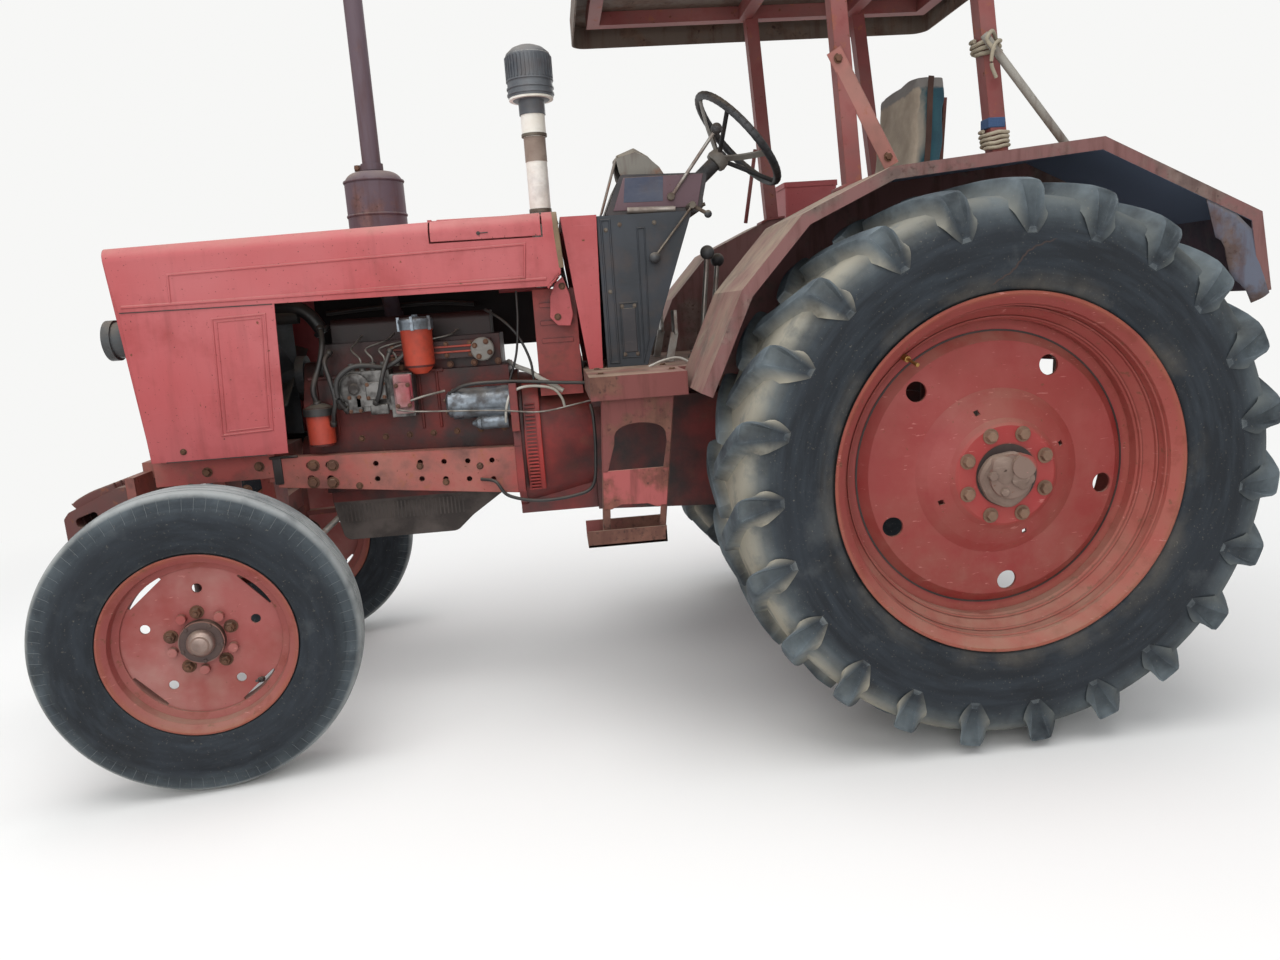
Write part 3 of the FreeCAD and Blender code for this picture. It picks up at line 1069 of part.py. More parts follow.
def seat_back():
    """Back cushion against its uprights, leaning as they do."""
    (x0, z0), (x1, z1) = SEAT_LEAN
    a = atan2(x1 - x0, z1 - z0)
    skin = 6 / cos(a) + RUN_GAP
    low, high = SEAT_Z + 60, SEAT_Z + 640
    side = [(x0 + (z - z0) * tan(a) + skin + depth, z) for z, depth in ((low, 0), (low, 128), (high, 112), (high, 0))]
    return prism(side, "XZ", -225, 225, [10, 30, 40, 20])


def canopy_frame():
    """Four posts on the fenders, joined below the roof by rails and cross bars."""
    guard = prism(FENDER_PATH, "XZ", -FENDER_OUT, FENDER_OUT)
    w = POST_W
    parts = []
    low = REAR_AXLE_Z + REAR_TYRE_R
    for foot, head in POSTS_X:
        for s in (1, -1):
            y = s * POST_Y
            lean = (head - foot) * (low - ROOF_Z) / (ROOF_Z - low - 90)
            post = bar((head + lean, y, low), (head, y, ROOF_Z - w / 2), w, w)
            parts.append(post.cut(guard))
            pad = prism(ribbon(FENDER_PATH, -8), "XZ", y - 45, y + 45)
            parts.append(pad.common(box(foot - 50, foot + 50, y - 50, y + 50, low - 150, ROOF_Z)))
    for s in (1, -1):
        parts.append(box(ROOF_X[0] + 60, ROOF_X[1] - 60, s * POST_Y - w / 2, s * POST_Y + w / 2, ROOF_Z - w, ROOF_Z))
    for x in (ROOF_X[0] + 60, POSTS_X[1][1], POSTS_X[0][1], ROOF_X[1] - 60 - w):
        parts.append(box(x, x + w, -POST_Y, POST_Y, ROOF_Z - w, ROOF_Z))
    return joined(parts)


def tool_box():
    """Small lidded box that sits on the right fender's top sheet, between the posts' feet."""
    (x0, x1), (y0, y1) = TOOL_BOX_X, TOOL_BOX_Y
    k = LID_LIP
    body = prism([(x0, y0), (x1, y0), (x1, y1), (x0, y1)], "XY", REAR_AXLE_Z + REAR_TYRE_R, TOOL_BOX_Z - 4, 8)
    lid = [(x0 - k, y0 - k), (x1 + k, y0 - k), (x1 + k, y1 + k), (x0 - k, y1 + k)]
    whole = joined([body, prism(lid, "XY", TOOL_BOX_Z - LID_T, TOOL_BOX_Z, 12)])
    return whole.cut(prism(FENDER_PATH, "XZ", -FENDER_OUT, FENDER_OUT))


def canopy_roof():
    """Roof tray with its edge turned down all round."""
    x0, x1 = ROOF_X
    y = ROOF_HALF
    outer = prism([(x0, -y), (x1, -y), (x1, y), (x0, y)], "XY", ROOF_Z - ROOF_LIP, ROOF_Z + ROOF_T, 60)
    y, x0, x1 = y - 6, x0 + 6, x1 - 6
    inner = prism([(x0, -y), (x1, -y), (x1, y), (x0, y)], "XY", ROOF_Z - ROOF_LIP - 5, ROOF_Z, 54)
    return outer.cut(inner)


def exhaust():
    """Muffler and tail pipe above the hood, on an elbow from the manifold."""
    x, y = EXHAUST_X, EXHAUST_Y
    low, joint = HOOD_Z - 170, BLOCK_Z1 + 150
    body = [(0, low), (MUFFLER_R, low), (MUFFLER_R, MUFFLER_TOP), (0, MUFFLER_TOP)]
    muffler = Part.Face(wire(body, "XZ", 0, [0, 30, 45, 0])).revolve(V(0, 0, 0), V(0, 0, 1), 360)
    pipe = rod((x, y, MUFFLER_TOP - 20), (x, y, EXHAUST_TOP), PIPE_R)
    bore = rod((x, y, EXHAUST_TOP - 160), (x, y, EXHAUST_TOP + 5), PIPE_R - 3)
    down = rod((x, y, low + 10), (x, MANIFOLD_Y, joint + 40), 30)
    foot = rod((x, MANIFOLD_Y, joint), (x, MANIFOLD_Y, joint + 60), 34)
    return joined([moved(muffler, x, y), pipe, down, foot]).cut(bore)


def air_intake():
    """Intake pipe through the hood with its cap, and the cleaner's inlet below."""
    x, y = INTAKE_X, INTAKE_Y
    parts = [rod((x, y, HOOD_Z - 230), (x, y, INTAKE_TOP + 5), INTAKE_R),
             rod((x, y, INTAKE_TOP), (x, y, CAP_TOP), CAP_R),
             cone((x, y, CAP_TOP - 1), (x, y, CAP_TOP + 30), CAP_R, 30),
             rod((x, y, INTAKE_TOP - 120), (x, y, INTAKE_TOP), INTAKE_R + 5)]
    return joined(parts)


def controls():
    """Levers and pedals at the operator's place; they have no joints."""
    parts = []
    below = box(0, FLOOR_X2, -FENDER_IN, FENDER_IN, FLOOR_Z - 50, FLOOR_Z)
    for foot, top, r, knob in LEVERS:
        lever = joined([rod(foot, top, r), Part.makeSphere(knob, V(*top))])
        parts.append(lever.cut(below))
    x, z = CONSOLE_FOOT - 116, FLOOR_Z + 95
    for y in PEDAL_Y:
        pad = box(x, x + 10, y - 40, y + 40, z, z + 80)
        arm = bar((x + 6, y, z + 5), (x + 30, y, FLOOR_Z), 16, 26)
        parts.append(joined([pad, arm]).cut(below))
    return Part.makeCompound(parts)


def nodes():
    """Every node's name with its shape, in rear-axle coordinates."""
    table = {
        "front_beam": front_beam(),
        "front_weights": front_weights(),
        "side_rails": both(rail()),
        "engine_block": engine_block(),
        "cylinder_head": cylinder_head(),
        "injection_pump": injection_pump(),
        "fuel_filters": fuel_filters(),
        "starter": starter(),
        "radiator": radiator(),
        "fan": fan(),
        "clutch_housing": clutch_housing(),
        "gearbox": gearbox(),
        "rear_axle": rear_axle(),
        "lift_housing": lift_housing(),
        "hood": hood(),
        "hatch": hatch(),
        "side_panels": side_panels(),
        "grille": grille(),
        "headlamps": headlamps(),
        "cowl": cowl(),
        "bulkhead": bulkhead(),
        "side_cover": side_cover(),
        "dash_console": dash_console(),
        "instrument_box": instrument_box(),
        "steering_column": steering_column(),
        "steering_wheel": steering_wheel(),
        "platform": platform(),
        "fenders": fenders(),
        "steps": steps(),
        "seat_base": seat_base(),
        "seat_cushion": seat_cushion(),
        "seat_back": seat_back(),
        "tool_box": tool_box(),
        "canopy_frame": canopy_frame(),
        "canopy_roof": canopy_roof(),
        "exhaust": exhaust(),
        "air_intake": air_intake(),
        "controls": controls(),
        "front_axle": front_axle(),
        "steering_crank": crank(),
        "tie_rods": tie_rods(),
        "rockshaft": rockshaft(),
        "lower_links": lower_links(),
        "lift_rods": lift_rods(),
    }
    rear_tyre, front_tyre = lugged_tyre(), tyre()
    rear, front, post = rear_wheel(), front_wheel(), knuckle()
    for side, name in ((1, "left"), (-1, "right")):
        table["wheel_rear_" + name] = wheel_side(rear, side, 0, REAR_TRACK / 2, REAR_AXLE_Z)
        table["tyre_rear_" + name] = wheel_side(rear_tyre, side, 0, REAR_TRACK / 2, REAR_AXLE_Z)
        for part, shape in (("wheel_front_", front), ("tyre_front_", front_tyre)):
            placed = wheel_side(shape, side, WHEELBASE, FRONT_TRACK / 2, FRONT_AXLE_Z)
            table[part + name] = steered(placed, side)
        table["knuckle_" + name] = steered(post if side > 0 else mirrored(post), side)
    return table


for name, shape in nodes().items():
    moved(shape, -MID_X).exportStep("parts/" + name + ".step")
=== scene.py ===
# %% [markdown]
# # Dressing a farm tractor
#
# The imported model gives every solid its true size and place. This lesson loads it as a
# fixed frame, keeps the solids whose form is already right, and puts detailed surfaces in
# place of the others. Shapes are worked out with numpy as whole arrays, and finishes are
# built from shader nodes that read Object coordinates, so nothing slides when a wheel turns.

import math

import bpy
import numpy as np
from mathutils import Matrix, Vector


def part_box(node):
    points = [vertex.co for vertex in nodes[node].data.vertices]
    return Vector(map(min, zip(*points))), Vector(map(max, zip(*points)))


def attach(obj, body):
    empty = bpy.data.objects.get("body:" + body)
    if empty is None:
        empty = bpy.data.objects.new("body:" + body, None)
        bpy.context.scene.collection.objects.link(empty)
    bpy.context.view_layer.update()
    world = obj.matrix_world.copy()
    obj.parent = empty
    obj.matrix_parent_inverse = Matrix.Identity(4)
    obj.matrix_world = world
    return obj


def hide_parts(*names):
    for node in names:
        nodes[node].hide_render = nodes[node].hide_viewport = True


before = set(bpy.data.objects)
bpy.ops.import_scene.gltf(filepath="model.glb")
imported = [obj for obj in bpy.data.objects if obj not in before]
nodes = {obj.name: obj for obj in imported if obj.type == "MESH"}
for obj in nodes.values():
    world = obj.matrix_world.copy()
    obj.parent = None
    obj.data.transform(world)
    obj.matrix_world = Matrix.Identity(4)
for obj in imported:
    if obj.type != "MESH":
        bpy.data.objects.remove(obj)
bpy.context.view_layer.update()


# %% [markdown]
# Every place below is written from the rear axle, the way a workshop drawing would be:
# x forwards from the axle, y to the driver's left, z up from the ground. The rear tyre's box
# tells how far the axle lies from the frame's origin, so one function moves a point over.

# %% Places measured from the rear axle
AXLE_X = float(sum(corner.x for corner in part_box("tyre_rear_left"))) / 2
REAR_TYRE_R, REAR_PLANE = 0.810, 0.830
FRONT_TYRE_R, WHEELBASE, KINGPIN_Y, FRONT_OFFSET = 0.460, 2.370, 0.520, 0.150
STEER = math.radians(8.5)


def at(x, y, z):
    """A point given from the rear axle, in the frame's metres."""
    return np.array([x + AXLE_X, y, z])


print("rear axle at x =", round(AXLE_X, 4))

# %% [markdown]
# The photo was taken close to the tractor with a wide lens, so the perspective is strong and
# the place of the camera matters more than its lens. It stood 3.4 m left of the middle line,
# a little ahead of the rear wheel, at head height, looking slightly down. A camera in Blender
# looks along its own -Z, so the columns of its matrix are right, up and backwards.

# %% Camera at the photo's place
SENSOR, FOCAL_PX, FRAME_PX = 36.0, 916.0, 1280.0
CAMERA_AT, YAW, PITCH, ROLL = (1.238, 3.405, 1.337), 0.084, -0.184, -0.069


def camera_axes(yaw, pitch, roll):
    """Rows right, up and forward: the sideways view turned by yaw, then pitch, then roll."""
    base = np.array([[-1.0, 0, 0], [0, 0, 1.0], [0, -1.0, 0]])
    cy, sy, cp, sp, cr, sr = (f(a) for a in (yaw, pitch, roll) for f in (math.cos, math.sin))
    turn_yaw = np.array([[cy, 0, -sy], [0, 1, 0], [sy, 0, cy]])
    turn_pitch = np.array([[1, 0, 0], [0, cp, -sp], [0, sp, cp]])
    turn_roll = np.array([[cr, sr, 0], [-sr, cr, 0], [0, 0, 1]])
    return turn_roll @ turn_pitch @ turn_yaw @ base


camera_data = bpy.data.cameras.new("photo_camera")
camera_data.sensor_width = SENSOR
camera_data.lens = FOCAL_PX * SENSOR / FRAME_PX
camera_data.clip_end = 100
camera = bpy.data.objects.new("photo_camera", camera_data)
bpy.context.scene.collection.objects.link(camera)
right, up, forward = camera_axes(YAW, PITCH, ROLL)
pose = np.eye(4)
pose[:3, 0], pose[:3, 1], pose[:3, 2], pose[:3, 3] = right, up, -forward, at(*CAMERA_AT)
camera.matrix_world = Matrix(pose.tolist())
bpy.context.scene.camera = camera
print("lens", round(camera_data.lens, 1), "mm")

# %% [markdown]
# The light is that of a plain studio. A pale world fills every side, one big soft lamp
# stands for the sky above, and a weaker one lights the side that the camera sees. The floor
# is pale and plain near the tractor and fades into a pale glow farther out; the world looks
# white to the camera only, through Light Path, so the background doesn't need more light on
# the tractor.

# %% World, lamps and floor
scene = bpy.context.scene
scene.view_settings.view_transform = "Standard"
world = bpy.data.worlds.new("studio")
scene.world = world
world.use_nodes = True
sky = world.node_tree
sky.nodes.clear()
fill_light = sky.nodes.new("ShaderNodeBackground")
fill_light.inputs["Color"].default_value = (0.93, 0.96, 1.0, 1)
fill_light.inputs["Strength"].default_value = 0.62
seen = sky.nodes.new("ShaderNodeBackground")
seen.inputs["Color"].default_value = (0.93, 0.93, 0.92, 1)
rays = sky.nodes.new("ShaderNodeLightPath")
pick = sky.nodes.new("ShaderNodeMixShader")
world_out = sky.nodes.new("ShaderNodeOutputWorld")
shown = [sky.nodes.new("ShaderNodeMath") for _ in range(2)]
for step, kind in zip(shown, ("Is Glossy Ray", "Is Transmission Ray")):
    step.operation = "MAXIMUM"
    sky.links.new(rays.outputs[kind], step.inputs[1])
sky.links.new(rays.outputs["Is Camera Ray"], shown[0].inputs[0])
sky.links.new(shown[0].outputs[0], shown[1].inputs[0])
sky.links.new(shown[1].outputs[0], pick.inputs[0])
sky.links.new(fill_light.outputs[0], pick.inputs[1])
sky.links.new(seen.outputs[0], pick.inputs[2])
sky.links.new(pick.outputs[0], world_out.inputs[0])


def soft_lamp(name, place, target, size, watts):
    """A square area lamp of the given size at place, aimed at target."""
    data = bpy.data.lights.new(name, "AREA")
    data.shape, data.size, data.energy = "SQUARE", size, watts
    lamp = bpy.data.objects.new(name, data)
    scene.collection.objects.link(lamp)
    lamp.location = Vector(place)
    lamp.rotation_euler = (Vector(target) - lamp.location).to_track_quat("-Z", "Y").to_euler()
    return lamp


soft_lamp("sky_lamp", (0.6, 1.5, 6.5), (0, 0, 0.8), 6.0, 330)
soft_lamp("side_lamp", (1.5, 6.5, 3.0), (0, 0, 0.9), 4.0, 130)
soft_lamp("far_lamp", (-2.5, -6.0, 4.0), (0, 0, 0.9), 4.0, 120)

floor_mesh = bpy.data.meshes.new("floor")
FLOOR = 30.0
floor_mesh.from_pydata([(x * FLOOR, y * FLOOR, -0.001) for x, y in ((-1, -1), (1, -1), (1, 1), (-1, 1))],
                       [], [(0, 1, 2, 3)])
floor = bpy.data.objects.new("floor", floor_mesh)
scene.collection.objects.link(floor)
floor_paint = bpy.data.materials.new("pale_floor")
floor_paint.use_nodes = True
ground = floor_paint.node_tree
matt = ground.nodes["Principled BSDF"]
matt.inputs["Base Color"].default_value = (0.84, 0.83, 0.81, 1)
matt.inputs["Roughness"].default_value = 0.9
pale = ground.nodes.new("ShaderNodeEmission")
pale.inputs["Color"].default_value = (0.93, 0.93, 0.92, 1)
place = ground.nodes.new("ShaderNodeTexCoord")
away = ground.nodes.new("ShaderNodeVectorMath")
away.operation = "LENGTH"
fade = ground.nodes.new("ShaderNodeMapRange")
fade.inputs["From Min"].default_value, fade.inputs["From Max"].default_value = 2.6, 5.5
fade.interpolation_type = "SMOOTHSTEP"
blend = ground.nodes.new("ShaderNodeMixShader")
ground.links.new(place.outputs["Object"], away.inputs[0])
ground.links.new(away.outputs["Value"], fade.inputs["Value"])
ground.links.new(fade.outputs["Result"], blend.inputs[0])
ground.links.new(matt.outputs[0], blend.inputs[1])
ground.links.new(pale.outputs[0], blend.inputs[2])
ground.links.new(blend.outputs[0], ground.nodes["Material Output"].inputs["Surface"])
floor_mesh.materials.append(floor_paint)
# %% [markdown]
# # Finishes
#
# A finish is built up as paint and dirt are on the real machine. There is a base colour with
# slow changes from sun and age, then layers on top of it: rust where the paint has gone, oil
# and grime low down and in corners, dust on what faces up. Each layer is a mask from 0 to 1
# with its own colour and roughness, and the same mask raises or lowers the bump a little.

# %% Small helpers for shader nodes
class Finish:
    """A material under construction: colour, roughness, metal and height, layer upon layer."""

    def __init__(self, name, colour, rough=0.6, metal=0.0):
        self.material = bpy.data.materials.new(name)
        self.material.use_nodes = True
        self.tree = self.material.node_tree
        self.shader = self.tree.nodes["Principled BSDF"]
        coords = self.tree.nodes.new("ShaderNodeTexCoord")
        self.place, self.facing = coords.outputs["Object"], coords.outputs["Normal"]
        self.colour, self.rough, self.metal, self.height = colour, rough, metal, None

    def node(self, kind, inputs=None, **settings):
        """A shader node of that kind, with its inputs set or linked and its settings given."""
        made = self.tree.nodes.new("ShaderNode" + kind)
        for key, value in settings.items():
            setattr(made, key, value)
        for key, value in (inputs or {}).items():
            if isinstance(value, bpy.types.NodeSocket):
                self.tree.links.new(value, made.inputs[key])
            elif value is not None:
                made.inputs[key].default_value = value
        return made

    def moved(self, scale=(1, 1, 1), turn=(0, 0, 0), centre=(0, 0, 0)):
        """Object coordinates, stretched and turned about a centre given in the frame."""
        shift = self.node("VectorMath", {0: self.place, 1: tuple(centre)}, operation="SUBTRACT")
        return self.node("Mapping", {"Vector": shift.outputs[0], "Scale": scale, "Rotation": turn}).outputs[0]

    def noise(self, scale, low=0.0, high=1.0, detail=5.0, rough=0.6, stretch=None, twist=0.0):
        """Noise of about `scale` lumps per metre, cut so that low becomes 0 and high becomes 1."""
        where = self.place if stretch is None else self.moved(scale=stretch)
        lumps = self.node("TexNoise", {"Vector": where, "Scale": scale, "Detail": detail,
                                       "Roughness": rough, "Distortion": twist})
        return self.cut(lumps.outputs["Fac"], low, high)

    def cut(self, value, low, high, to_low=0.0, to_high=1.0):
        """value mapped so that low gives to_low and high gives to_high, and held there beyond."""
        return self.node("MapRange", {"Value": value, "From Min": low, "From Max": high,
                                      "To Min": to_low, "To Max": to_high}).outputs["Result"]

    def calc(self, operation, a, b=None):
        """One number from one or two others."""
        made = self.node("Math", {0: a}, operation=operation)
        if b is not None and isinstance(b, bpy.types.NodeSocket):
            self.tree.links.new(b, made.inputs[1])
        elif b is not None:
            made.inputs[1].default_value = b
        return made.outputs[0]

    def both(self, *masks):
        """The product of several masks."""
        out = masks[0]
        for mask in masks[1:]:
            out = self.calc("MULTIPLY", out, mask)
        return out

    def either(self, *masks):
        """The largest of several masks."""
        out = masks[0]
        for mask in masks[1:]:
            out = self.calc("MAXIMUM", out, mask)
        return out

    def axis(self, which, of=None):
        """One coordinate: 0, 1 or 2 for x, y or z."""
        return self.node("SeparateXYZ", {0: of or self.place}).outputs[which]

    def upward(self, low=0.25, high=0.9):
        """1 on what faces the sky, 0 on walls and undersides."""
        return self.cut(self.axis(2, self.facing), low, high)

    def radius(self, centre, axis_turn):
        """Distance from a wheel's axis, in metres: the axis is turned onto Y first."""
        local = self.moved(turn=(0, 0, -axis_turn), centre=centre)
        flat = self.node("VectorMath", {0: local, 1: (1, 0, 1)}, operation="MULTIPLY").outputs[0]
        return self.node("VectorMath", {0: flat}, operation="LENGTH").outputs["Value"]

    def edges(self, reach=0.004, low=0.06, high=0.35):
        """1 close to sharp edges, where paint rubs off: a rounded normal differs from the flat one."""
        rounded = self.node("Bevel", {"Radius": reach}, samples=3)
        flat = self.node("NewGeometry")
        same = self.node("VectorMath", {0: rounded.outputs[0], 1: flat.outputs["Normal"]},
                         operation="DOT_PRODUCT")
        return self.cut(same.outputs["Value"], 1 - low, 1 - high)

    def mix(self, mask, a, b):
        """Number a where the mask is 0 and number b where it is 1."""
        return self.node("Mix", {"Factor": mask, "A": a, "B": b}, data_type="FLOAT").outputs[0]

    def tint(self, mask, a, b):
        """Colour a where the mask is 0 and colour b where it is 1."""
        return self.node("MixRGB", {"Fac": mask, "Color1": self.rgb(a), "Color2": self.rgb(b)}).outputs["Color"]

    @staticmethod
    def rgb(value):
        return (*value, 1.0) if isinstance(value, tuple) and len(value) == 3 else value

    def vary(self, mask, colour):
        """A second tone of the same coat, with no change of height."""
        self.colour = self.tint(mask, self.colour, colour)
        return self

    def layer(self, mask, colour=None, rough=None, metal=None, height=0.0):
        """A layer over what is there: its colour, gloss and metal, and its step in height."""
        if colour is not None:
            self.colour = self.tint(mask, self.colour, colour)
        if rough is not None:
            self.rough = self.mix(mask, self.rough, rough)
        if metal is not None:
            self.metal = self.mix(mask, self.metal, metal)
        if height:
            self.emboss(mask, height)
        return self

    def emboss(self, mask, height):
        """Adds mask times height, in metres, to the surface's relief."""
        step = self.calc("MULTIPLY", mask, height)
        self.height = step if self.height is None else self.calc("ADD", self.height, step)
        return self

    def done(self, bump=1.0, bevel=0.0):
        """Links everything to the shader and returns the material."""
        for key, value in (("Base Color", self.colour), ("Roughness", self.rough), ("Metallic", self.metal)):
            if isinstance(value, bpy.types.NodeSocket):
                self.tree.links.new(value, self.shader.inputs[key])
            else:
                self.shader.inputs[key].default_value = self.rgb(value)
        normal = self.node("Bevel", {"Radius": bevel}, samples=3).outputs[0] if bevel else None
        if self.height is not None:
            relief = self.node("Bump", {"Height": self.height, "Strength": bump, "Distance": 1.0,
                                        "Normal": normal})
            normal = relief.outputs[0]
        if normal is not None:
            self.tree.links.new(normal, self.shader.inputs["Normal"])
        return self.material


print("finish helpers ready")

# %% [markdown]
# Colours are easiest to pick as they look on a screen, from 0 to 255, but shaders mix light,
# which is linear. `tone` turns the first into the second with the usual sRGB curve.

# %% Colours
def tone(red, green, blue):
    """A screen colour from 0 to 255 as linear light: c/12.92 low down, ((c+0.055)/1.055)^2.4 above."""
    parts = [value / 255 for value in (red, green, blue)]
    return tuple(c / 12.92 if c <= 0.04045 else ((c + 0.055) / 1.055) ** 2.4 for c in parts)


DUST = tone(158, 143, 122)
RUST = tone(104, 62, 42)
RUST_LIGHT = tone(148, 90, 58)
# The dark of oil grime, which also paints shade into the corners of castings.
GRIME_AND_SHADE = tone(26, 19, 18)
print("dust", [round(c, 3) for c in DUST])

# %% [markdown]
# The hood and its panels were painted a strong red once. Years of sun have turned it pinkish
# and chalky, more so on top, where dust lies. Fine scratches run along the sheet, paint has
# chipped at the edges down to brown steel, and dark runs come from the seams.

# %% Sun-faded red sheet
def faded_paint(name, base, pale, deep, dust=0.5, grime=0.3, worn=0.45):
    """Sheet paint: slow fading, sponge-like chalk, scratches, chipped edges, dust and dark runs."""
    coat = Finish(name, base, rough=0.52)
    coat.vary(coat.noise(1.6, 0.35, 0.75, detail=3), pale)
    coat.vary(coat.noise(5.0, 0.52, 0.80, detail=6), deep)
    coat.layer(coat.both(coat.upward(0.3, 0.95), 0.65), pale, rough=0.7)
    scratches = coat.noise(26, 0.60, 0.72, detail=3, stretch=(0.35, 2.0, 5.0), twist=0.4)
    coat.layer(coat.both(scratches, coat.noise(3.0, 0.45, 0.7), 0.45), pale, rough=0.65, height=-0.00012)
    runs = coat.both(coat.noise(7, 0.50, 0.74, detail=4, stretch=(4.0, 4.0, 0.35)), coat.noise(2.5, 0.4, 0.6), grime)
    coat.layer(runs, tone(92, 42, 36), rough=0.75)
    chips = coat.either(coat.noise(38, 0.70, 0.74, detail=4), coat.both(coat.edges(), worn, coat.noise(30, 0.38, 0.6)))
    coat.layer(chips, RUST, rough=0.85, height=-0.0003)
    specks = coat.noise(130, 0.70, 0.74, detail=2)
    coat.layer(specks, tone(70, 36, 30), rough=0.8)
    coat.layer(coat.both(coat.upward(0.2, 0.9), coat.noise(9, 0.25, 0.8), dust), DUST, rough=0.9)
    coat.emboss(coat.noise(2.2, detail=2), 0.0022)
    coat.emboss(coat.noise(60, detail=3), 0.0001)
    return coat


HOOD_RED = faded_paint("faded_red", tone(168, 66, 68), tone(176, 94, 96), tone(146, 50, 50)).done(bevel=0.003)

# %% [markdown]
# The castings are another matter. Red enamel was sprayed over rough iron, and hot oil, dust
# and fuel have built a dark skin on it, thickest low down and in corners. Where someone wiped
# or scraped, the red shows again. Corners are darkened through the Ambient Occlusion node,
# which finds where few directions see the sky: that darkening is oil skin and painted shade.

# %% Oily castings
def oily_casting(name, base, deep, oil=0.6, dust=0.35, spots=0.6, corners=0.9):
    """Painted iron under oil: lumpy relief, red patches, a dark oil skin in patches and painted shade in corners."""
    coat = Finish(name, base, rough=0.55)
    coat.vary(coat.noise(4.0, 0.35, 0.7), deep)
    coat.layer(coat.both(coat.noise(12, 0.55, 0.72, detail=6), spots), tone(110, 62, 48), rough=0.8)
    # Painted shade: an ambient occlusion mask darkens corners, as strongly as `corners` says, in the same dark layer as
    # the oil skin.
    corner = coat.node("AmbientOcclusion", {"Distance": 0.09}, samples=4, only_local=False)
    ao_shade = coat.cut(corner.outputs["AO"], 0.85, 0.35)
    oil_skin_and_shade = coat.either(coat.both(ao_shade, corners), coat.both(coat.noise(5.5, 0.38, 0.62, detail=7), oil))
    coat.layer(oil_skin_and_shade, GRIME_AND_SHADE, rough=0.42, height=0.0006)
    coat.layer(coat.both(coat.noise(45, 0.50, 0.75), coat.noise(6, 0.4, 0.7), 0.6), tone(72, 52, 44), rough=0.8,
               height=0.0004)
    coat.layer(coat.both(coat.upward(0.3, 0.95), coat.noise(14, 0.3, 0.7), dust), DUST, rough=0.95, height=0.0004)
    coat.emboss(coat.noise(90, detail=4), 0.0004)
    return coat


engine_coat = oily_casting("oily_red_casting", tone(116, 34, 27), tone(70, 22, 19), oil=0.9, dust=0.1, spots=0.3,
                           corners=0.45)
# Painted shade: the tops of the engine parts, above about z = 1.30 just under the hood, are darkened nearly black.
over = engine_coat.cut(engine_coat.calc("ADD", engine_coat.axis(2), engine_coat.calc(
    "MULTIPLY", engine_coat.noise(7, detail=5), 0.12)), 1.30, 1.36)
engine_coat.layer(engine_coat.both(over, 0.85), tone(34, 22, 21), rough=0.5)
sump_mask = engine_coat.cut(engine_coat.axis(2), 0.742, 0.738)
engine_coat.layer(sump_mask, tone(84, 76, 72), rough=0.8)
engine_coat.layer(engine_coat.both(sump_mask, engine_coat.noise(7, 0.42, 0.6, detail=6), 0.8), tone(44, 38, 36),
                  rough=0.7)
engine_coat.shader.inputs["Specular IOR Level"].default_value = 0.35
ENGINE_RED = engine_coat.done(bevel=0.004)
CLUTCH_RED = oily_casting("bright_casting", tone(140, 42, 38), tone(96, 28, 26), oil=0.7, dust=0.2).done(bevel=0.004)
GEARBOX_RED = oily_casting("oily_gearbox", tone(116, 36, 32), tone(66, 22, 20), oil=0.9, dust=0.5).done(bevel=0.005)

# %% [markdown]
# The chassis rails, the beam and the steering gear carry thick brush paint, a deeper red
# than the hood's, chipped by stones and stained with grease around every bolt.

# %% Frame paint, maroon posts and rusty sheet
def frame_paint(name, base, pale, stain, rust=0.5, dust=0.4, grime=0.5):
    """Thick brush paint on steel: chalky patches, stone chips, grease stains and dust."""
    coat = Finish(name, base, rough=0.55)
    coat.vary(coat.noise(4.0, 0.40, 0.75, detail=5), pale)
    coat.layer(coat.both(coat.noise(8, 0.45, 0.68, detail=7), grime), stain, rough=0.6)
    chips = coat.either(coat.noise(55, 0.66, 0.70, detail=5), coat.both(coat.edges(0.005), rust))
    coat.layer(chips, RUST, rough=0.88, height=-0.0003)
    coat.layer(coat.both(coat.noise(24, 0.60, 0.70, detail=4), rust), RUST_LIGHT, rough=0.9)
    coat.layer(coat.both(coat.upward(0.2, 0.9), coat.noise(10, 0.25, 0.7), dust), DUST, rough=0.95, height=0.0003)
    coat.emboss(coat.noise(70, detail=4), 0.00025)
    return coat


FRAME_RED = frame_paint("frame_red", tone(148, 62, 56), tone(162, 112, 98), tone(70, 34, 30), grime=0.75).done(bevel=0.003)
AXLE_RED = frame_paint("axle_red", tone(96, 40, 34), tone(120, 66, 54), tone(34, 24, 22), grime=0.9).done(bevel=0.004)
WEIGHT_RED = frame_paint("weight_red", tone(88, 44, 40), tone(100, 70, 64), tone(48, 33, 30), dust=0.35).done(
    bevel=0.006)
MAROON = frame_paint("maroon_post", tone(124, 58, 56), tone(160, 108, 102), tone(84, 38, 38), rust=0.6).done(bevel=0.003)
# Painted light: a lighter copy of the post paint, the colour of a post in full light; the posts use the maroon mid
# tone, and nothing uses this copy.
POST_PINK_LIT = frame_paint("pinkish_post_lit", tone(150, 72, 66), tone(176, 120, 110), tone(92, 40, 36)).done(bevel=0.003)


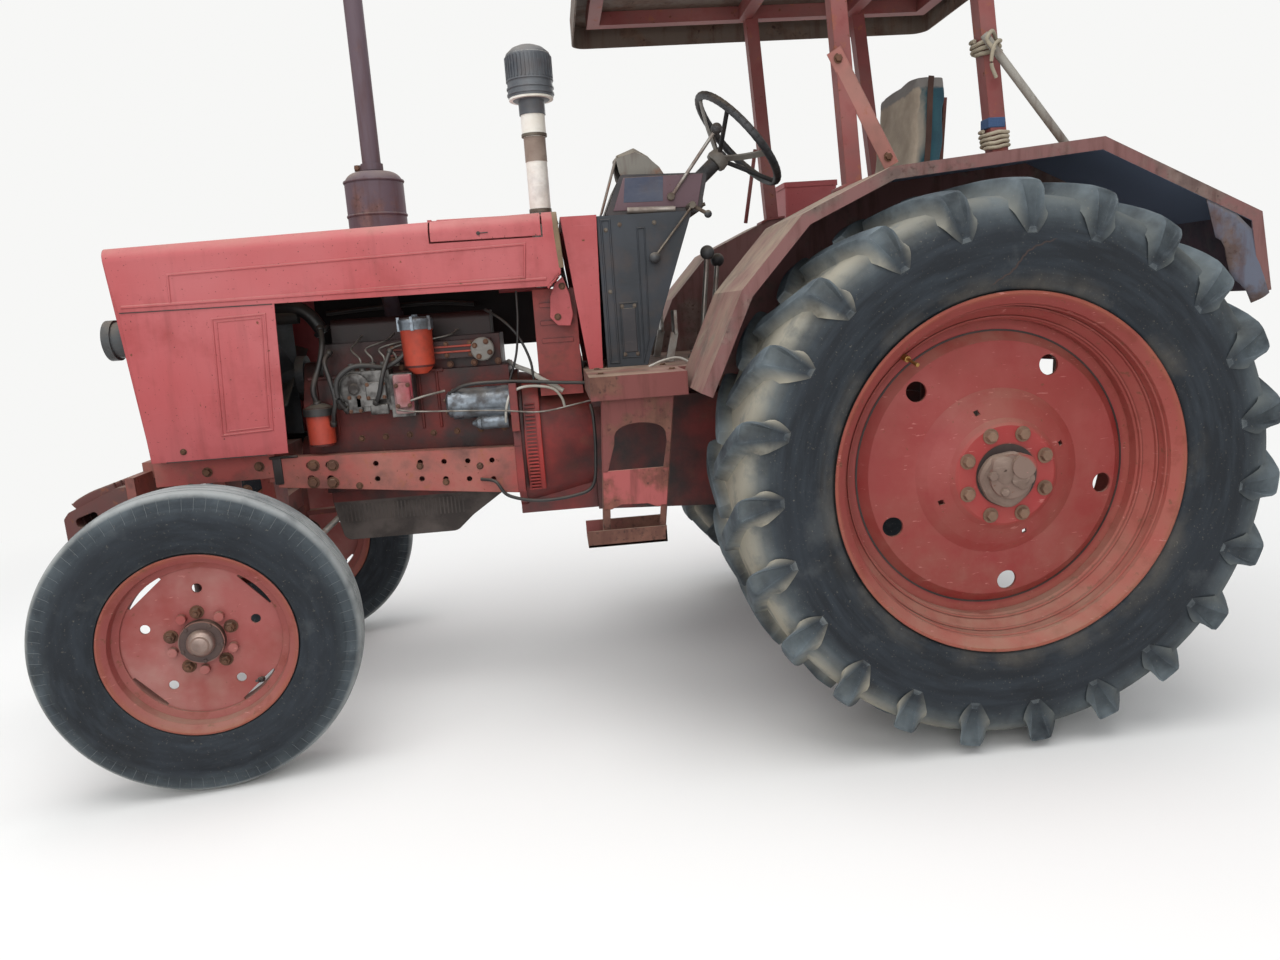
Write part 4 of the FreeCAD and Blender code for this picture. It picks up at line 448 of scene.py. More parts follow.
def rusty_sheet(name, paint, rust=RUST, light=RUST_LIGHT, left=0.5, dust=0.6):
    """Sheet whose paint survives in patches over rust of two tones, with dust on top."""
    coat = Finish(name, rust, rough=0.9)
    coat.vary(coat.noise(16, 0.40, 0.70, detail=6), light)
    coat.vary(coat.noise(60, 0.55, 0.70, detail=4), tone(58, 38, 32))
    patches = coat.both(coat.noise(5, 0.62 - 0.30 * left, 0.68 - 0.26 * left, detail=7))
    coat.layer(patches, paint, rough=0.7, height=0.0003)
    coat.layer(coat.both(coat.noise(9, 0.50, 0.72, stretch=(3, 3, 0.4)), 0.6), tone(72, 40, 32), rough=0.9)
    coat.layer(coat.both(coat.upward(0.15, 0.8), coat.noise(8, 0.25, 0.65), dust), DUST, rough=0.97, height=0.0004)
    coat.emboss(coat.noise(110, detail=4), 0.0003)
    coat.emboss(coat.noise(3, detail=2), 0.003)
    return coat


PLATFORM_RUST = rusty_sheet("rusty_platform", tone(110, 56, 52), rust=tone(92, 60, 50), light=tone(118, 80, 66),
                             left=0.5).done(bevel=0.003)
STEP_RUST = rusty_sheet("rusty_step", tone(158, 78, 76), rust=tone(104, 60, 52), light=tone(132, 82, 68), left=0.6).done(bevel=0.002)
fender_coat = rusty_sheet("rusty_fender", tone(116, 78, 75), rust=tone(94, 76, 71), light=tone(128, 108, 100),
                          left=0.65, dust=0.9)
# Painted light with grime: faces that look downwards get a pale blue grey, road grime together with painted bounce
# light from below.
under = fender_coat.cut(fender_coat.axis(2, fender_coat.facing), -0.10, -0.35)
fender_coat.layer(under, tone(104, 117, 140), rough=0.95)
FENDER_RUST = fender_coat.done(bevel=0.003)
STACK_RUST = rusty_sheet("rusty_stack", tone(84, 68, 76), rust=tone(92, 66, 62), light=tone(116, 88, 84), left=0.85,
                         dust=0.4).done(bevel=0.004)
ROOF_BROWN = rusty_sheet("roof_sheet", tone(98, 86, 76), rust=tone(86, 70, 60), light=tone(114, 92, 78),
                         left=0.7).done(bevel=0.003)

# %% [markdown]
# Metal without paint, plastic and hoses need only a few layers each. Bare steel is metallic
# where it is rubbed and brown where it isn't. Plastic greys in the sun and holds dust.

# %% Bare metal, plastic, rubber hose and chalky white
def worn_metal(name, base, stain, rust=0.5, rough=0.42):
    """Bare metal with stains: bright where rubbed, dull and brown elsewhere."""
    coat = Finish(name, base, rough=rough, metal=0.85)
    coat.vary(coat.noise(18, 0.35, 0.7), tuple(0.6 * c for c in base))
    coat.layer(coat.both(coat.noise(22, 0.45, 0.65, detail=6), rust), stain, rough=0.85, metal=0.1, height=0.0002)
    coat.layer(coat.both(coat.upward(0.3, 0.9), coat.noise(20, 0.35, 0.7), 0.5), DUST, rough=0.9, metal=0.0)
    coat.emboss(coat.noise(150, detail=3), 0.00015)
    return coat


BARE_STEEL = worn_metal("bare_steel", tone(150, 146, 140), RUST).done(bevel=0.001)
BRIGHT_STEEL = worn_metal("bright_steel", tone(124, 132, 140), tone(60, 52, 48), rust=0.75, rough=0.36).done(bevel=0.002)
ALLOY = worn_metal("oily_alloy", tone(112, 110, 108), tone(40, 33, 30), rust=0.95, rough=0.42).done(bevel=0.003)
BOLT_BROWN = worn_metal("rusty_bolt", tone(112, 82, 66), tone(84, 54, 42), rust=0.9, rough=0.6).done(bevel=0.001)


def dull_plastic(name, base, grey, dust=0.5, rough=0.55):
    """Moulded plastic, rubber or enamel: a fine grain, greying patches, scratches and dust."""
    coat = Finish(name, base, rough=rough)
    coat.vary(coat.noise(6, 0.40, 0.75), grey)
    coat.layer(coat.both(coat.noise(34, 0.58, 0.68, stretch=(0.5, 2, 3)), 0.5), grey, rough=0.7)
    coat.layer(coat.both(coat.noise(13, 0.50, 0.72, detail=6), 0.35), tone(88, 72, 62), rough=0.9)
    coat.layer(coat.both(coat.upward(0.15, 0.85), coat.noise(9, 0.3, 0.7), dust), DUST, rough=0.95)
    coat.emboss(coat.noise(220, detail=2), 0.00008)
    coat.emboss(coat.noise(5, detail=2), 0.0012)
    return coat


CONSOLE_BLUE = dull_plastic("dark_blue_console", tone(30, 35, 41), tone(48, 53, 61), dust=0.3).done(bevel=0.003)
BOX_BLACK = dull_plastic("dusty_black_box", tone(40, 39, 43), tone(74, 66, 66), dust=0.8).done(bevel=0.003)
BLACK_RUBBER = dull_plastic("black_rubber", tone(30, 30, 32), tone(58, 58, 60), dust=0.4, rough=0.65).done()
BLACK_PLASTIC = dull_plastic("black_plastic", tone(34, 35, 38), tone(84, 86, 88), dust=0.6).done(bevel=0.002)
LAMP_BLACK = dull_plastic("lamp_black", tone(36, 38, 40), tone(70, 74, 76), dust=0.5, rough=0.4).done(bevel=0.002)
RADIATOR_BLACK = dull_plastic("radiator_black", tone(24, 23, 22), tone(52, 46, 42), dust=0.4, rough=0.6).done(
    bevel=0.002)
INTAKE_WHITE = dull_plastic("chalky_white", tone(236, 235, 228), tone(218, 212, 198), dust=0.1, rough=0.6).done(
    bevel=0.002)
GREY_CAST = dull_plastic("grey_cast", tone(116, 112, 106), tone(150, 146, 138), dust=0.5).done(bevel=0.002)
print("finishes", len(bpy.data.materials))
# %% [markdown]
# # Solids that keep their own form
#
# Most castings and sheets are right as they are in the imported model. They get a finish by
# name, and detail is added around them later. A finish replaces the materials of the solid's
# mesh; its shape isn't touched.

# %% Finish each imported solid
def dress(finish, *names):
    """Puts one finish on each named solid."""
    for name in names:
        thing = nodes[name]
        thing.data.materials.clear()
        thing.data.materials.append(finish)


def cover_paint(name, split):
    """Hood paint on a right-hand sheet's outer face, and near black inside from y = split inwards: soot and painted
    shade.
    """
    coat = faded_paint(name, tone(170, 76, 76), tone(178, 100, 100), tone(150, 56, 54))
    # Soot and painted shade: the inner face, seen across the open bay, is made near black.
    inside = coat.cut(coat.axis(1), split, split + 0.001)
    coat.layer(inside, tone(20, 18, 18), rough=0.8)
    return coat.done(bevel=0.002)


dress(cover_paint("cover_paint", -0.3145), "side_cover")
dress(oily_casting("bulkhead_red", tone(166, 58, 50), tone(120, 40, 36), oil=0.3, dust=0.25).done(bevel=0.002),
      "bulkhead")
dress(HOOD_RED, "hood", "hatch", "side_panels", "grille", "cowl", "tool_box")
dress(ENGINE_RED, "engine_block", "cylinder_head", "fuel_filters")
dress(CLUTCH_RED, "clutch_housing")
dress(GEARBOX_RED, "gearbox", "rear_axle", "lift_housing")
dress(FRAME_RED, "side_rails", "front_beam", "rockshaft")
dress(AXLE_RED, "front_axle", "knuckle_left", "knuckle_right", "steering_crank")
dress(WEIGHT_RED, "front_weights")
dress(MAROON, "canopy_frame")
dress(PLATFORM_RUST, "platform", "seat_base")
dress(STEP_RUST, "lower_links", "steps")
dress(FENDER_RUST, "fenders")
dress(STACK_RUST, "exhaust")
dress(ROOF_BROWN, "canopy_roof")
dress(ALLOY, "injection_pump")
dress(BRIGHT_STEEL, "starter")
dress(BARE_STEEL, "tie_rods", "lift_rods", "controls")
dress(CONSOLE_BLUE, "dash_console")
dress(BOX_BLACK, "instrument_box")
dress(BLACK_PLASTIC, "steering_column", "fan")
dress(BLACK_RUBBER, "steering_wheel", "tyre_rear_left", "tyre_rear_right", "tyre_front_left", "tyre_front_right")
dress(LAMP_BLACK, "headlamps")
dress(RADIATOR_BLACK, "radiator")
dress(INTAKE_WHITE, "air_intake")
dress(BLACK_RUBBER, "seat_cushion", "seat_back")
dress(FRAME_RED, "wheel_rear_left", "wheel_rear_right", "wheel_front_left", "wheel_front_right")
print("dressed", sum(bool(thing.data.materials) for thing in nodes.values()), "solids")
# %% [markdown]
# # Making surfaces
#
# Each new piece is a grid of points worked out at once with numpy. Two kinds cover nearly
# everything here: a profile turned about an axis, and a section carried along a path. Both
# give a grid whose quads follow from the row and column numbers alone.

# %% Grids, meshes and pieces
def grid_faces(rows, cols, close_rows=False, close_cols=False):
    """Quads (i, j), (i+1, j), (i+1, j+1), (i, j+1) of a grid stored row by row, wrapped where closed."""
    i, j = np.meshgrid(np.arange(rows - (not close_rows)), np.arange(cols - (not close_cols)), indexing="ij")
    a, b = (i + 1) % rows, (j + 1) % cols
    return np.stack([i * cols + j, a * cols + j, a * cols + b, i * cols + b], -1).reshape(-1, 4)


def fan_faces(ring, flip=False):
    """One polygon over a whole ring of point numbers."""
    return [list(ring[::-1] if flip else ring)]


class Shape:
    """Points, faces and an optional value for each point, which can be joined and placed."""

    def __init__(self, points, faces, value=None):
        self.points = np.asarray(points, float).reshape(-1, 3)
        self.faces = [list(map(int, face)) for face in faces]
        self.value = np.zeros(len(self.points)) if value is None else np.broadcast_to(value, len(self.points))

    def moved(self, matrix=None, shift=(0, 0, 0)):
        """points @ matrix^T + shift, with the faces turned round if the matrix mirrors."""
        matrix = np.eye(3) if matrix is None else np.asarray(matrix, float)
        faces = self.faces if np.linalg.det(matrix) > 0 else [face[::-1] for face in self.faces]
        return Shape(self.points @ matrix.T + np.asarray(shift, float), faces, self.value)

    def mirrored(self):
        """The same shape on the other side of the middle plane y = 0."""
        return self.moved(np.diag([1.0, -1.0, 1.0]))


def outwards(shape):
    """The shape with its faces pointing out: six times its volume, summed over fans, is made positive."""
    middle = shape.points.mean(0)
    p = shape.points - middle
    total = 0.0
    for count in {len(face) for face in shape.faces}:
        f = np.array([face for face in shape.faces if len(face) == count])
        for k in range(1, count - 1):
            total += np.einsum("ij,ij->", p[f[:, 0]], np.cross(p[f[:, k]], p[f[:, k + 1]]))
    return shape if total > 0 else Shape(shape.points, [face[::-1] for face in shape.faces], shape.value)


def joined(shapes):
    """Several shapes as one."""
    faces, start = [], 0
    for shape in shapes:
        faces += [[i + start for i in face] for face in shape.faces]
        start += len(shape.points)
    return Shape(np.concatenate([s.points for s in shapes]), faces, np.concatenate([s.value for s in shapes]))


def both_sides(shape):
    """A shape and its mirror image."""
    return joined([shape, shape.mirrored()])


def copies(shape, matrices, shifts):
    """The shape once for each matrix and shift, all points in one product."""
    matrices, shifts = np.asarray(matrices, float).reshape(-1, 3, 3), np.asarray(shifts, float).reshape(-1, 3)
    points = np.einsum("nij,pj->npi", matrices, shape.points) + shifts[:, None]
    count = len(shape.points)
    faces = [[i + n * count for i in face] for n in range(len(shifts)) for face in shape.faces]
    return Shape(points, faces, np.tile(shape.value, len(shifts)))


def piece(name, shape, finish, body, slot=None, smooth=35.0, bevel=0.0, replaces=()):
    """A named object of that shape at the origin, finished, shaded smooth up to an angle, riding a body."""
    mesh = bpy.data.meshes.new(name)
    mesh.from_pydata(shape.points.tolist(), [], shape.faces)
    mesh.attributes.new("tone", "FLOAT", "POINT").data.foreach_set("value", shape.value.astype(np.float32))
    mesh.materials.append(finish)
    mesh.validate()
    made = bpy.data.objects.new(name, mesh)
    bpy.context.scene.collection.objects.link(made)
    if bevel:
        rounding = made.modifiers.new("rounding", "BEVEL")
        rounding.width, rounding.segments, rounding.limit_method = bevel, 2, "ANGLE"
        rounding.angle_limit = math.radians(40)
        rounding.harden_normals = False
    mesh.shade_smooth()
    if smooth < 180:
        mesh.set_sharp_from_angle(angle=math.radians(smooth))
    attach(made, body)
    if replaces:
        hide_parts(*replaces)
    return made


def turned(profile, steps=64, value=None, ripple=None):
    """A closed outline of (y, r) turned about the Y axis: (r sin a, y, -r cos a), a from 0 to 2 pi."""
    profile = np.asarray(profile, float)
    a = np.arange(steps) * 2 * np.pi / steps
    y, r = np.broadcast_arrays(profile[:, 0][None], profile[:, 1][None])
    r = np.repeat(r, steps, 0)
    if ripple is not None:
        r = r + ripple(a[:, None], y)
    points = np.stack([r * np.sin(a)[:, None], np.repeat(y, steps, 0), -r * np.cos(a)[:, None]], -1)
    value = None if value is None else np.tile(np.asarray(value, float), steps)
    return outwards(Shape(points, grid_faces(steps, len(profile), True, True), value))


def rounded_path(points, per_span=8):
    """A smooth path through points: a Catmull-Rom curve, whole spans at once."""
    p = np.asarray(points, float)
    padded = np.concatenate([[2 * p[0] - p[1]], p, [2 * p[-1] - p[-2]]])
    t = np.linspace(0, 1, per_span, endpoint=False)[None, :, None]
    a, b, c, d = (padded[i:len(p) - 1 + i][:, None] for i in range(4))
    curve = 0.5 * (2 * b + (c - a) * t + (2 * a - 5 * b + 4 * c - d) * t ** 2 + (3 * b - a - 3 * c + d) * t ** 3)
    return np.concatenate([curve.reshape(-1, 3), p[-1:]])


def frames(path, up=(0.13, 0.21, 0.97)):
    """Side and upward directions along a path: side = along x up, then upward = side x along."""
    along = np.gradient(path, axis=0)
    along /= np.linalg.norm(along, axis=1, keepdims=True)
    side = np.cross(along, np.asarray(up, float))
    side /= np.linalg.norm(side, axis=1, keepdims=True)
    return along, side, np.cross(side, along)


def swept(section, path, up=(0.13, 0.21, 0.97), scale=None, value=None):
    """A closed section of (u, v) carried along a path: path + u side + v upward, with closed ends."""
    path, section = np.asarray(path, float), np.asarray(section, float)
    _, side, upward = frames(path, up)
    scale = np.ones(len(path)) if scale is None else np.asarray(scale, float)
    u, v = section[:, 0], section[:, 1]
    points = path[:, None] + scale[:, None, None] * (u[None, :, None] * side[:, None] + v[None, :, None] * upward[:, None])
    rows, cols = len(path), len(section)
    quads = grid_faces(rows, cols, False, True)[:, ::-1].tolist()
    ends = fan_faces(range(cols)) + fan_faces(range((rows - 1) * cols, rows * cols), True)
    return outwards(Shape(points, quads + ends, value))


def circle(radius, sides=10):
    """Points (r cos a, r sin a) of a round section."""
    a = np.arange(sides) * 2 * np.pi / sides
    return np.stack([radius * np.cos(a), radius * np.sin(a)], -1)


def rectangle(width, height, round_off=0.0):
    """A rectangular section, its corners cut by round_off."""
    w, h, c = width / 2, height / 2, round_off
    if not c:
        return np.array([(-w, -h), (w, -h), (w, h), (-w, h)])
    return np.array([(-w + c, -h), (w - c, -h), (w, -h + c), (w, h - c), (w - c, h), (-w + c, h), (-w, h - c),
                     (-w, -h + c)])


def hose(points, radius, sides=10, per_span=8, up=(0.13, 0.21, 0.97)):
    """A round tube along a smooth path through points."""
    return swept(circle(radius, sides), rounded_path(points, per_span), up)


def rod(a, b, radius, sides=20):
    """A round bar from a to b, its end edges cut a little."""
    a, b = np.asarray(a, float), np.asarray(b, float)
    length = np.linalg.norm(b - a)
    c = min(0.12 * radius, 0.2 * length)
    stations = np.array([0, c, length - c, length])
    path = a + stations[:, None] * (b - a) / length
    up = (0, 0, 1) if abs((b - a)[2]) < 0.9 * length else (1, 0, 0)
    return swept(circle(radius, sides), path, up, scale=[1 - c / radius, 1, 1, 1 - c / radius])


def block(low, high):
    """A box between two corners, to be rounded by a bevel."""
    low, high = np.minimum(low, high), np.maximum(low, high)
    corner = np.array([(x, y, z) for x in (0, 1) for y in (0, 1) for z in (0, 1)], float)
    faces = [(0, 1, 3, 2), (4, 6, 7, 5), (0, 4, 5, 1), (2, 3, 7, 6), (0, 2, 6, 4), (1, 5, 7, 3)]
    return outwards(Shape(low + corner * (high - low), faces))


def slab(outline, plane, low, high):
    """A flat outline in a plane, thickened from low to high along the third axis."""
    outline = np.asarray(outline, float)
    axes = {"xz": (0, 2, 1), "yz": (1, 2, 0), "xy": (0, 1, 2)}[plane]
    area = 0.5 * np.sum(outline[:, 0] * np.roll(outline[:, 1], -1) - np.roll(outline[:, 0], -1) * outline[:, 1])
    if (area > 0) == (plane == "xz"):
        outline = outline[::-1]
    points = np.zeros((2, len(outline), 3))
    points[..., axes[0]], points[..., axes[1]] = outline[:, 0], outline[:, 1]
    points[0, :, axes[2]], points[1, :, axes[2]] = low, high
    n = len(outline)
    sides = [(i, (i + 1) % n, n + (i + 1) % n, n + i) for i in range(n)]
    return outwards(Shape(points, sides + fan_faces(range(n), True) + fan_faces(range(n, 2 * n))))


def basis(out, up=(0, 0, 1)):
    """A matrix whose columns are across, out and upwards: local Y becomes out."""
    out = np.asarray(out, float) / np.linalg.norm(out)
    up = np.asarray(up, float) if abs(np.dot(out, up)) < 0.95 * np.linalg.norm(up) else np.array([1.0, 0, 0])
    across = np.cross(out, up)
    across /= np.linalg.norm(across)
    return np.stack([across, out, np.cross(across, out)], 1)


def hex_bolt(size, height, washer=True):
    """A hexagon head of that radius standing on y = 0, chamfered on top, with a washer below."""
    rings = [(0.0, 1.0, 6), (0.82 * height, 1.0, 6), (height, 0.86, 6)]
    a = np.arange(6) * np.pi / 3
    points = np.concatenate([np.stack([size * s * np.cos(a), np.full(6, y), size * s * np.sin(a)], -1)
                             for y, s, _ in rings])
    head = outwards(Shape(points, grid_faces(3, 6, False, True)[:, ::-1].tolist() + fan_faces(range(12, 18))
                          + fan_faces(range(6), True)))
    if not washer:
        return head
    disc = turned([(0, 0.3 * size), (0.16 * height, 0.3 * size), (0.16 * height, 1.35 * size), (0, 1.35 * size)], 16)
    return joined([head, disc])


def bolts(places, out, size=0.012, height=0.010, washer=True):
    """Hexagon heads at the given places, all facing out."""
    places = np.asarray(places, float).reshape(-1, 3)
    turn = basis(out)
    return copies(hex_bolt(size, height, washer), np.repeat(turn[None], len(places), 0), places)


print("shape helpers ready")
# %% [markdown]
# # Wheels and tyres
#
# A wheel is made once, about the Y axis with its outside towards +Y, and then placed four
# times: mirrored on the right, so that both rear treads point the same way, and turned by the
# parked steering angle in front. The finishes measure the distance from each wheel's own axis.

# %% Where the four wheels stand
def wheel_frame(end, side):
    """Matrix and centre of a wheel: its axis is Y, mirrored on the right, steered in front."""
    mirror = np.diag([1.0, side, 1.0])
    if end == "rear":
        return mirror, at(0, side * REAR_PLANE, REAR_TYRE_R)
    c, s = math.cos(STEER), math.sin(STEER)
    turn = np.array([[c, -s, 0], [s, c, 0], [0, 0, 1]])
    pin = at(WHEELBASE, side * KINGPIN_Y, FRONT_TYRE_R)
    return turn @ mirror, pin + turn @ np.array([0, side * FRONT_OFFSET, 0])


WHEELS = {(end, side): wheel_frame(end, side) for end in ("rear", "front") for side in (1, -1)}
SIDE_NAME = {1: "left", -1: "right"}


def on_wheels(end, name, shape, finish, slot, replaces=None, **more):
    """The shape on both wheels of an axle, named for its side and riding the wheel's body."""
    made = []
    for side, word in SIDE_NAME.items():
        matrix, centre = WHEELS[end, side]
        paint = finish[side] if isinstance(finish, dict) else finish
        body = "wheel_%s_%s" % (end, word)
        gone = ["%s_%s_%s" % (r, end, word) for r in replaces or ()]
        made.append(piece("%s_%s_%s" % (name, end, word), shape.moved(matrix, centre), paint, body, slot,
                          replaces=gone, **more))
    return made


print("front left wheel at", np.round(WHEELS["front", 1][1], 3))

# %% [markdown]
# A drive tyre's lugs are what the eye knows a tractor by. Each is a bar that starts just past
# the middle of the tread, runs outwards and back at about 35 degrees, and ends in a buttress
# that comes down over the shoulder. As a surface it has two parameters: t runs along the lug
# from its inner to its outer end, and s goes over its section, up one flank, across the worn
# top and down the other flank. Half widths, top and foot radii follow t through a short table.

# %% Rear tyre: carcass
LUG_COUNT = 23
LUG_PITCH = 2 * np.pi / LUG_COUNT
CARCASS = np.array([   # y, r of the outside, from the bead on one side to the middle of the tread
    (0.164, 0.484), (0.172, 0.5085), (0.186, 0.512), (0.193, 0.522), (0.1975, 0.540), (0.2015, 0.551), (0.2030, 0.5535),
    (0.2035, 0.560), (0.2090, 0.590), (0.2140, 0.625), (0.2130, 0.660), (0.2085, 0.692), (0.2005, 0.722),
    (0.1900, 0.744), (0.1700, 0.757), (0.1300, 0.763), (0.0700, 0.766), (0.0, 0.767)])


def carcass_tone(y, r):
    """How dusty the rubber is: 0 on the black sidewall, rising to 1 between the lugs."""
    return np.clip((r - 0.715) / 0.045, 0, 1)


outline = np.concatenate([CARCASS * [-1, 1], CARCASS[-2::-1]])
inner = np.array([(0.10, 0.50), (-0.10, 0.50)])
REAR_OUTLINE = np.concatenate([outline, inner])


rear_carcass = turned(REAR_OUTLINE, 184, carcass_tone(REAR_OUTLINE[:, 0], REAR_OUTLINE[:, 1]))
print("carcass", len(rear_carcass.faces), "faces")

# %% Rear tyre: one lug, then all of them
LUG_TABLE = np.array([   # t, y, lead along the tread, top radius, foot radius, half top, half foot
    (0.00, -0.018, -0.012, 0.8065, 0.757, 0.0170, 0.0330), (0.06, -0.004, -0.003, 0.8093, 0.757, 0.0230, 0.0400),
    (0.25, 0.045, 0.026, 0.8097, 0.757, 0.0240, 0.0420), (0.45, 0.100, 0.061, 0.8085, 0.755, 0.0245, 0.0440),
    (0.62, 0.150, 0.096, 0.8050, 0.748, 0.0270, 0.0480), (0.76, 0.188, 0.126, 0.7985, 0.732, 0.0310, 0.0520),
    (0.83, 0.2050, 0.139, 0.7905, 0.718, 0.0330, 0.0540), (0.88, 0.2135, 0.145, 0.7760, 0.705, 0.0325, 0.0520),
    (0.93, 0.2148, 0.149, 0.7480, 0.690, 0.0280, 0.0450), (0.97, 0.2145, 0.151, 0.7120, 0.672, 0.0200, 0.0330),
    (1.00, 0.2138, 0.152, 0.6720, 0.655, 0.0100, 0.0180)])
SECTION = np.array([   # place across from foot to foot, share of the height, share of half top against half foot
    (-1.0, 0.0, 0.0), (-1.0, 0.16, 0.42), (-1.0, 0.50, 0.76), (-1.0, 0.88, 0.96), (-0.90, 0.985, 1.0),
    (-0.6, 1.0, 1.0), (-0.3, 1.0, 1.0), (0.0, 1.0, 1.0), (0.3, 1.0, 1.0), (0.6, 1.0, 1.0), (0.90, 0.985, 1.0),
    (1.0, 0.88, 0.96), (1.0, 0.50, 0.76), (1.0, 0.16, 0.42), (1.0, 0.0, 0.0)])


def one_lug(wear, start):
    """Grid over (t, s): angle = start + (lead + width)/R, radius between foot and top by the section."""
    t = np.concatenate([np.linspace(0, 0.72, 10), np.linspace(0.76, 1, 13)])
    y, lead, top, foot, half_top, half_foot = (np.interp(t, LUG_TABLE[:, 0], LUG_TABLE[:, k])[:, None]
                                              for k in range(1, 7))
    across, height, blend = SECTION.T
    half = half_foot + (half_top - half_foot) * blend
    ragged = wear * np.sin(9 * t + 40 * start)[:, None] * (height > 0.8)
    top = top - 2 * wear * (1 + np.sin(5 * t + 17 * start)[:, None])
    angle = start + (lead + across * half + 0.5 * ragged) / REAR_TYRE_R
    radius = foot + (top - foot) * height - np.abs(ragged) * 0.3
    scoop = 0.017 * np.sin(np.pi * np.clip((t[:, None] - 0.82) / 0.18, 0, 1)) ** 0.8 * (np.abs(across) < 0.7)
    scoop = scoop * (1 - 0.5 * (across - 0.2) ** 2)
    points = np.stack([radius * np.sin(angle), y - scoop + 0 * angle, -radius * np.cos(angle)], -1)
    rows, cols = points.shape[:2]
    ends = fan_faces(range(cols), True) + fan_faces(range((rows - 1) * cols, rows * cols))
    value = np.maximum((1 - height)[None] ** 1.5, 6 * scoop) * np.clip((1.02 - t[:, None]) / 0.15, 0, 1)
    return outwards(Shape(points, grid_faces(rows, cols).tolist() + ends, value.ravel()))


rng = np.random.default_rng(7)
wears = rng.uniform(0.0005, 0.003, (2, LUG_COUNT))
near_side = joined([one_lug(wears[0, i], i * LUG_PITCH) for i in range(LUG_COUNT)])
far_side = joined([one_lug(wears[1, i], (i + 0.5) * LUG_PITCH) for i in range(LUG_COUNT)]).mirrored()
rear_tyre = joined([rear_carcass, near_side, far_side])
print("rear tyre", len(rear_tyre.faces), "faces,", 2 * LUG_COUNT, "lugs")

# %% [markdown]
# Old tyres are never plain black. Sun turns the lugs a bluish grey, road dust settles between
# them and stays, and the lower sidewall keeps its dark oils. The point attribute `tone` says
# how deep in the tread a point lies, so the dust follows the shape and turns with the wheel.

# %% Tyre rubber
def local_plane(finish, key):
    """Coordinates about a wheel's own axis: x forwards, z up, with the steering turned back."""
    end, side = key
    _, centre = WHEELS[key]
    turn = STEER if end == "front" else 0.0
    return finish.moved(turn=(0, 0, -turn), centre=centre)


def polar(finish, key):
    """Radius from a wheel's axis and angle round it, as two sockets."""
    where = local_plane(finish, key)
    flat = finish.node("VectorMath", {0: where, 1: (1, 0, 1)}, operation="MULTIPLY").outputs[0]
    radius = finish.node("VectorMath", {0: flat}, operation="LENGTH").outputs["Value"]
    return radius, finish.calc("ARCTAN2", finish.axis(0, where), finish.axis(2, where)), where


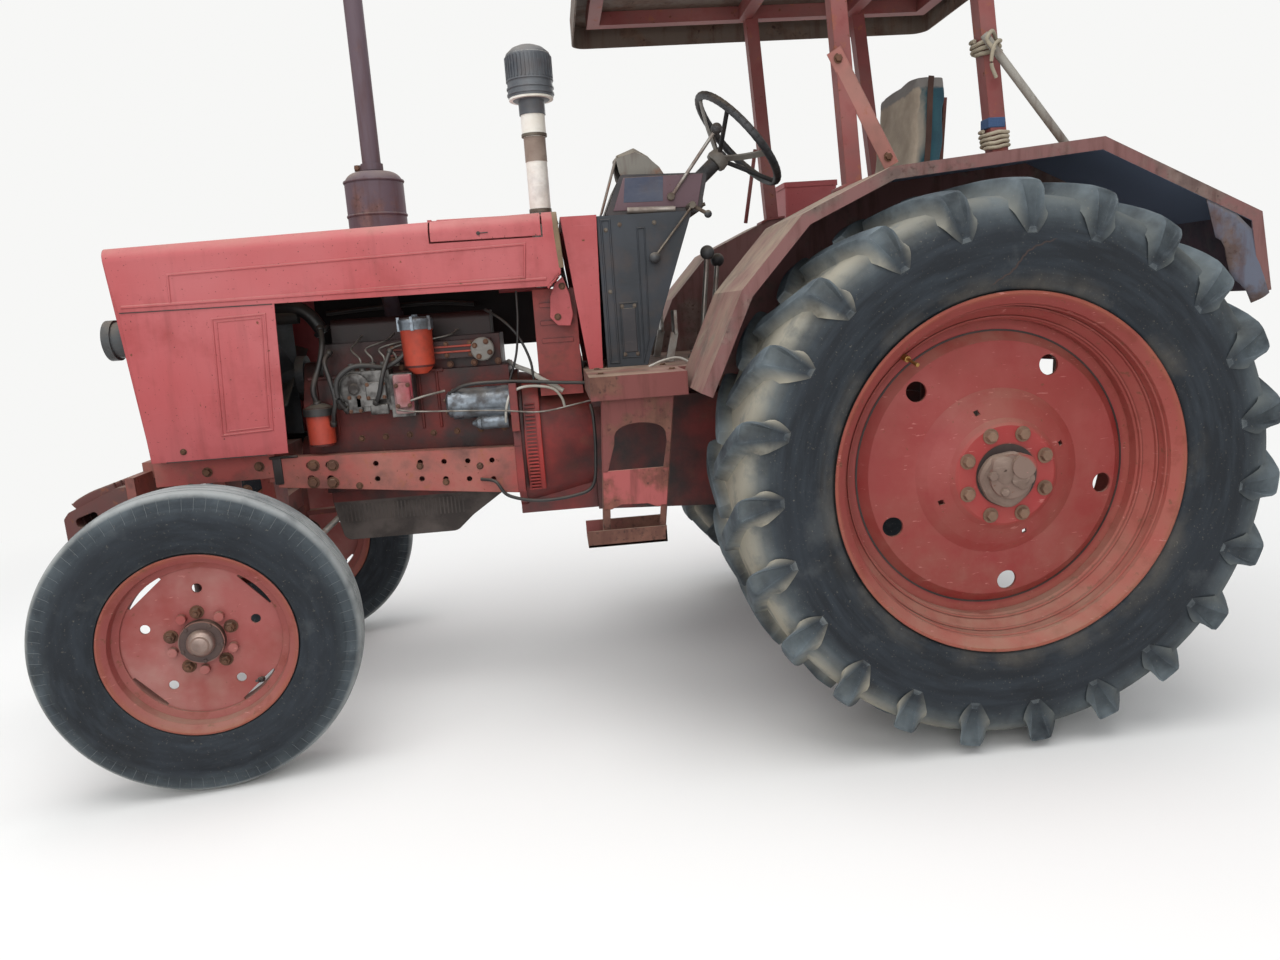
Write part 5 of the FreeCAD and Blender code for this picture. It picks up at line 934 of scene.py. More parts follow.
def tyre_rubber(key, belt, sipes=0):
    """Black rubber greyed by sun, streaks round the sidewall, mud in the tread, and fine shoulder cuts."""
    coat = Finish("tyre_rubber_%s_%s" % (key[0], SIDE_NAME[key[1]]), tone(29, 33, 38), rough=0.7)
    radius, angle, where = polar(coat, key)
    depth = coat.node("Attribute", attribute_name="tone").outputs["Fac"]
    ring = coat.node("VectorMath", {0: coat.node("VectorMath", {0: where, 1: (1, 0, 1)}, operation="MULTIPLY").outputs[0]},
                     operation="NORMALIZE").outputs[0]
    around = coat.node("VectorMath", {0: ring, 1: (2.2, 0, 2.2)}, operation="MULTIPLY").outputs[0]
    outward = coat.node("CombineXYZ", {1: coat.calc("MULTIPLY", radius, 26.0)}).outputs[0]
    streaked = coat.node("VectorMath", {0: around, 1: outward}, operation="ADD").outputs[0]
    streaks = coat.node("TexNoise", {"Vector": streaked, "Scale": 1.6, "Detail": 5.0, "Roughness": 0.6}).outputs["Fac"]
    coat.vary(coat.both(coat.cut(streaks, 0.42, 0.72), 0.7), tone(50, 57, 64))
    coat.vary(coat.both(coat.noise(3.2, 0.42, 0.70, detail=5), 0.8), tone(38, 43, 49))
    sun = coat.both(coat.noise(7, 0.30, 0.66, detail=7), coat.cut(radius, belt - 0.08, belt + 0.03))
    coat.layer(coat.both(sun, 0.7), tone(118, 129, 134), rough=0.85)
    rubbed = coat.both(coat.edges(0.012, 0.05, 0.5), coat.noise(18, 0.3, 0.7))
    coat.layer(coat.both(rubbed, 0.5), tone(134, 142, 145), rough=0.85)
    coat.layer(coat.both(coat.noise(6, 0.60, 0.70, detail=8), 0.35), tone(82, 85, 86), rough=0.9, height=0.0002)
    front = coat.cut(coat.calc("ADD", coat.axis(0, where), coat.calc("MULTIPLY", coat.noise(3, detail=3), 0.5)), 0.15, 0.75)
    mud = coat.tint(front, tone(96, 100, 98), tone(160, 154, 138))
    tan = coat.both(depth, coat.noise(9, 0.26, 0.50, detail=6))
    coat.layer(coat.both(tan, 0.9), mud, rough=0.97, height=0.0006)
    low = coat.both(coat.cut(radius, belt - 0.17, belt - 0.21), coat.noise(5, 0.45, 0.75, detail=6))
    coat.layer(coat.both(low, 0.5), tone(112, 104, 92), rough=0.95)
    coat.layer(coat.both(coat.noise(4, 0.58, 0.70, detail=5), 0.6), tone(20, 22, 25), rough=0.55)
    coat.layer(coat.both(coat.noise(140, 0.64, 0.74, detail=3), 0.4), tone(128, 122, 110), rough=0.95)
    if sipes:
        crown = coat.both(coat.cut(radius, belt - 0.022, belt - 0.008), coat.noise(9, 0.2, 0.55, detail=5))
        coat.layer(coat.both(crown, 0.7), tone(168, 171, 170), rough=0.95)
        turns = coat.calc("MULTIPLY", angle, sipes / (2 * np.pi))
        off = coat.calc("ABSOLUTE", coat.calc("SUBTRACT", coat.calc("FRACT", turns), 0.5))
        line = coat.cut(off, 0.030, 0.012)
        band = coat.both(coat.cut(radius, 0.402, 0.408), coat.cut(radius, 0.447, 0.441), coat.noise(8, 0.25, 0.5))
        coat.layer(coat.both(line, band, 0.75), tone(112, 118, 120), rough=0.95, height=-0.0012)
    coat.emboss(coat.noise(260, detail=3), 0.0002)
    coat.emboss(coat.noise(30, detail=4), 0.0010)
    coat.shader.inputs["Specular IOR Level"].default_value = 0.25
    return coat.done()


REAR_RUBBER = {side: tyre_rubber(("rear", side), 0.74) for side in (1, -1)}
on_wheels("rear", "lugged_tyre", rear_tyre, REAR_RUBBER, "rubber_tyre", replaces=["tyre"], smooth=50)

# %% [markdown]
# The front tyres only steer. Their tread is a few plain ribs around the tyre, worn almost
# smooth, and the shoulder has a thin cut every few degrees, which the finish draws.

# %% Front tyre: ribs, shoulders and sidewalls in one outline
FRONT_HALF = np.array([   # y, r from the bead to the middle of the tread
    (0.066, 0.2545), (0.072, 0.2755), (0.080, 0.2790), (0.085, 0.288), (0.088, 0.300), (0.0905, 0.3035), (0.0915, 0.310),
    (0.0990, 0.335), (0.1025, 0.360), (0.1015, 0.385), (0.0965, 0.405), (0.0935, 0.409), (0.0915, 0.4115),
    (0.0890, 0.425), (0.0840, 0.441), (0.0750, 0.4505), (0.0620, 0.4550), (0.0530, 0.4566), (0.0515, 0.4500),
    (0.0455, 0.4500), (0.0440, 0.4576), (0.0250, 0.4592), (0.0235, 0.4525), (0.0175, 0.4525), (0.0160, 0.4597),
    (0.0, 0.4600)])
FRONT_OUTLINE = np.concatenate([FRONT_HALF * [-1, 1], FRONT_HALF[-2::-1], [(0.04, 0.262), (-0.04, 0.262)]])
groove = ((FRONT_OUTLINE[:, 1] < 0.454) & (np.abs(FRONT_OUTLINE[:, 0]) < 0.055) & (FRONT_OUTLINE[:, 1] > 0.44))
FRONT_RUBBER = {side: tyre_rubber(("front", side), 0.46, sipes=84) for side in (1, -1)}
front_tyre = turned(FRONT_OUTLINE, 160, np.where(groove, 0.9, np.clip((FRONT_OUTLINE[:, 1] - 0.44) / 0.03, 0, 0.5)))
on_wheels("front", "ribbed_tyre", front_tyre, FRONT_RUBBER, "rubber_tyre", replaces=["tyre"], smooth=28)
print("front tyre", len(front_tyre.faces), "faces")

# %% [markdown]
# The rear wheel's rim was orange before it was red, and rust has brought the orange back. The
# disc is pinker and cleaner, the ring around its bolts a stronger red, and the hub in the
# middle is bare dusty iron. All of this goes by the distance from the axis.

# %% Wheel paint by radius
def wheel_paint(key, rim_from, ring, hub, base, pale, rim_paint, lit_paint):
    """Red disc, rustier rim beyond rim_from, bright ring between two radii, dusty iron hub."""
    coat = Finish("wheel_paint_%s_%s" % (key[0], SIDE_NAME[key[1]]), base, rough=0.55)
    radius, _, where = polar(coat, key)
    coat.vary(coat.noise(5, 0.42, 0.72, detail=5), pale)
    coat.vary(coat.both(coat.noise(3.5, 0.45, 0.62, detail=4), 0.8), tone(132, 44, 38))
    wobble = coat.calc("ADD", radius, coat.calc("MULTIPLY", coat.noise(14, detail=4), 0.010))
    on_ring = coat.both(coat.cut(wobble, ring[0] - 0.004, ring[0]), coat.cut(wobble, ring[1] + 0.004, ring[1]))
    coat.layer(coat.both(on_ring, 0.85), tone(150, 38, 38), rough=0.5)
    rim = coat.cut(wobble, rim_from, rim_from + 0.010)
    coat.layer(coat.both(rim, 0.8), rim_paint, rough=0.65)
    slant = coat.calc("SUBTRACT", coat.calc("MULTIPLY", coat.axis(0, where), -0.8), coat.axis(2, where))
    lit = coat.cut(coat.calc("ADD", slant, coat.calc("MULTIPLY", coat.noise(5, detail=4), 0.5)), 0.0, 0.7)
    coat.layer(coat.both(rim, coat.calc("ADD", coat.both(lit, 0.65), 0.08)), lit_paint, rough=0.8)
    outer = coat.cut(wobble, ring_edge(key) - 0.012, ring_edge(key) - 0.004)
    coat.layer(coat.both(outer, coat.noise(9, 0.25, 0.6), 0.75), tone(142, 76, 56), rough=0.85)
    coat.layer(coat.both(rim, coat.noise(16, 0.54, 0.68, detail=7), 0.6), tone(120, 50, 38), rough=0.85, height=0.0003)
    coat.layer(coat.both(rim, coat.noise(40, 0.62, 0.70, detail=5), 0.8), RUST, rough=0.92, height=0.0002)
    coat.layer(coat.cut(wobble, hub + 0.006, hub), tone(118, 98, 88), rough=0.8)
    coat.layer(coat.both(coat.noise(70, 0.67, 0.72, detail=5), 0.8), RUST, rough=0.9, height=-0.0002)
    scratch = coat.noise(30, 0.66, 0.72, detail=3, stretch=(1, 1, 4), twist=0.5)
    coat.layer(coat.both(scratch, 0.5), tone(196, 130, 122), rough=0.6)
    low = coat.cut(coat.axis(2, where), 0.05, -0.30)
    coat.layer(coat.both(coat.noise(10, 0.35, 0.75, detail=6), coat.calc("ADD", coat.both(low, 0.35), 0.10)),
               tone(140, 104, 88), rough=0.95)
    coat.layer(coat.both(coat.upward(0.3, 0.9), coat.noise(12, 0.2, 0.6), 0.5), DUST, rough=0.95)
    coat.layer(coat.both(coat.edges(0.004), 0.5), tone(120, 70, 52), rough=0.9)
    coat.emboss(coat.noise(120, detail=4), 0.0002)
    return coat.done(bevel=0.003)


def ring_edge(key):
    """The rim flange's radius."""
    return 0.508 if key[0] == "rear" else 0.2755


REAR_PAINT = {side: wheel_paint(("rear", side), 0.412, (0.100, 0.150), 0.066, tone(136, 43, 40), tone(148, 64, 60),
                                tone(124, 42, 38), tone(160, 80, 70)) for side in (1, -1)}
FRONT_PAINT = {side: wheel_paint(("front", side), 0.222, (0.300, 0.301), 0.066, tone(150, 76, 72), tone(158, 108, 102),
                                 tone(128, 54, 50), tone(150, 84, 78)) for side in (1, -1)}
for side, word in SIDE_NAME.items():
    dress(REAR_PAINT[side], "wheel_rear_" + word)
    dress(FRONT_PAINT[side], "wheel_front_" + word)
# %% [markdown]
# The rear wheel is clamped to its shaft by a heavy casting, and eight bolts hold the disc to
# its flange. Dust and old grease cover all of it. The bolts could be cylinders, but a hexagon
# with a cut top edge and a washer below is what makes them read as bolts, for a few faces.

# %% Rear wheel: bolts, clamp, seams and valve
def ring_places(radius, count, start, y):
    """Places on a circle about the axle: (r cos a, y, r sin a), a = start + k 360 / count degrees."""
    a = np.radians(start + np.arange(count) * 360.0 / count)
    return np.stack([radius * np.cos(a), np.full(count, y), radius * np.sin(a)], -1)


def lump(outline, steps, bumps):
    """A turned outline whose radius swells by the given (height, count, phase) waves round it."""
    def ripple(a, y):
        return sum(h * np.cos(n * a + phase) for h, n, phase in bumps) + 0 * y
    return turned(outline, steps, ripple=ripple)


HUB_FACE = 0.146
DUSTY_IRON = dull_plastic("dusty_iron", tone(112, 92, 82), tone(150, 130, 118), dust=0.7, rough=0.85).done(bevel=0.002)
SEAM_DARK = dull_plastic("seam_dark", tone(34, 22, 20), tone(52, 34, 30), dust=0.1).done()
TAN_BOLT = worn_metal("dusty_bolt", tone(150, 122, 104), tone(120, 88, 70), rust=0.9, rough=0.7).done(bevel=0.001)
hub_bolts = bolts(ring_places(0.122, 8, 22.5, HUB_FACE), (0, 1, 0), size=0.0165, height=0.0175)
on_wheels("rear", "disc_bolts", hub_bolts, TAN_BOLT, "rusty_steel")
crescent = turned([(HUB_FACE - 0.004, 0.060), (HUB_FACE - 0.004, 0.0885), (HUB_FACE + 0.0012, 0.0885),
                   (HUB_FACE + 0.0012, 0.060)], 48)
clamp_body = lump([(0.140, 0.0), (0.140, 0.078), (0.160, 0.078), (0.168, 0.070), (0.171, 0.0)], 40,
                  [(0.003, 3, 0.4), (0.0015, 7, 1.0)]).moved(shift=(0.004, 0, -0.009))
clamp_eye = lump([(0.160, 0.0), (0.160, 0.034), (0.186, 0.032), (0.190, 0.026), (0.191, 0.0)], 28,
                 [(0.002, 5, 0.3)]).moved(shift=(-0.030, 0, -0.004))
clamp_lobe = lump([(0.158, 0.0), (0.158, 0.040), (0.180, 0.037), (0.185, 0.028), (0.186, 0.0)], 28,
                  [(0.004, 2, 0.8), (0.0015, 5, 0)]).moved(shift=(0.022, 0, 0.020))
clamp_heads = joined([bolts([(x, 0.168, z)], (0.25, 1, 0.1), size, 0.022, washer=False)
                      for x, z, size in ((0.052, 0.004, 0.014), (0.018, -0.044, 0.013), (-0.036, -0.008, 0.017))])
on_wheels("rear", "hub_clamp", joined([clamp_body, clamp_eye, clamp_lobe, clamp_heads]), DUSTY_IRON, "rusty_steel")
on_wheels("rear", "hub_recess", crescent, SEAM_DARK, "frame_red")
disc_seam = turned([(0.0435, 0.3985), (0.0435, 0.4035), (0.0465, 0.4035), (0.0465, 0.3985)], 120)
pressed_rings = joined([turned([(0.0995, r - 0.006), (0.0995, r + 0.006), (0.1035 + k, r + 0.003), (0.1035 + k, r - 0.003)], 96)
                        for r, k in ((0.2262, 0.0),)])
on_wheels("rear", "disc_seam", disc_seam, SEAM_DARK, "frame_red")


def rim_step(y, r, rise=0.0035, width=0.007):
    """A rolled ridge round the rim's inner face: a flat arch section turned about the axle."""
    return turned([(y - width, r + 0.001), (y - 0.6 * width, r - rise), (y + 0.6 * width, r - rise), (y + width, r + 0.001)], 120)


rim_steps = joined([rim_step(0.150, 0.4715), rim_step(0.118, 0.466), rim_step(0.084, 0.4405, 0.004)])
for side, word in SIDE_NAME.items():
    matrix, centre = WHEELS["rear", side]
    piece("rim_steps_rear_" + word, rim_steps.moved(matrix, centre), REAR_PAINT[side], "wheel_rear_" + word, "frame_red")
valve_turn = math.radians(38)
valve_at = np.array([0.437 * math.sin(valve_turn), 0.098, 0.437 * math.cos(valve_turn)])
valve_way = np.array([-math.sin(valve_turn) * 0.4, 0.9, -math.cos(valve_turn) * 0.4])
valve = joined([rod(valve_at - 0.012 * valve_way, valve_at + 0.012 * valve_way, 0.0095, 14),
                rod(valve_at, valve_at + 0.050 * valve_way, 0.0045, 12),
                rod(valve_at + 0.046 * valve_way, valve_at + 0.058 * valve_way, 0.0060, 12)])
BRASS = worn_metal("old_brass", tone(168, 132, 76), tone(96, 72, 46), rust=0.7).done()
on_wheels("rear", "valve", valve, BRASS, "bare_steel")
print("rear wheel details ready")

# %% [markdown]
# Sun and a sharp stone opened a crack in the left rear tyre's sidewall. It wanders from the
# bead up to the shoulder. A dark ribbon that follows the rubber's own profile shows it: its
# points are given round the wheel, and the sidewall's table gives how far out each one lies.

# %% The crack in the left rear sidewall
def on_sidewall(x, z):
    """Points on the left rear sidewall's surface, given in the wheel's plane from the axle's centre."""
    x, z = np.asarray(x, float), np.asarray(z, float) - REAR_TYRE_R
    r = np.hypot(x, z)
    order = np.argsort(CARCASS[:, 1])
    return np.stack([x, np.interp(r, CARCASS[order, 1], CARCASS[order, 0]), z], -1)


crack_line = rounded_path(np.array([(0.076, 0, 1.331), (0.045, 0, 1.352), (0.014, 0, 1.371), (-0.006, 0, 1.398),
                                    (-0.027, 0, 1.420), (-0.066, 0, 1.436), (-0.109, 0, 1.443), (-0.150, 0, 1.437),
                                    (-0.179, 0, 1.418)]), 6)
crack_line[:, 2] += 0.002 * np.sin(np.arange(len(crack_line)) * 1.7)
crack_points = on_sidewall(crack_line[:, 0], crack_line[:, 2])
crack_points[:, 1] -= 0.0012
crack = swept(rectangle(0.0042, 0.0030), crack_points, up=(0, 1, 0), scale=np.interp(
    np.linspace(0, 1, len(crack_points)), [0, 0.1, 0.6, 1], [0.5, 1.2, 1.0, 0.3]))
matrix, centre = WHEELS["rear", 1]
piece("sidewall_crack", crack.moved(matrix, centre), SEAM_DARK, "wheel_rear_left", "rubber_tyre")

# %% [markdown]
# In front, five nuts hold each disc to a hub that is black with grease, and a pressed cap
# covers the bearing. Hands and boots keep the cap polished, so it alone still shines.

# %% Front wheel: hub, cap, nuts and valve
FRONT_FACE = 0.026
GREASY = dull_plastic("greasy_hub", tone(58, 38, 34), tone(84, 62, 54), dust=0.2, rough=0.45).done(bevel=0.002)
hub_ring = lump([(0.018, 0.0), (0.018, 0.0655), (0.046, 0.0645), (0.052, 0.060), (0.053, 0.050), (0.050, 0.0)], 48,
                [(0.0006, 9, 0.2)])
cap = turned([(0.045, 0.0), (0.045, 0.0405), (0.062, 0.0400), (0.070, 0.0370), (0.0755, 0.0300), (0.0785, 0.0200),
              (0.0796, 0.0100), (0.0799, 0.0)], 40)
RUBBED_CAP = worn_metal("rubbed_cap", tone(150, 132, 124), tone(112, 74, 62), rust=0.55, rough=0.38).done()
hub_studs = ring_places(0.057, 5, 50, 0.050)
on_wheels("front", "hub", joined([hub_ring, bolts(hub_studs, (0, 1, 0), 0.0065, 0.006, washer=False)]), GREASY, "rusty_steel")
on_wheels("front", "hub_cap", cap, RUBBED_CAP, "bare_steel")
nut = joined([hex_bolt(0.0150, 0.020), turned([(0.0, 0.0), (0.0, 0.0072), (0.031, 0.0068), (0.032, 0.0)], 14)])
nut_turn = np.repeat(np.eye(3)[None], 5, 0)
on_wheels("front", "wheel_nuts", copies(nut, nut_turn, ring_places(0.088, 5, 15, FRONT_FACE)), BOLT_BROWN, "rusty_steel")
front_valve = math.radians(-135)
spot = np.array([0.206 * math.sin(front_valve), 0.034, 0.206 * math.cos(front_valve)])
way = np.array([-math.sin(front_valve) * 0.35, 0.93, -math.cos(front_valve) * 0.35])
on_wheels("front", "valve", joined([rod(spot - 0.01 * way, spot + 0.012 * way, 0.0085, 14), rod(spot, spot + 0.034 * way, 0.0045, 12)]),
          BLACK_RUBBER, "rubber_tyre")
print("front wheel details ready")
# %% [markdown]
# # Sheet metal of the hood
#
# The hood's sides have a pressed panel along them, and the side panel has a tall one. A press
# leaves a shallow step with rounded edges. It could be painted on as bump, but it is geometry
# here, so the meshes show it too: a rolled bead two to three millimetres high round each
# panel's outline, and one near the hood's lower edge.

# %% Pressed panels and beads
def pressed(corners, out, rise=0.003, slope=0.007):
    """A raised plate: the outline on the sheet, and the same outline drawn in by slope and lifted by rise."""
    corners, out = np.asarray(corners, float), np.asarray(out, float)
    middle = corners.mean(0)
    way = middle - corners
    way /= np.linalg.norm(way, axis=1, keepdims=True)
    n = len(corners)
    points = np.concatenate([corners - 0.001 * out, corners + slope * 1.4 * way + rise * out])
    sides = [(i, (i + 1) % n, n + (i + 1) % n, n + i) for i in range(n)]
    return outwards(Shape(points, sides + fan_faces(range(n), True) + fan_faces(range(n, 2 * n))))


def frame_bead(corners, out, width=0.006, rise=0.003):
    """A rolled bead along a closed outline: an arch section swept round it, mitred at the corners."""
    corners, out = np.asarray(corners, float), np.asarray(out, float)
    way = np.roll(corners, -1, 0) - corners
    way /= np.linalg.norm(way, axis=1, keepdims=True)
    inward = np.cross(out, way)
    mitre = inward + np.roll(inward, 1, 0)
    mitre /= np.einsum("ij,ij->i", mitre, inward)[:, None]
    section = np.array([(-width, -0.001), (-0.5 * width, rise), (0.5 * width, rise), (width, -0.001)])
    points = corners[:, None] + section[None, :, :1] * mitre[:, None] + section[None, :, 1:] * out
    return outwards(Shape(points, grid_faces(len(corners), 4, True, True)))


def hood_z(x, drop=0.0):
    """Height of the hood's top line, which falls slowly forwards, less a drop."""
    return 1.670 - (x - 1.207) * 0.0234 - drop


HOOD_Y = 0.320
side_line = [at(1.30, HOOD_Y, hood_z(1.30, 0.098)), at(2.425, HOOD_Y, hood_z(2.425, 0.098)),
             at(2.430, HOOD_Y, hood_z(2.43, 0.188)), at(1.31, HOOD_Y, hood_z(1.31, 0.203))]
lower_bead = swept(np.array([(-0.005, -0.001), (-0.002, 0.0035), (0.003, 0.0035), (0.008, -0.001)]),
                   np.array([at(1.24, HOOD_Y, 1.4545), at(1.80, HOOD_Y, 1.4530), at(2.58, HOOD_Y, 1.4515)]), up=(0, 1, 0))
panel_line = [at(2.145, HOOD_Y, 1.403), at(2.310, HOOD_Y, 1.398), at(2.332, HOOD_Y, 1.024), at(2.171, HOOD_Y, 1.031)]
inner_line = [at(2.158, HOOD_Y, 1.392), at(2.297, HOOD_Y, 1.388), at(2.318, HOOD_Y, 1.036), at(2.183, HOOD_Y, 1.042)]
hood_presses = joined([frame_bead(side_line[::-1], (0, 1, 0), 0.005, 0.0028), lower_bead])
panel_presses = joined([frame_bead(panel_line, (0, 1, 0), 0.004, 0.0026), frame_bead(inner_line, (0, 1, 0), 0.003, 0.0018)])
piece("hood_pressings", both_sides(hood_presses), HOOD_RED, "chassis", "faded_red")
piece("panel_pressings", both_sides(panel_presses), HOOD_RED, "chassis", "faded_red")


def seam(points, width=0.0045, out=(0, 1, 0), depth=0.0014):
    """A thin dark strip along a joint, just proud of the sheet, where the gap shows black."""
    return swept(rectangle(depth, width), rounded_path(points, 3), up=out)


hood_seams = joined([
    swept(rectangle(0.0030, 0.0060), np.array([at(2.118, 0.3195, 1.4325), at(2.35, 0.3195, 1.4335), at(2.588, 0.3195, 1.4350)]),
          up=(0, 1, 0)),
    swept(rectangle(0.0030, 0.0050), np.array([at(2.20, 0.3190, 0.9495), at(2.40, 0.3190, 0.9495), at(2.52, 0.3190, 0.9495)]),
          up=(0, 1, 0))])
piece("hood_seams", both_sides(hood_seams), SEAM_DARK, "chassis", "faded_red")
panel_bolt = bolts([at(2.462, 0.320, 0.981)], (0, 1, 0), 0.008, 0.006)
piece("panel_bolts", both_sides(panel_bolt), BOLT_BROWN, "chassis", "rusty_steel")
print("hood pressings", len(hood_presses.faces) + len(panel_presses.faces), "faces a side")

# %% [markdown]
# The hatch closes the hood's left rear corner. A slot in it takes a coin-shaped latch, and the
# gap round the lid is black with dirt. The hood's rear edge sits on a strip of old felt that
# has gone tan, and its lower corner has torn away, so the edge there is bent and ragged.

# %% Hatch latch, felt strip and the torn corner
latch = joined([swept(rectangle(0.003, 0.010, 0.001), np.array([at(1.415, 0.3185, 1.6135), at(1.452, 0.3185, 1.6125)]), up=(0, 1, 0)),
                rod(at(1.446, 0.317, 1.6125), at(1.446, 0.3225, 1.6125), 0.0065, 14)])
piece("hatch_latch", latch, SEAM_DARK, "hatch", "black_plastic")
FELT = dull_plastic("tan_felt", tone(128, 108, 84), tone(92, 78, 64), dust=0.5, rough=0.95).done()
felt_path = np.array([(1.196, 0.317, 1.492), (1.200, 0.318, 1.560), (1.2045, 0.318, 1.628), (1.206, 0.304, 1.659),
                      (1.206, 0.262, 1.6715), (1.206, 0.10, 1.6725), (1.206, -0.10, 1.6725), (1.206, -0.262, 1.6715),
                      (1.206, -0.304, 1.659), (1.2045, -0.318, 1.628), (1.200, -0.318, 1.560), (1.196, -0.317, 1.492)])
felt_path[:, 2] -= 0.004
felt_path[:, 0] -= 0.008
felt_path += at(0, 0, 0)
piece("hood_felt", swept(rectangle(0.007, 0.018, 0.002), rounded_path(felt_path, 6), up=(1, 0, 0)), FELT, "chassis",
      "seat_cover")


def torn_edge(path, reach, folds, seed):
    """A strip of sheet along a path whose free edge is ragged: depth = reach (1 + noise) at each station."""
    path = np.asarray(path, float)
    rough = np.random.default_rng(seed).uniform(-0.5, 0.5, len(path))
    depth = (reach * (1 + rough))[:, None]
    bend = (folds * np.sin(np.linspace(0, np.pi * 2.2, len(path))))[:, None]
    down, out = np.array([0, 0, -1.0]), np.array([0, 1.0, 0])
    tip = path + down * depth + out * bend
    middle = path + 0.5 * down * depth + 0.2 * out * bend
    return Shape(np.stack([path, middle, tip], 1), grid_faces(len(path), 3))


tear = torn_edge(rounded_path([at(1.239, 0.3185, 1.433), at(1.222, 0.3185, 1.445), at(1.206, 0.3185, 1.462),
                               at(1.191, 0.3185, 1.481)], 8), 0.011, 0.006, 3)
torn = piece("torn_corner", tear, HOOD_RED, "chassis", "faded_red")
thick = torn.modifiers.new("sheet", "SOLIDIFY")
thick.thickness, thick.offset = 0.0022, 0.0
print("torn corner", len(tear.faces), "faces")

# %% [markdown]
# The head lamp's shell is black and its glass dusty. Glass is a smooth dielectric, but here
# dust hides most of it, so a pale rough dish with a clear coat over it looks right from any
# side and needs no reflector inside.

# %% Head lamps: rim and glass
lamp_glass = Finish("dusty_lamp_glass", tone(168, 172, 168), rough=0.35)
lamp_glass.vary(lamp_glass.noise(30, 0.4, 0.7), tone(124, 122, 112))
flutes = lamp_glass.node("TexWave", {"Vector": lamp_glass.place, "Scale": 60.0, "Distortion": 0.0},
                         bands_direction="Y").outputs["Fac"]
lamp_glass.emboss(flutes, 0.0008)
lamp_glass.shader.inputs["Coat Weight"].default_value = 0.6
LAMP_GLASS = lamp_glass.done()
LAMP_X, LAMP_Y, LAMP_Z = 2.6635, 0.2450, 1.352
low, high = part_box("headlamps")
LAMP_FRONT, LAMP_MID_Z = high.x, (low.z + high.z) / 2
LAMP_RADIUS = (high.z - low.z) / 2
LAMP_CENTRE_Y = high.y - LAMP_RADIUS
lens_profile = np.array([(0.0, 0.0), (0.0, 0.050), (0.004, 0.053), (0.0075, 0.047), (0.0105, 0.030), (0.0115, 0.0)])
turn_out = basis((1, 0, 0))
lens = turned(lens_profile, 40).moved(turn_out, (LAMP_FRONT - 0.0125, LAMP_CENTRE_Y, LAMP_MID_Z))
bezel = turned([(0.0, LAMP_RADIUS - 0.013), (0.0, LAMP_RADIUS - 0.001), (0.008, LAMP_RADIUS - 0.0005), (0.0115, LAMP_RADIUS - 0.005),
                (0.010, LAMP_RADIUS - 0.013)], 48).moved(turn_out, (LAMP_FRONT - 0.0118, LAMP_CENTRE_Y, LAMP_MID_Z))
piece("lamp_glass", both_sides(lens), LAMP_GLASS, "chassis", "black_plastic")
piece("lamp_bezel", both_sides(bezel), BARE_STEEL, "chassis", "bare_steel")
print("lamps at x", round(LAMP_FRONT, 3), "radius", round(LAMP_RADIUS, 3))
# %% [markdown]
# # The open engine
#
# The side cover is missing, so the engine shows: a fuel pump with its steel lines and rubber
# loops, two filter bowls, a starter, and cables that were tied up wherever they would go.
# All of it is ordinary hose and bolt work: a round section carried along a smooth path
# through a few points, held at both ends by what it is screwed to.

# %% Injection pump: housing, governor, lines and loops
PUMP_RED = oily_casting("pump_governor", tone(150, 38, 54), tone(168, 150, 146), oil=0.45, dust=0.2).done(bevel=0.002)
GREASY_BLACK = dull_plastic("greasy_black", tone(22, 21, 22), tone(46, 42, 40), dust=0.25, rough=0.45).done(bevel=0.001)
LINE_STEEL = worn_metal("fuel_line", tone(134, 130, 124), tone(70, 56, 46), rust=0.7, rough=0.45).done()
pump_low, pump_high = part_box("injection_pump")
PUMP_Y = pump_high.y
governor = block(at(1.716, 0.196, 1.046), at(1.778, 0.281, 1.178))
governor_cap = block(at(1.722, 0.274, 1.066), at(1.772, 0.292, 1.150))
piece("pump_governor", joined([governor, governor_cap]), PUMP_RED, "chassis", "engine_red", bevel=0.006)
governor_bolts = bolts([at(x, 0.292, z) for x in (1.728, 1.766) for z in (1.074, 1.142)], (0, 1, 0), 0.0055, 0.005)
pump_plates = joined([block(at(1.800, 0.268, 1.100), at(1.868, 0.287, 1.160)), block(at(1.884, 0.262, 1.060), at(1.930, 0.282, 1.120)),
                      block(at(1.800, 0.262, 1.050), at(1.860, 0.279, 1.084))])
piece("pump_plates", pump_plates, ALLOY, "chassis", "pump_alloy", bevel=0.004)
plate_bolts = bolts([at(x, 0.287, z) for x in (1.808, 1.860) for z in (1.108, 1.152)]
                    + [at(x, 0.282, z) for x in (1.891, 1.923) for z in (1.067, 1.113)], (0, 1, 0), 0.0050, 0.005)
drive_disc = turned([(0.0, 0.0), (0.0, 0.050), (0.010, 0.052), (0.014, 0.046), (0.016, 0.020), (0.022, 0.014), (0.022, 0.0)], 32)
pump_face = drive_disc.moved(basis((0, 1, 0)), at(1.905, 0.266, 1.140))
piece("pump_cover_disc", pump_face, ALLOY, "chassis", "pump_alloy")
piece("pump_bolts", joined([governor_bolts, plate_bolts]), BOLT_BROWN, "chassis", "rusty_steel")
outlets = [1.765, 1.805, 1.845, 1.885]
nuts_up = bolts([at(x, 0.224, 1.205) for x in outlets], (0, 0, 1), 0.0095, 0.014, washer=False)
lines = joined([hose([at(x, 0.224, 1.204), at(x, 0.226, 1.235), at(x + 0.01 * k, 0.214 - 0.004 * k, 1.268),
                      at(1.60 + 0.10 * k, 0.166, 1.292), at(1.56 + 0.11 * k, 0.120, 1.312)], 0.0034, 8)
                for k, x in enumerate(outlets)])
piece("fuel_lines", joined([nuts_up, lines]), LINE_STEEL, "chassis", "bare_steel", smooth=40)


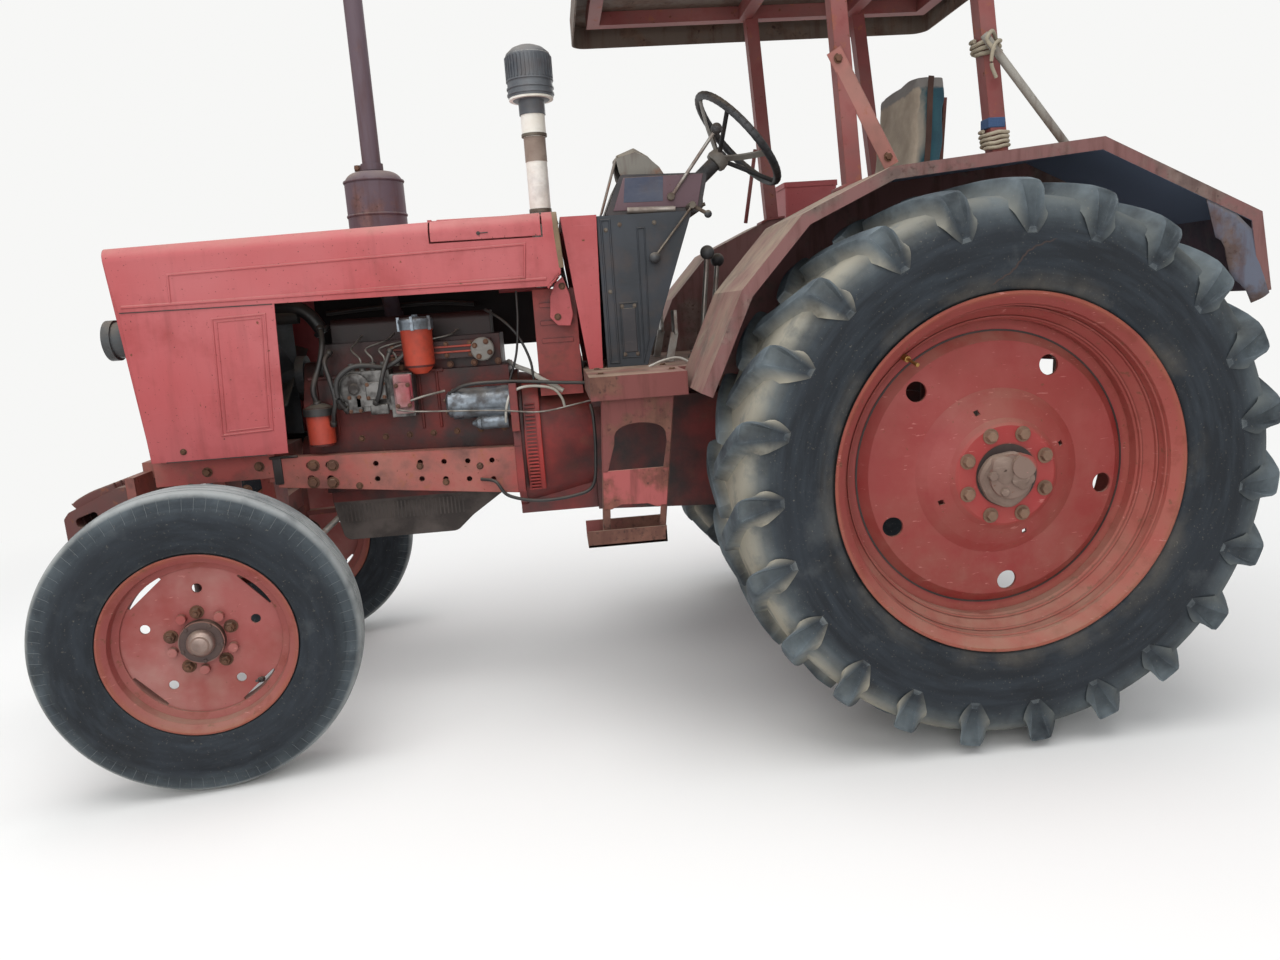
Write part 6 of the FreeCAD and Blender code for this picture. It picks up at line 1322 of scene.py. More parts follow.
def clip_ends(points, radius, size):
    """A hose with a short metal collar at each end: two wider rings on the first and last spans."""
    path = rounded_path(points, 8)
    collars = [rod(path[i], path[i] + (path[j] - path[i]) * size / np.linalg.norm(path[j] - path[i]), radius * 1.35, 14)
               for i, j in ((0, 1), (-1, -2))]
    return joined([hose(points, radius, 12)] + collars)


rubber_loops = joined([
    clip_ends([at(1.935, 0.262, 1.065), at(1.958, 0.286, 1.110), at(1.952, 0.292, 1.175), at(1.905, 0.288, 1.212),
               at(1.850, 0.276, 1.214), at(1.800, 0.262, 1.205), at(1.745, 0.250, 1.232), at(1.722, 0.246, 1.268)], 0.0085, 0.018),
    clip_ends([at(1.842, 0.280, 1.085), at(1.822, 0.296, 1.120), at(1.806, 0.298, 1.175), at(1.790, 0.280, 1.222),
               at(1.775, 0.258, 1.262)], 0.0075, 0.016),
    clip_ends([at(1.995, 0.242, 1.020), at(1.985, 0.262, 1.060), at(1.972, 0.270, 1.110), at(1.985, 0.262, 1.180),
               at(2.000, 0.235, 1.235), at(1.985, 0.200, 1.268)], 0.0080, 0.018),
    clip_ends([at(2.040, 0.232, 1.088), at(2.046, 0.240, 1.150), at(2.020, 0.220, 1.230), at(2.010, 0.190, 1.300),
               at(2.020, 0.150, 1.352)], 0.0095, 0.018)])
piece("fuel_hoses", rubber_loops, GREASY_BLACK, "chassis", "black_plastic", smooth=60)
print("pump dressed with", len(outlets), "lines")

# %% [markdown]
# The filter bowls are thin pressed cups with a clamped cap: the finer one is orange red with
# a silver cap and hangs off the manifold side. Each is one profile turned about its own axis.

# %% Filters, starter and the side manifold
def cup(centre, profile, steps=36):
    """A profile of (height, radius) turned about an upright axis through the centre."""
    return turned(profile, steps).moved(basis((0, 0, 1), (1, 0, 0)), centre)


BOWL_RED = oily_casting("filter_bowl", tone(196, 70, 44), tone(150, 46, 32), oil=0.3, dust=0.25).done()
filter_bowl = cup(at(1.688, 0.238, 1.196), [(-0.022, 0.0), (-0.022, 0.025), (-0.010, 0.038), (0.002, 0.0480), (0.010, 0.0512),
                                             (0.118, 0.0520), (0.122, 0.0550), (0.128, 0.0550), (0.128, 0.0)])
filter_cap = cup(at(1.688, 0.238, 1.321), [(0.0, 0.0), (0.0, 0.0575), (0.020, 0.0578), (0.024, 0.0600), (0.031, 0.0600),
                                            (0.036, 0.0560), (0.0405, 0.048), (0.0405, 0.0)])
piece("filter_bowl", filter_bowl, BOWL_RED, "chassis", "engine_red", smooth=40)
filter_nuts = bolts([at(1.688, 0.238, 1.3630)], (0, 0, 1), 0.011, 0.008)
cap_clips = joined([block(at(1.688 + 0.057 * math.cos(a) - 0.005, 0.238 + 0.057 * math.sin(a) - 0.005, 1.318),
                          at(1.688 + 0.057 * math.cos(a) + 0.005, 0.238 + 0.057 * math.sin(a) + 0.005, 1.364))
                    for a in (0.4, 1.5, 2.6)])
piece("filter_cap", joined([filter_cap, filter_nuts, cap_clips]), BRIGHT_STEEL, "chassis", "bare_steel", smooth=40)
coarse_low, coarse_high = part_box("fuel_filters")
coarse = cup(at(2.040, 0.225, 0.953), [(0.0, 0.0), (0.001, 0.034), (0.010, 0.0436), (0.104, 0.0445), (0.106, 0.0)])
coarse_cap = cup(at(2.040, 0.225, 1.058), [(0.0, 0.0), (0.0, 0.0525), (0.024, 0.0525), (0.030, 0.040), (0.040, 0.018), (0.040, 0.0)])
piece("coarse_bowl", coarse, BOWL_RED, "chassis", "engine_red", smooth=40)
piece("coarse_cap", coarse_cap, GREASY_BLACK, "chassis", "black_plastic", smooth=40)
STARTER_X0, STARTER_X1, STARTER_MID_Z, STARTER_Y = 1.397, 1.604, 1.062, 0.240
along_x = basis((1, 0, 0))
starter_bands = joined([turned([(a, 0.049), (a, 0.0532), (b, 0.0532), (b, 0.049)], 40).moved(along_x, at(0, STARTER_Y, STARTER_MID_Z))
                        for a, b in ((1.405, 1.424), (1.468, 1.480), (1.560, 1.574))])
starter_end = turned([(1.590, 0.0), (1.590, 0.046), (1.604, 0.044), (1.611, 0.034), (1.613, 0.0)], 36).moved(
    along_x, at(0, STARTER_Y, STARTER_MID_Z))
solenoid_end = turned([(1.500, 0.0), (1.500, 0.020), (1.512, 0.019), (1.518, 0.012), (1.530, 0.006), (1.530, 0.0)], 20).moved(
    along_x, at(0, 0.262, 0.994))
piece("starter_bands", joined([starter_bands, starter_end, solenoid_end]), BRIGHT_STEEL, "chassis", "bare_steel", smooth=40)
starter_studs = bolts([at(1.613, STARTER_Y + 0.028 * math.cos(a), STARTER_MID_Z + 0.028 * math.sin(a)) for a in (0.6, 2.5, 4.6)],
                      (1, 0, 0), 0.0055, 0.006)
piece("starter_studs", starter_studs, BOLT_BROWN, "chassis", "rusty_steel")
manifold_flange = turned([(0.0, 0.0), (0.0, 0.040), (0.014, 0.040), (0.018, 0.036), (0.020, 0.0)], 32).moved(
    basis((0, 1, 0)), at(1.478, 0.186, 1.240))
piece("manifold_flange", manifold_flange, GREY_CAST, "chassis", "bare_steel")
manifold_bolts = bolts([at(x, 0.188, z) for x in (1.520, 1.600, 1.780) for z in (1.226, 1.264)]
                       + [at(1.478 + 0.028 * math.cos(a), 0.206, 1.240 + 0.028 * math.sin(a)) for a in (0.5, 2.1, 3.6, 5.2)],
                       (0, 1, 0), 0.0070, 0.007)
manifold_ribs = joined([block(at(1.45, 0.186, z), at(1.80, 0.196, z + 0.007)) for z in (1.234, 1.252)])
piece("manifold_ribs", manifold_ribs, BOWL_RED, "chassis", "engine_red", bevel=0.002)
block_bolts = bolts([at(x, 0.170, z) for x in np.arange(1.43, 2.0, 0.082) for z in (1.195, 0.962)], (0, 1, 0), 0.0085, 0.008)
piece("engine_bolts", joined([manifold_bolts, block_bolts]), BOLT_BROWN, "chassis", "rusty_steel")
block_ribs = joined([block(at(x, 0.168, 0.98), at(x + 0.010, 0.176, 1.18)) for x in (1.640, 1.700, 1.990, 2.048)]
                    + [block(at(1.62, 0.168, 1.172), at(2.08, 0.177, 1.184))])
piece("block_ribs", block_ribs, ENGINE_RED, "chassis", "engine_red", bevel=0.003)
print("filters, starter and manifold dressed")

# %% [markdown]
# Fine cooling ribs cover the front of the clutch bell, and more run under the sump. They are
# many and simple, so one rib is made and copied in a single array product.

# %% Ribs on the bell and the sump, bright bell face
BELL_RED = oily_casting("bell_red", tone(168, 46, 40), tone(124, 32, 28), oil=0.45, dust=0.15).done(bevel=0.002)
BELL_Z = 0.895


def arc_rib(x, width, inner, outer, start, end, steps=24):
    """A rib round the bell: a rectangular section swept through an arc of the given angles about X."""
    a = np.radians(np.linspace(start, end, steps))
    ring = lambda r, px: np.stack([np.full(steps, px), r * np.cos(a), BELL_Z + r * np.sin(a)], -1)
    rows = np.stack([ring(inner, x), ring(outer, x), ring(outer, x + width), ring(inner, x + width)], 1)
    ends = fan_faces(range(4)) + fan_faces(range((steps - 1) * 4, steps * 4), True)
    return outwards(Shape(rows.reshape(-1, 3) + at(0, 0, 0), grid_faces(steps, 4, False, True).tolist() + ends))


bell_plate = arc_rib(1.300, 0.060, 0.225, 0.2585, -38, 62)
piece("bell_plate", bell_plate, BELL_RED, "chassis", "engine_red", bevel=0.003)
rib_z = np.arange(0.742, 1.052, 0.0125)
bell_half = np.sqrt(np.maximum(0.2585 ** 2 - (rib_z - BELL_Z) ** 2, 0.0))
one_rib = block((1.318, 0.0, -0.0028), (1.352, 0.010, 0.0028))
bell_ribs = copies(one_rib, np.repeat(np.eye(3)[None], len(rib_z), 0),
                   np.stack([np.full(len(rib_z), AXLE_X), bell_half - 0.004, rib_z], -1))
piece("bell_ribs", bell_ribs, BELL_RED, "chassis", "engine_red")
bell_bolts = bolts([at(1.392, 0.243 * math.cos(math.radians(a)), BELL_Z + 0.243 * math.sin(math.radians(a)))
                    for a in range(-30, 100, 18)], (-1, 0, 0), 0.0090, 0.008)
piece("bell_bolts", bell_bolts, BOLT_BROWN, "chassis", "rusty_steel")
sump_rib = block((0, 0, 0), (0.005, 0.004, 0.060))
sump_x = np.arange(1.60, 2.02, 0.0135)
SUMP_GREY = dull_plastic("dusty_sump", tone(80, 73, 69), tone(56, 50, 47), dust=0.3, rough=0.8).done(bevel=0.001)
sump_ribs = joined([copies(sump_rib, np.repeat(np.eye(3)[None], len(sump_x), 0),
                           np.stack([sump_x + AXLE_X, np.full(len(sump_x), y), np.full(len(sump_x), 0.668)], -1))
                    for y in (0.1482, -0.1522)])
piece("sump_ribs", sump_ribs, SUMP_GREY, "chassis", "engine_red")
print("bell ribs", len(rib_z), "sump ribs", len(sump_x))

# %% [markdown]
# Last come the loose runs: a thin throttle rod from the pump back to the platform, a wire in
# white sleeving over the bell, and a black cable that hangs in a shallow loop under it. Each
# is fixed at both ends to the machine, so it is modelled where it lies.

# %% Throttle rod, wires, cables and the radiator hoses
WIRE_WHITE = dull_plastic("white_sleeve", tone(196, 194, 186), tone(150, 144, 132), dust=0.2).done()
throttle_run = joined([hose([at(1.770, 0.292, 1.062), at(1.700, 0.300, 1.052), at(1.450, 0.300, 1.036), at(1.300, 0.300, 1.020),
                             at(1.180, 0.300, 1.036), at(1.090, 0.296, 1.052)], 0.0028, 8, up=(0, 1, 0)),
                       hose([at(1.760, 0.286, 1.078), at(1.690, 0.286, 1.098), at(1.610, 0.270, 1.112)], 0.0040, 8, up=(0, 1, 0))])
piece("throttle_rod", throttle_run, LINE_STEEL, "chassis", "bare_steel", smooth=60)
white_runs = joined([
    hose([at(1.418, 0.266, 0.990), at(1.410, 0.290, 1.040), at(1.392, 0.292, 1.085), at(1.350, 0.286, 1.106), at(1.290, 0.278, 1.104),
          at(1.245, 0.276, 1.090), at(1.222, 0.272, 1.060), at(1.214, 0.262, 1.030)], 0.0046, 10, up=(0, 1, 0)),
    hose([at(1.400, 0.05, 1.185), at(1.370, 0.12, 1.168), at(1.320, 0.20, 1.150), at(1.290, 0.235, 1.128), at(1.250, 0.255, 1.106),
          at(1.215, 0.262, 1.082)], 0.0085, 10, up=(0, 1, 0))])
piece("white_sleeves", white_runs, WIRE_WHITE, "chassis", "intake_white", smooth=60)
black_runs = joined([
    hose([at(1.600, 0.262, 1.100), at(1.540, 0.284, 1.126), at(1.440, 0.288, 1.130), at(1.340, 0.280, 1.124), at(1.230, 0.274, 1.112),
          at(1.140, 0.270, 1.104)], 0.0060, 10, up=(0, 1, 0)),
    hose([at(1.520, 0.262, 0.800), at(1.470, 0.292, 0.792), at(1.430, 0.300, 0.742), at(1.330, 0.300, 0.716), at(1.210, 0.300, 0.722),
          at(1.140, 0.298, 0.752), at(1.122, 0.292, 0.860), at(1.120, 0.284, 0.980), at(1.126, 0.270, 1.030)], 0.0058, 10, up=(0, 1, 0)),
    hose([at(1.345, 0.225, 1.425), at(1.348, 0.232, 1.330), at(1.362, 0.236, 1.220), at(1.392, 0.240, 1.130), at(1.402, 0.250, 1.100)],
         0.0040, 8, up=(0, 1, 0)),
    hose([at(1.460, 0.150, 1.372), at(1.400, 0.190, 1.330), at(1.350, 0.215, 1.270), at(1.318, 0.224, 1.190), at(1.312, 0.226, 1.120)],
         0.0045, 8, up=(0, 1, 0)),
    hose([at(1.52, -0.20, 1.40), at(1.68, -0.24, 1.415), at(1.90, -0.25, 1.410), at(2.08, -0.22, 1.40)], 0.009, 10, up=(0, 1, 0))])
piece("black_cables", black_runs, GREASY_BLACK, "chassis", "black_plastic", smooth=60)
radiator_hoses = joined([
    clip_ends([at(2.030, 0.060, 1.330), at(2.072, 0.066, 1.395), at(2.130, 0.070, 1.427), at(2.240, 0.070, 1.427),
               at(2.300, 0.070, 1.396)], 0.024, 0.016),
    clip_ends([at(2.070, -0.090, 0.975), at(2.125, -0.112, 0.950), at(2.240, -0.122, 0.950), at(2.312, -0.120, 0.985)],
              0.026, 0.016)])
piece("radiator_hoses", radiator_hoses, GREASY_BLACK, "chassis", "black_plastic", smooth=60)
print("hoses and cables in place")

# %% [markdown]
# The bay's rear end is closed by two near-black sheets behind the engine, and on the right by
# a flap that is red outside and near black inside; that near black is soot and painted shade,
# so no daylight shows there. On the left a bent bracket plate joins the hood's rear edge to the
# bulkhead.

# %% Rear flap of the bay, near-black sheets behind the engine, and bracket
# Soot and painted shade: these near-black sheets stand behind the engine, where the bay is dark.
SOOT_AND_SHADE_SHEET = dull_plastic("soot_and_shade_sheet", tone(20, 18, 18), tone(34, 29, 28), dust=0.15, rough=0.8).done()
bay_flap = block(at(1.294, -0.306, 1.236), at(1.436, -0.303, 1.436))
firewall = joined([slab([at(x, 0, z)[[0, 2]] for x, z in line], "xz", y0, y1) for y0, y1, line in (
    (-0.312, 0.262, ((1.168, 1.420), (1.171, 1.420), (1.199, 1.600), (1.196, 1.600))),
    (-0.292, 0.210, ((1.128, 1.080), (1.131, 1.080), (1.172, 1.410), (1.169, 1.410))))])
piece("firewall", firewall, SOOT_AND_SHADE_SHEET, "chassis", "black_plastic")
piece("bay_flap", bay_flap, cover_paint("flap_paint", -0.3055), "chassis", "black_plastic")
bracket = slab([at(x, 0, z)[[0, 2]] for x, z in ((1.186, 1.462), (1.214, 1.440), (1.232, 1.400), (1.238, 1.330), (1.214, 1.302),
                                               (1.172, 1.298), (1.160, 1.335), (1.166, 1.400))], "xz", 0.262, 0.266)
piece("hood_bracket", bracket, HOOD_RED, "chassis", "faded_red", bevel=0.0015)
bracket_bolts = bolts([at(1.190, 0.266, 1.430), at(1.212, 0.266, 1.330)], (0, 1, 0), 0.009, 0.007)
piece("bracket_bolts", bracket_bolts, BOLT_BROWN, "chassis", "rusty_steel")
print("bay closed at the rear")
# %% [markdown]
# # The operator's place
#
# The console is a folded sheet, dark blue once. Its sides carry pressed strips that stiffen
# the flat sheet, and a lower panel closed by bolts. On top sits the instrument box, maroon
# with a scratched blue patch, and on that a peaked cover someone folded out of grey sheet.

# %% Console strips, panel and bolts
CONSOLE_Y = 0.290


def strip(points, width, rise, side=1):
    """A pressed strip on the console's side: a low arch section along a line of (x, z)."""
    path = np.array([at(x, CONSOLE_Y, z) for x, z in points])
    half = width / 2
    section = np.array([(-0.0012, -half), (rise, -0.45 * half), (rise, 0.45 * half), (-0.0012, half)])
    return swept(section, path, up=(1, 0, 0.01)) if side > 0 else swept(section, path, up=(1, 0, 0.01)).mirrored()


console_strips = joined([
    frame_bead([at(1.046, CONSOLE_Y, 1.165), at(1.046, CONSOLE_Y, 1.632), at(1.018, CONSOLE_Y, 1.632),
                at(1.018, CONSOLE_Y, 1.165)], (0, 1, 0), 0.004, 0.0035),
    frame_bead([at(0.932, CONSOLE_Y, 1.172), at(0.928, CONSOLE_Y, 1.600), at(0.904, CONSOLE_Y, 1.600),
                at(0.912, CONSOLE_Y, 1.240)], (0, 1, 0), 0.003, 0.0030),
    frame_bead([at(1.004, CONSOLE_Y, 1.180), at(1.004, CONSOLE_Y, 1.360), at(0.945, CONSOLE_Y, 1.360),
                at(0.945, CONSOLE_Y, 1.180)], (0, 1, 0), 0.003, 0.0025)])
piece("console_strips", both_sides(console_strips), CONSOLE_BLUE, "chassis", "dark_blue")
console_bolts = bolts([at(x, CONSOLE_Y, z) for x, z in ((0.996, 1.190), (0.953, 1.190), (0.996, 1.350), (0.953, 1.350),
                                                       (1.032, 1.40), (1.032, 1.60), (0.985, 1.615), (0.870, 1.615))],
                      (0, 1, 0), 0.0055, 0.005)
panel_low = block(at(0.952, 0.2895, 1.197), at(0.997, 0.2925, 1.343))
piece("console_panel", both_sides(panel_low), BOX_BLACK, "chassis", "dark_blue", bevel=0.002)
SADDLE_STEEL = worn_metal("dusty_steel", tone(120, 112, 102), tone(84, 66, 54), rust=0.8, rough=0.55).done(bevel=0.001)
piece("console_bolts", both_sides(console_bolts), SADDLE_STEEL, "chassis", "rusty_steel")
print("console strips", len(console_strips.faces), "faces a side")

# %% Instrument box: trim, gauges, key switch and the peaked cover
BOX_MAROON = faded_paint("box_maroon", tone(88, 60, 68), tone(112, 92, 98), tone(56, 46, 56), dust=0.9,
                         worn=0.8).done(bevel=0.002)
BOX_BLUE = dull_plastic("scratched_blue", tone(48, 56, 78), tone(84, 88, 100), dust=0.2, rough=0.5).done(bevel=0.001)
box_panel = slab([at(*p)[[0, 2]] for p in ((0.998, 0, 1.664), (0.957, 0, 1.770), (0.688, 0, 1.770), (0.712, 0, 1.664))],
                 "xz", 0.2295, 0.2325)
piece("box_side_panel", both_sides(box_panel), BOX_MAROON, "chassis", "maroon", bevel=0.0015)
patch_shape = slab([at(*p)[[0, 2]] for p in ((0.962, 0, 1.690), (0.952, 0, 1.769), (0.824, 0, 1.768), (0.829, 0, 1.688))],
                   "xz", 0.2320, 0.2334)
piece("box_blue_patch", both_sides(patch_shape), BOX_BLUE, "chassis", "dark_blue")
dash_out = np.array([-0.972, 0, 0.236])
dash_turn = basis(dash_out)


def on_dash(y, up, lift=0.0):
    """A point on the box's rear face, which leans a little: y across, `up` along the face."""
    return at(0.6875, y, 1.7095) + up * np.array([-0.236, 0, 0.972]) + lift * dash_out


dial = turned([(0.0, 0.0), (0.0, 0.034), (0.004, 0.035), (0.006, 0.032), (0.0045, 0.030), (0.0045, 0.0)], 32)
gauges = joined([dial.moved(dash_turn, on_dash(y, 0.010)) for y in (-0.155, -0.070, 0.015, 0.100)])
piece("gauge_rims", gauges, BLACK_PLASTIC, "chassis", "black_plastic")
DIAL_FACE = dull_plastic("faded_dial", tone(170, 168, 156), tone(120, 116, 104), dust=0.4, rough=0.4).done()
faces = joined([turned([(0.0044, 0.0), (0.0044, 0.0295), (0.0054, 0.0295), (0.0054, 0.0)], 28).moved(
    dash_turn, on_dash(y, 0.010)) for y in (-0.155, -0.070, 0.015, 0.100)])
piece("gauge_faces", faces, DIAL_FACE, "chassis", "intake_white")
switches = joined([turned([(0.0, 0.0), (0.0, 0.010), (0.006, 0.010), (0.010, 0.007), (0.018, 0.006), (0.019, 0.0)], 16)
                  .moved(dash_turn, on_dash(y, -0.040)) for y in (-0.19, -0.11, -0.03, 0.05, 0.13, 0.19)])
piece("dash_switches", switches, SADDLE_STEEL, "chassis", "bare_steel")
peak_line = [(0.952, 1.772), (0.962, 1.800), (0.970, 1.858), (0.908, 1.882), (0.862, 1.852), (0.830, 1.812), (0.815, 1.778)]
peak_y = np.linspace(-0.020, 0.205, 6)
lift = np.array([0.80, 0.97, 1.0, 0.98, 0.93, 0.72])
ridge = np.array([[(x, y, 1.772 + (z - 1.772) * k) for x, z in peak_line] for y, k in zip(peak_y, lift)])
ridge[:, :, 0] += 0.004 * np.sin(np.arange(6) * 1.7)[:, None]
ridge += at(0, 0, 0)
PEAK_GREY = rusty_sheet("grey_folded_sheet", tone(122, 118, 110), rust=tone(96, 84, 74), left=0.8, dust=0.8).done()
ends = fan_faces(range(7), True) + fan_faces(range(35, 42))
peak = outwards(Shape(ridge, grid_faces(6, 7, False, True).tolist() + ends))
flap = slab([at(x, 0, z)[[0, 2]] for x, z in ((0.966, 1.848), (0.971, 1.850), (1.036, 1.664), (1.031, 1.662))],
            "xz", 0.010, 0.190)
piece("peaked_cover", joined([peak, flap]), PEAK_GREY, "chassis", "bare_steel", smooth=25, bevel=0.003)
GRAB_PALE = worn_metal("pale_bar", tone(168, 160, 152), tone(110, 90, 80), rust=0.6, rough=0.5).done()
grab = joined([rod(at(0.953, 0.248, 1.6625), at(0.791, 0.248, 1.6585), 0.0105),
               block(at(0.935, 0.226, 1.655), at(0.948, 0.250, 1.668)), block(at(0.800, 0.226, 1.652), at(0.813, 0.250, 1.665))])
piece("grab_bar", grab, GRAB_PALE, "chassis", "bare_steel", bevel=0.001)
print("instrument box dressed")

# %% [markdown]
# The steering wheel's rim is thick black plastic with finger waves, its three spokes are
# plated flat bars gone dull, and a grey cast cap covers the nut. They're set square to the
# column, which leans back at 41 degrees.

# %% Steering wheel, throttle and lever knobs
LEAN = math.radians(41)
WHEEL_MID = (0.515, 0.0, 1.911)
down_column = np.array([math.cos(LEAN), 0, -math.sin(LEAN)])
wheel_turn = basis(-down_column, (0.656, 0, 0.755))
tube = np.linspace(0, 2 * np.pi, 12, endpoint=False)
rim_shape = turned(np.stack([0.0142 * np.sin(tube), 0.1985 + 0.0142 * np.cos(tube)], -1), 132,
                   ripple=lambda a, y: 0.0009 * np.sin(44 * a))
piece("steering_rim", rim_shape.moved(wheel_turn, at(*WHEEL_MID)), BLACK_PLASTIC, "steering_wheel", "black_plastic", smooth=60)
cap_profile = [(-0.120, 0.0), (-0.120, 0.036), (-0.108, 0.040), (-0.086, 0.037), (-0.074, 0.028), (-0.068, 0.012),
               (-0.067, 0.0)]
hub_shape = turned(cap_profile, 36).moved(wheel_turn, at(*WHEEL_MID))
flat = []
for turn_a in np.radians([180, 300, 60]):
    across = wheel_turn @ np.array([math.sin(turn_a), 0, -math.cos(turn_a)])
    start = at(*WHEEL_MID) + down_column * 0.086 + across * 0.026
    bend = at(*WHEEL_MID) + down_column * 0.050 + across * 0.110
    end = at(*WHEEL_MID) + down_column * 0.003 + across * 0.196
    flat.append(swept(rectangle(0.026, 0.0075, 0.002), rounded_path([start, bend, end], 6), up=tuple(-down_column)))
piece("steering_hub", hub_shape, GREY_CAST, "steering_wheel", "bare_steel", smooth=45)
piece("steering_spokes", joined(flat), GREY_CAST, "steering_wheel", "bare_steel")
throttle = joined([rod(at(0.742, 0.309, 1.660), at(0.872, 0.311, 1.508), 0.0040, 12),
                   rod(at(0.742, 0.226, 1.662), at(0.742, 0.314, 1.662), 0.012, 16),
                   rod(at(0.742, 0.300, 1.662), at(0.692, 0.300, 1.632), 0.0065, 12),
                   rod(at(0.802, 0.226, 1.700), at(0.802, 0.247, 1.700), 0.0130, 16)])
piece("throttle_lever", throttle, SADDLE_STEEL, "chassis", "bare_steel")
ball = lambda r: turned([(-r, 0.0)] + [(-r * math.cos(a), r * math.sin(a)) for a in np.linspace(0.2, 2.94, 12)] + [(r, 0.0)], 24)
knobs = joined([ball(0.0185).moved(None, at(0.878, 0.312, 1.500)), ball(0.013).moved(None, at(0.690, 0.300, 1.631)), ball(0.0255).moved(None, at(0.660, 0.070, 1.520)),
                ball(0.0255).moved(None, at(0.590, -0.120, 1.500)), ball(0.0190).moved(None, at(0.640, 0.260, 1.905))])
piece("lever_knobs", knobs, BLACK_PLASTIC, "chassis", "black_plastic", smooth=80)
boots = joined([turned([(0.0, 0.0), (0.0, 0.050), (0.010, 0.046), (0.016, 0.036), (0.024, 0.040), (0.030, 0.028),
                        (0.038, 0.031), (0.044, 0.019), (0.060, 0.013), (0.060, 0.0)], 28).moved(
    basis((0, 0, 1), (1, 0, 0)), at(x, y, 1.150)) for x, y in ((0.700, 0.060), (0.640, -0.070))])
piece("lever_boots", boots, BLACK_RUBBER, "chassis", "black_plastic", smooth=50)
pull = hose([at(0.930, 0.40, 1.150), at(0.880, 0.405, 1.168), at(0.830, 0.400, 1.172), at(0.790, 0.395, 1.152)], 0.004, 8)
piece("floor_wire", pull, WIRE_WHITE, "chassis", "intake_white", smooth=60)
plate_bolts_at = [at(x, y, 1.150) for x in (0.10, 0.36, 0.62, 0.88, 1.10) for y in (-0.60, -0.36, 0.36, 0.60)]
piece("platform_bolts", bolts(plate_bolts_at, (0, 0, 1), 0.010, 0.006), BOLT_BROWN, "chassis", "rusty_steel")
print("steering wheel and levers dressed")
# %% [markdown]
# # The seat
#
# The seat's vinyl is long gone: the back is wrapped in sacking and old cloth, khaki in front,
# faded teal behind, tied with a strip of brown, and a grey rag lies over the top. A pad takes
# its shape from what fills it, so it is blown up a little as cloth: remeshed evenly, swollen
# by a small pressure with its movement capped, then smoothed once.

# %% Blow a pad up as cloth
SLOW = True


def puffed(name, shape, finish, slot, cap, replaces, pull=None, voxel=0.006, pressure=4.0):
    """A pad: remeshed shape p swollen to q by cloth pressure, each point moved by (q - p) min(1, cap / |q - p|)."""
    pad = piece(name, shape, finish, "chassis", slot, smooth=180, replaces=replaces)
    mesh_mod = pad.modifiers.new("even", "REMESH")
    mesh_mod.mode, mesh_mod.voxel_size = "VOXEL", voxel
    graph = bpy.context.evaluated_depsgraph_get()
    even = bpy.data.meshes.new_from_object(pad.evaluated_get(graph))
    pad.modifiers.clear()
    pad.data = even
    start = np.empty(len(even.vertices) * 3)
    even.vertices.foreach_get("co", start)
    start = start.reshape(-1, 3)
    place_now = start
    if SLOW:
        cloth = pad.modifiers.new("swell", "CLOTH")
        cloth.settings.use_pressure, cloth.settings.uniform_pressure_force = True, pressure
        cloth.settings.effector_weights.gravity = 0.0
        cloth.settings.quality = 5
        cloth.point_cache.frame_start, cloth.point_cache.frame_end = 1, 20
        for step in range(1, 21):
            scene.frame_set(step)
        graph = bpy.context.evaluated_depsgraph_get()
        swollen = bpy.data.meshes.new_from_object(pad.evaluated_get(graph))
        pad.modifiers.clear()
        moved_to = np.empty(len(swollen.vertices) * 3)
        swollen.vertices.foreach_get("co", moved_to)
        bpy.data.meshes.remove(swollen)
        step_by = moved_to.reshape(-1, 3) - start
        far = np.linalg.norm(step_by, axis=1, keepdims=True)
        place_now = start + step_by * np.minimum(1.0, cap / np.maximum(far, 1e-9))
        scene.frame_set(1)
    if pull is not None:
        place_now = place_now + pull(place_now)
    even.vertices.foreach_set("co", place_now.ravel())
    even.materials.clear()
    even.materials.append(finish)
    even.update()
    even.shade_smooth()
    finer = pad.modifiers.new("finer", "SUBSURF")
    finer.levels = finer.render_levels = 1
    return pad


def pad_block(low, high, crown, rows=(9, 7, 5)):
    """A box of points drawn in at its edges: each side bulges by crown times (1 - u^2)(1 - v^2)."""
    base = block((-1, -1, -1), (1, 1, 1))
    shape = base
    for _ in range(3):
        mesh = bpy.data.meshes.new("scratch")
        mesh.from_pydata(shape.points.tolist(), [], shape.faces)
        thing = bpy.data.objects.new("scratch", mesh)
        scene.collection.objects.link(thing)
        thing.modifiers.new("cut", "SUBSURF").subdivision_type = "SIMPLE"
        made = bpy.data.meshes.new_from_object(thing.evaluated_get(bpy.context.evaluated_depsgraph_get()))
        points = np.empty(len(made.vertices) * 3)
        made.vertices.foreach_get("co", points)
        shape = Shape(points.reshape(-1, 3), [list(f.vertices) for f in made.polygons])
        bpy.data.objects.remove(thing)
        bpy.data.meshes.remove(mesh)
        bpy.data.meshes.remove(made)
    unit = shape.points
    middle, half = (np.asarray(low) + high) / 2, (np.asarray(high) - low) / 2
    bulge = np.stack([unit[:, i] * (1 - unit[:, (i + 1) % 3] ** 2) * (1 - unit[:, (i + 2) % 3] ** 2) for i in range(3)], -1)
    return Shape(middle + unit * (half - crown) + bulge * crown, shape.faces)


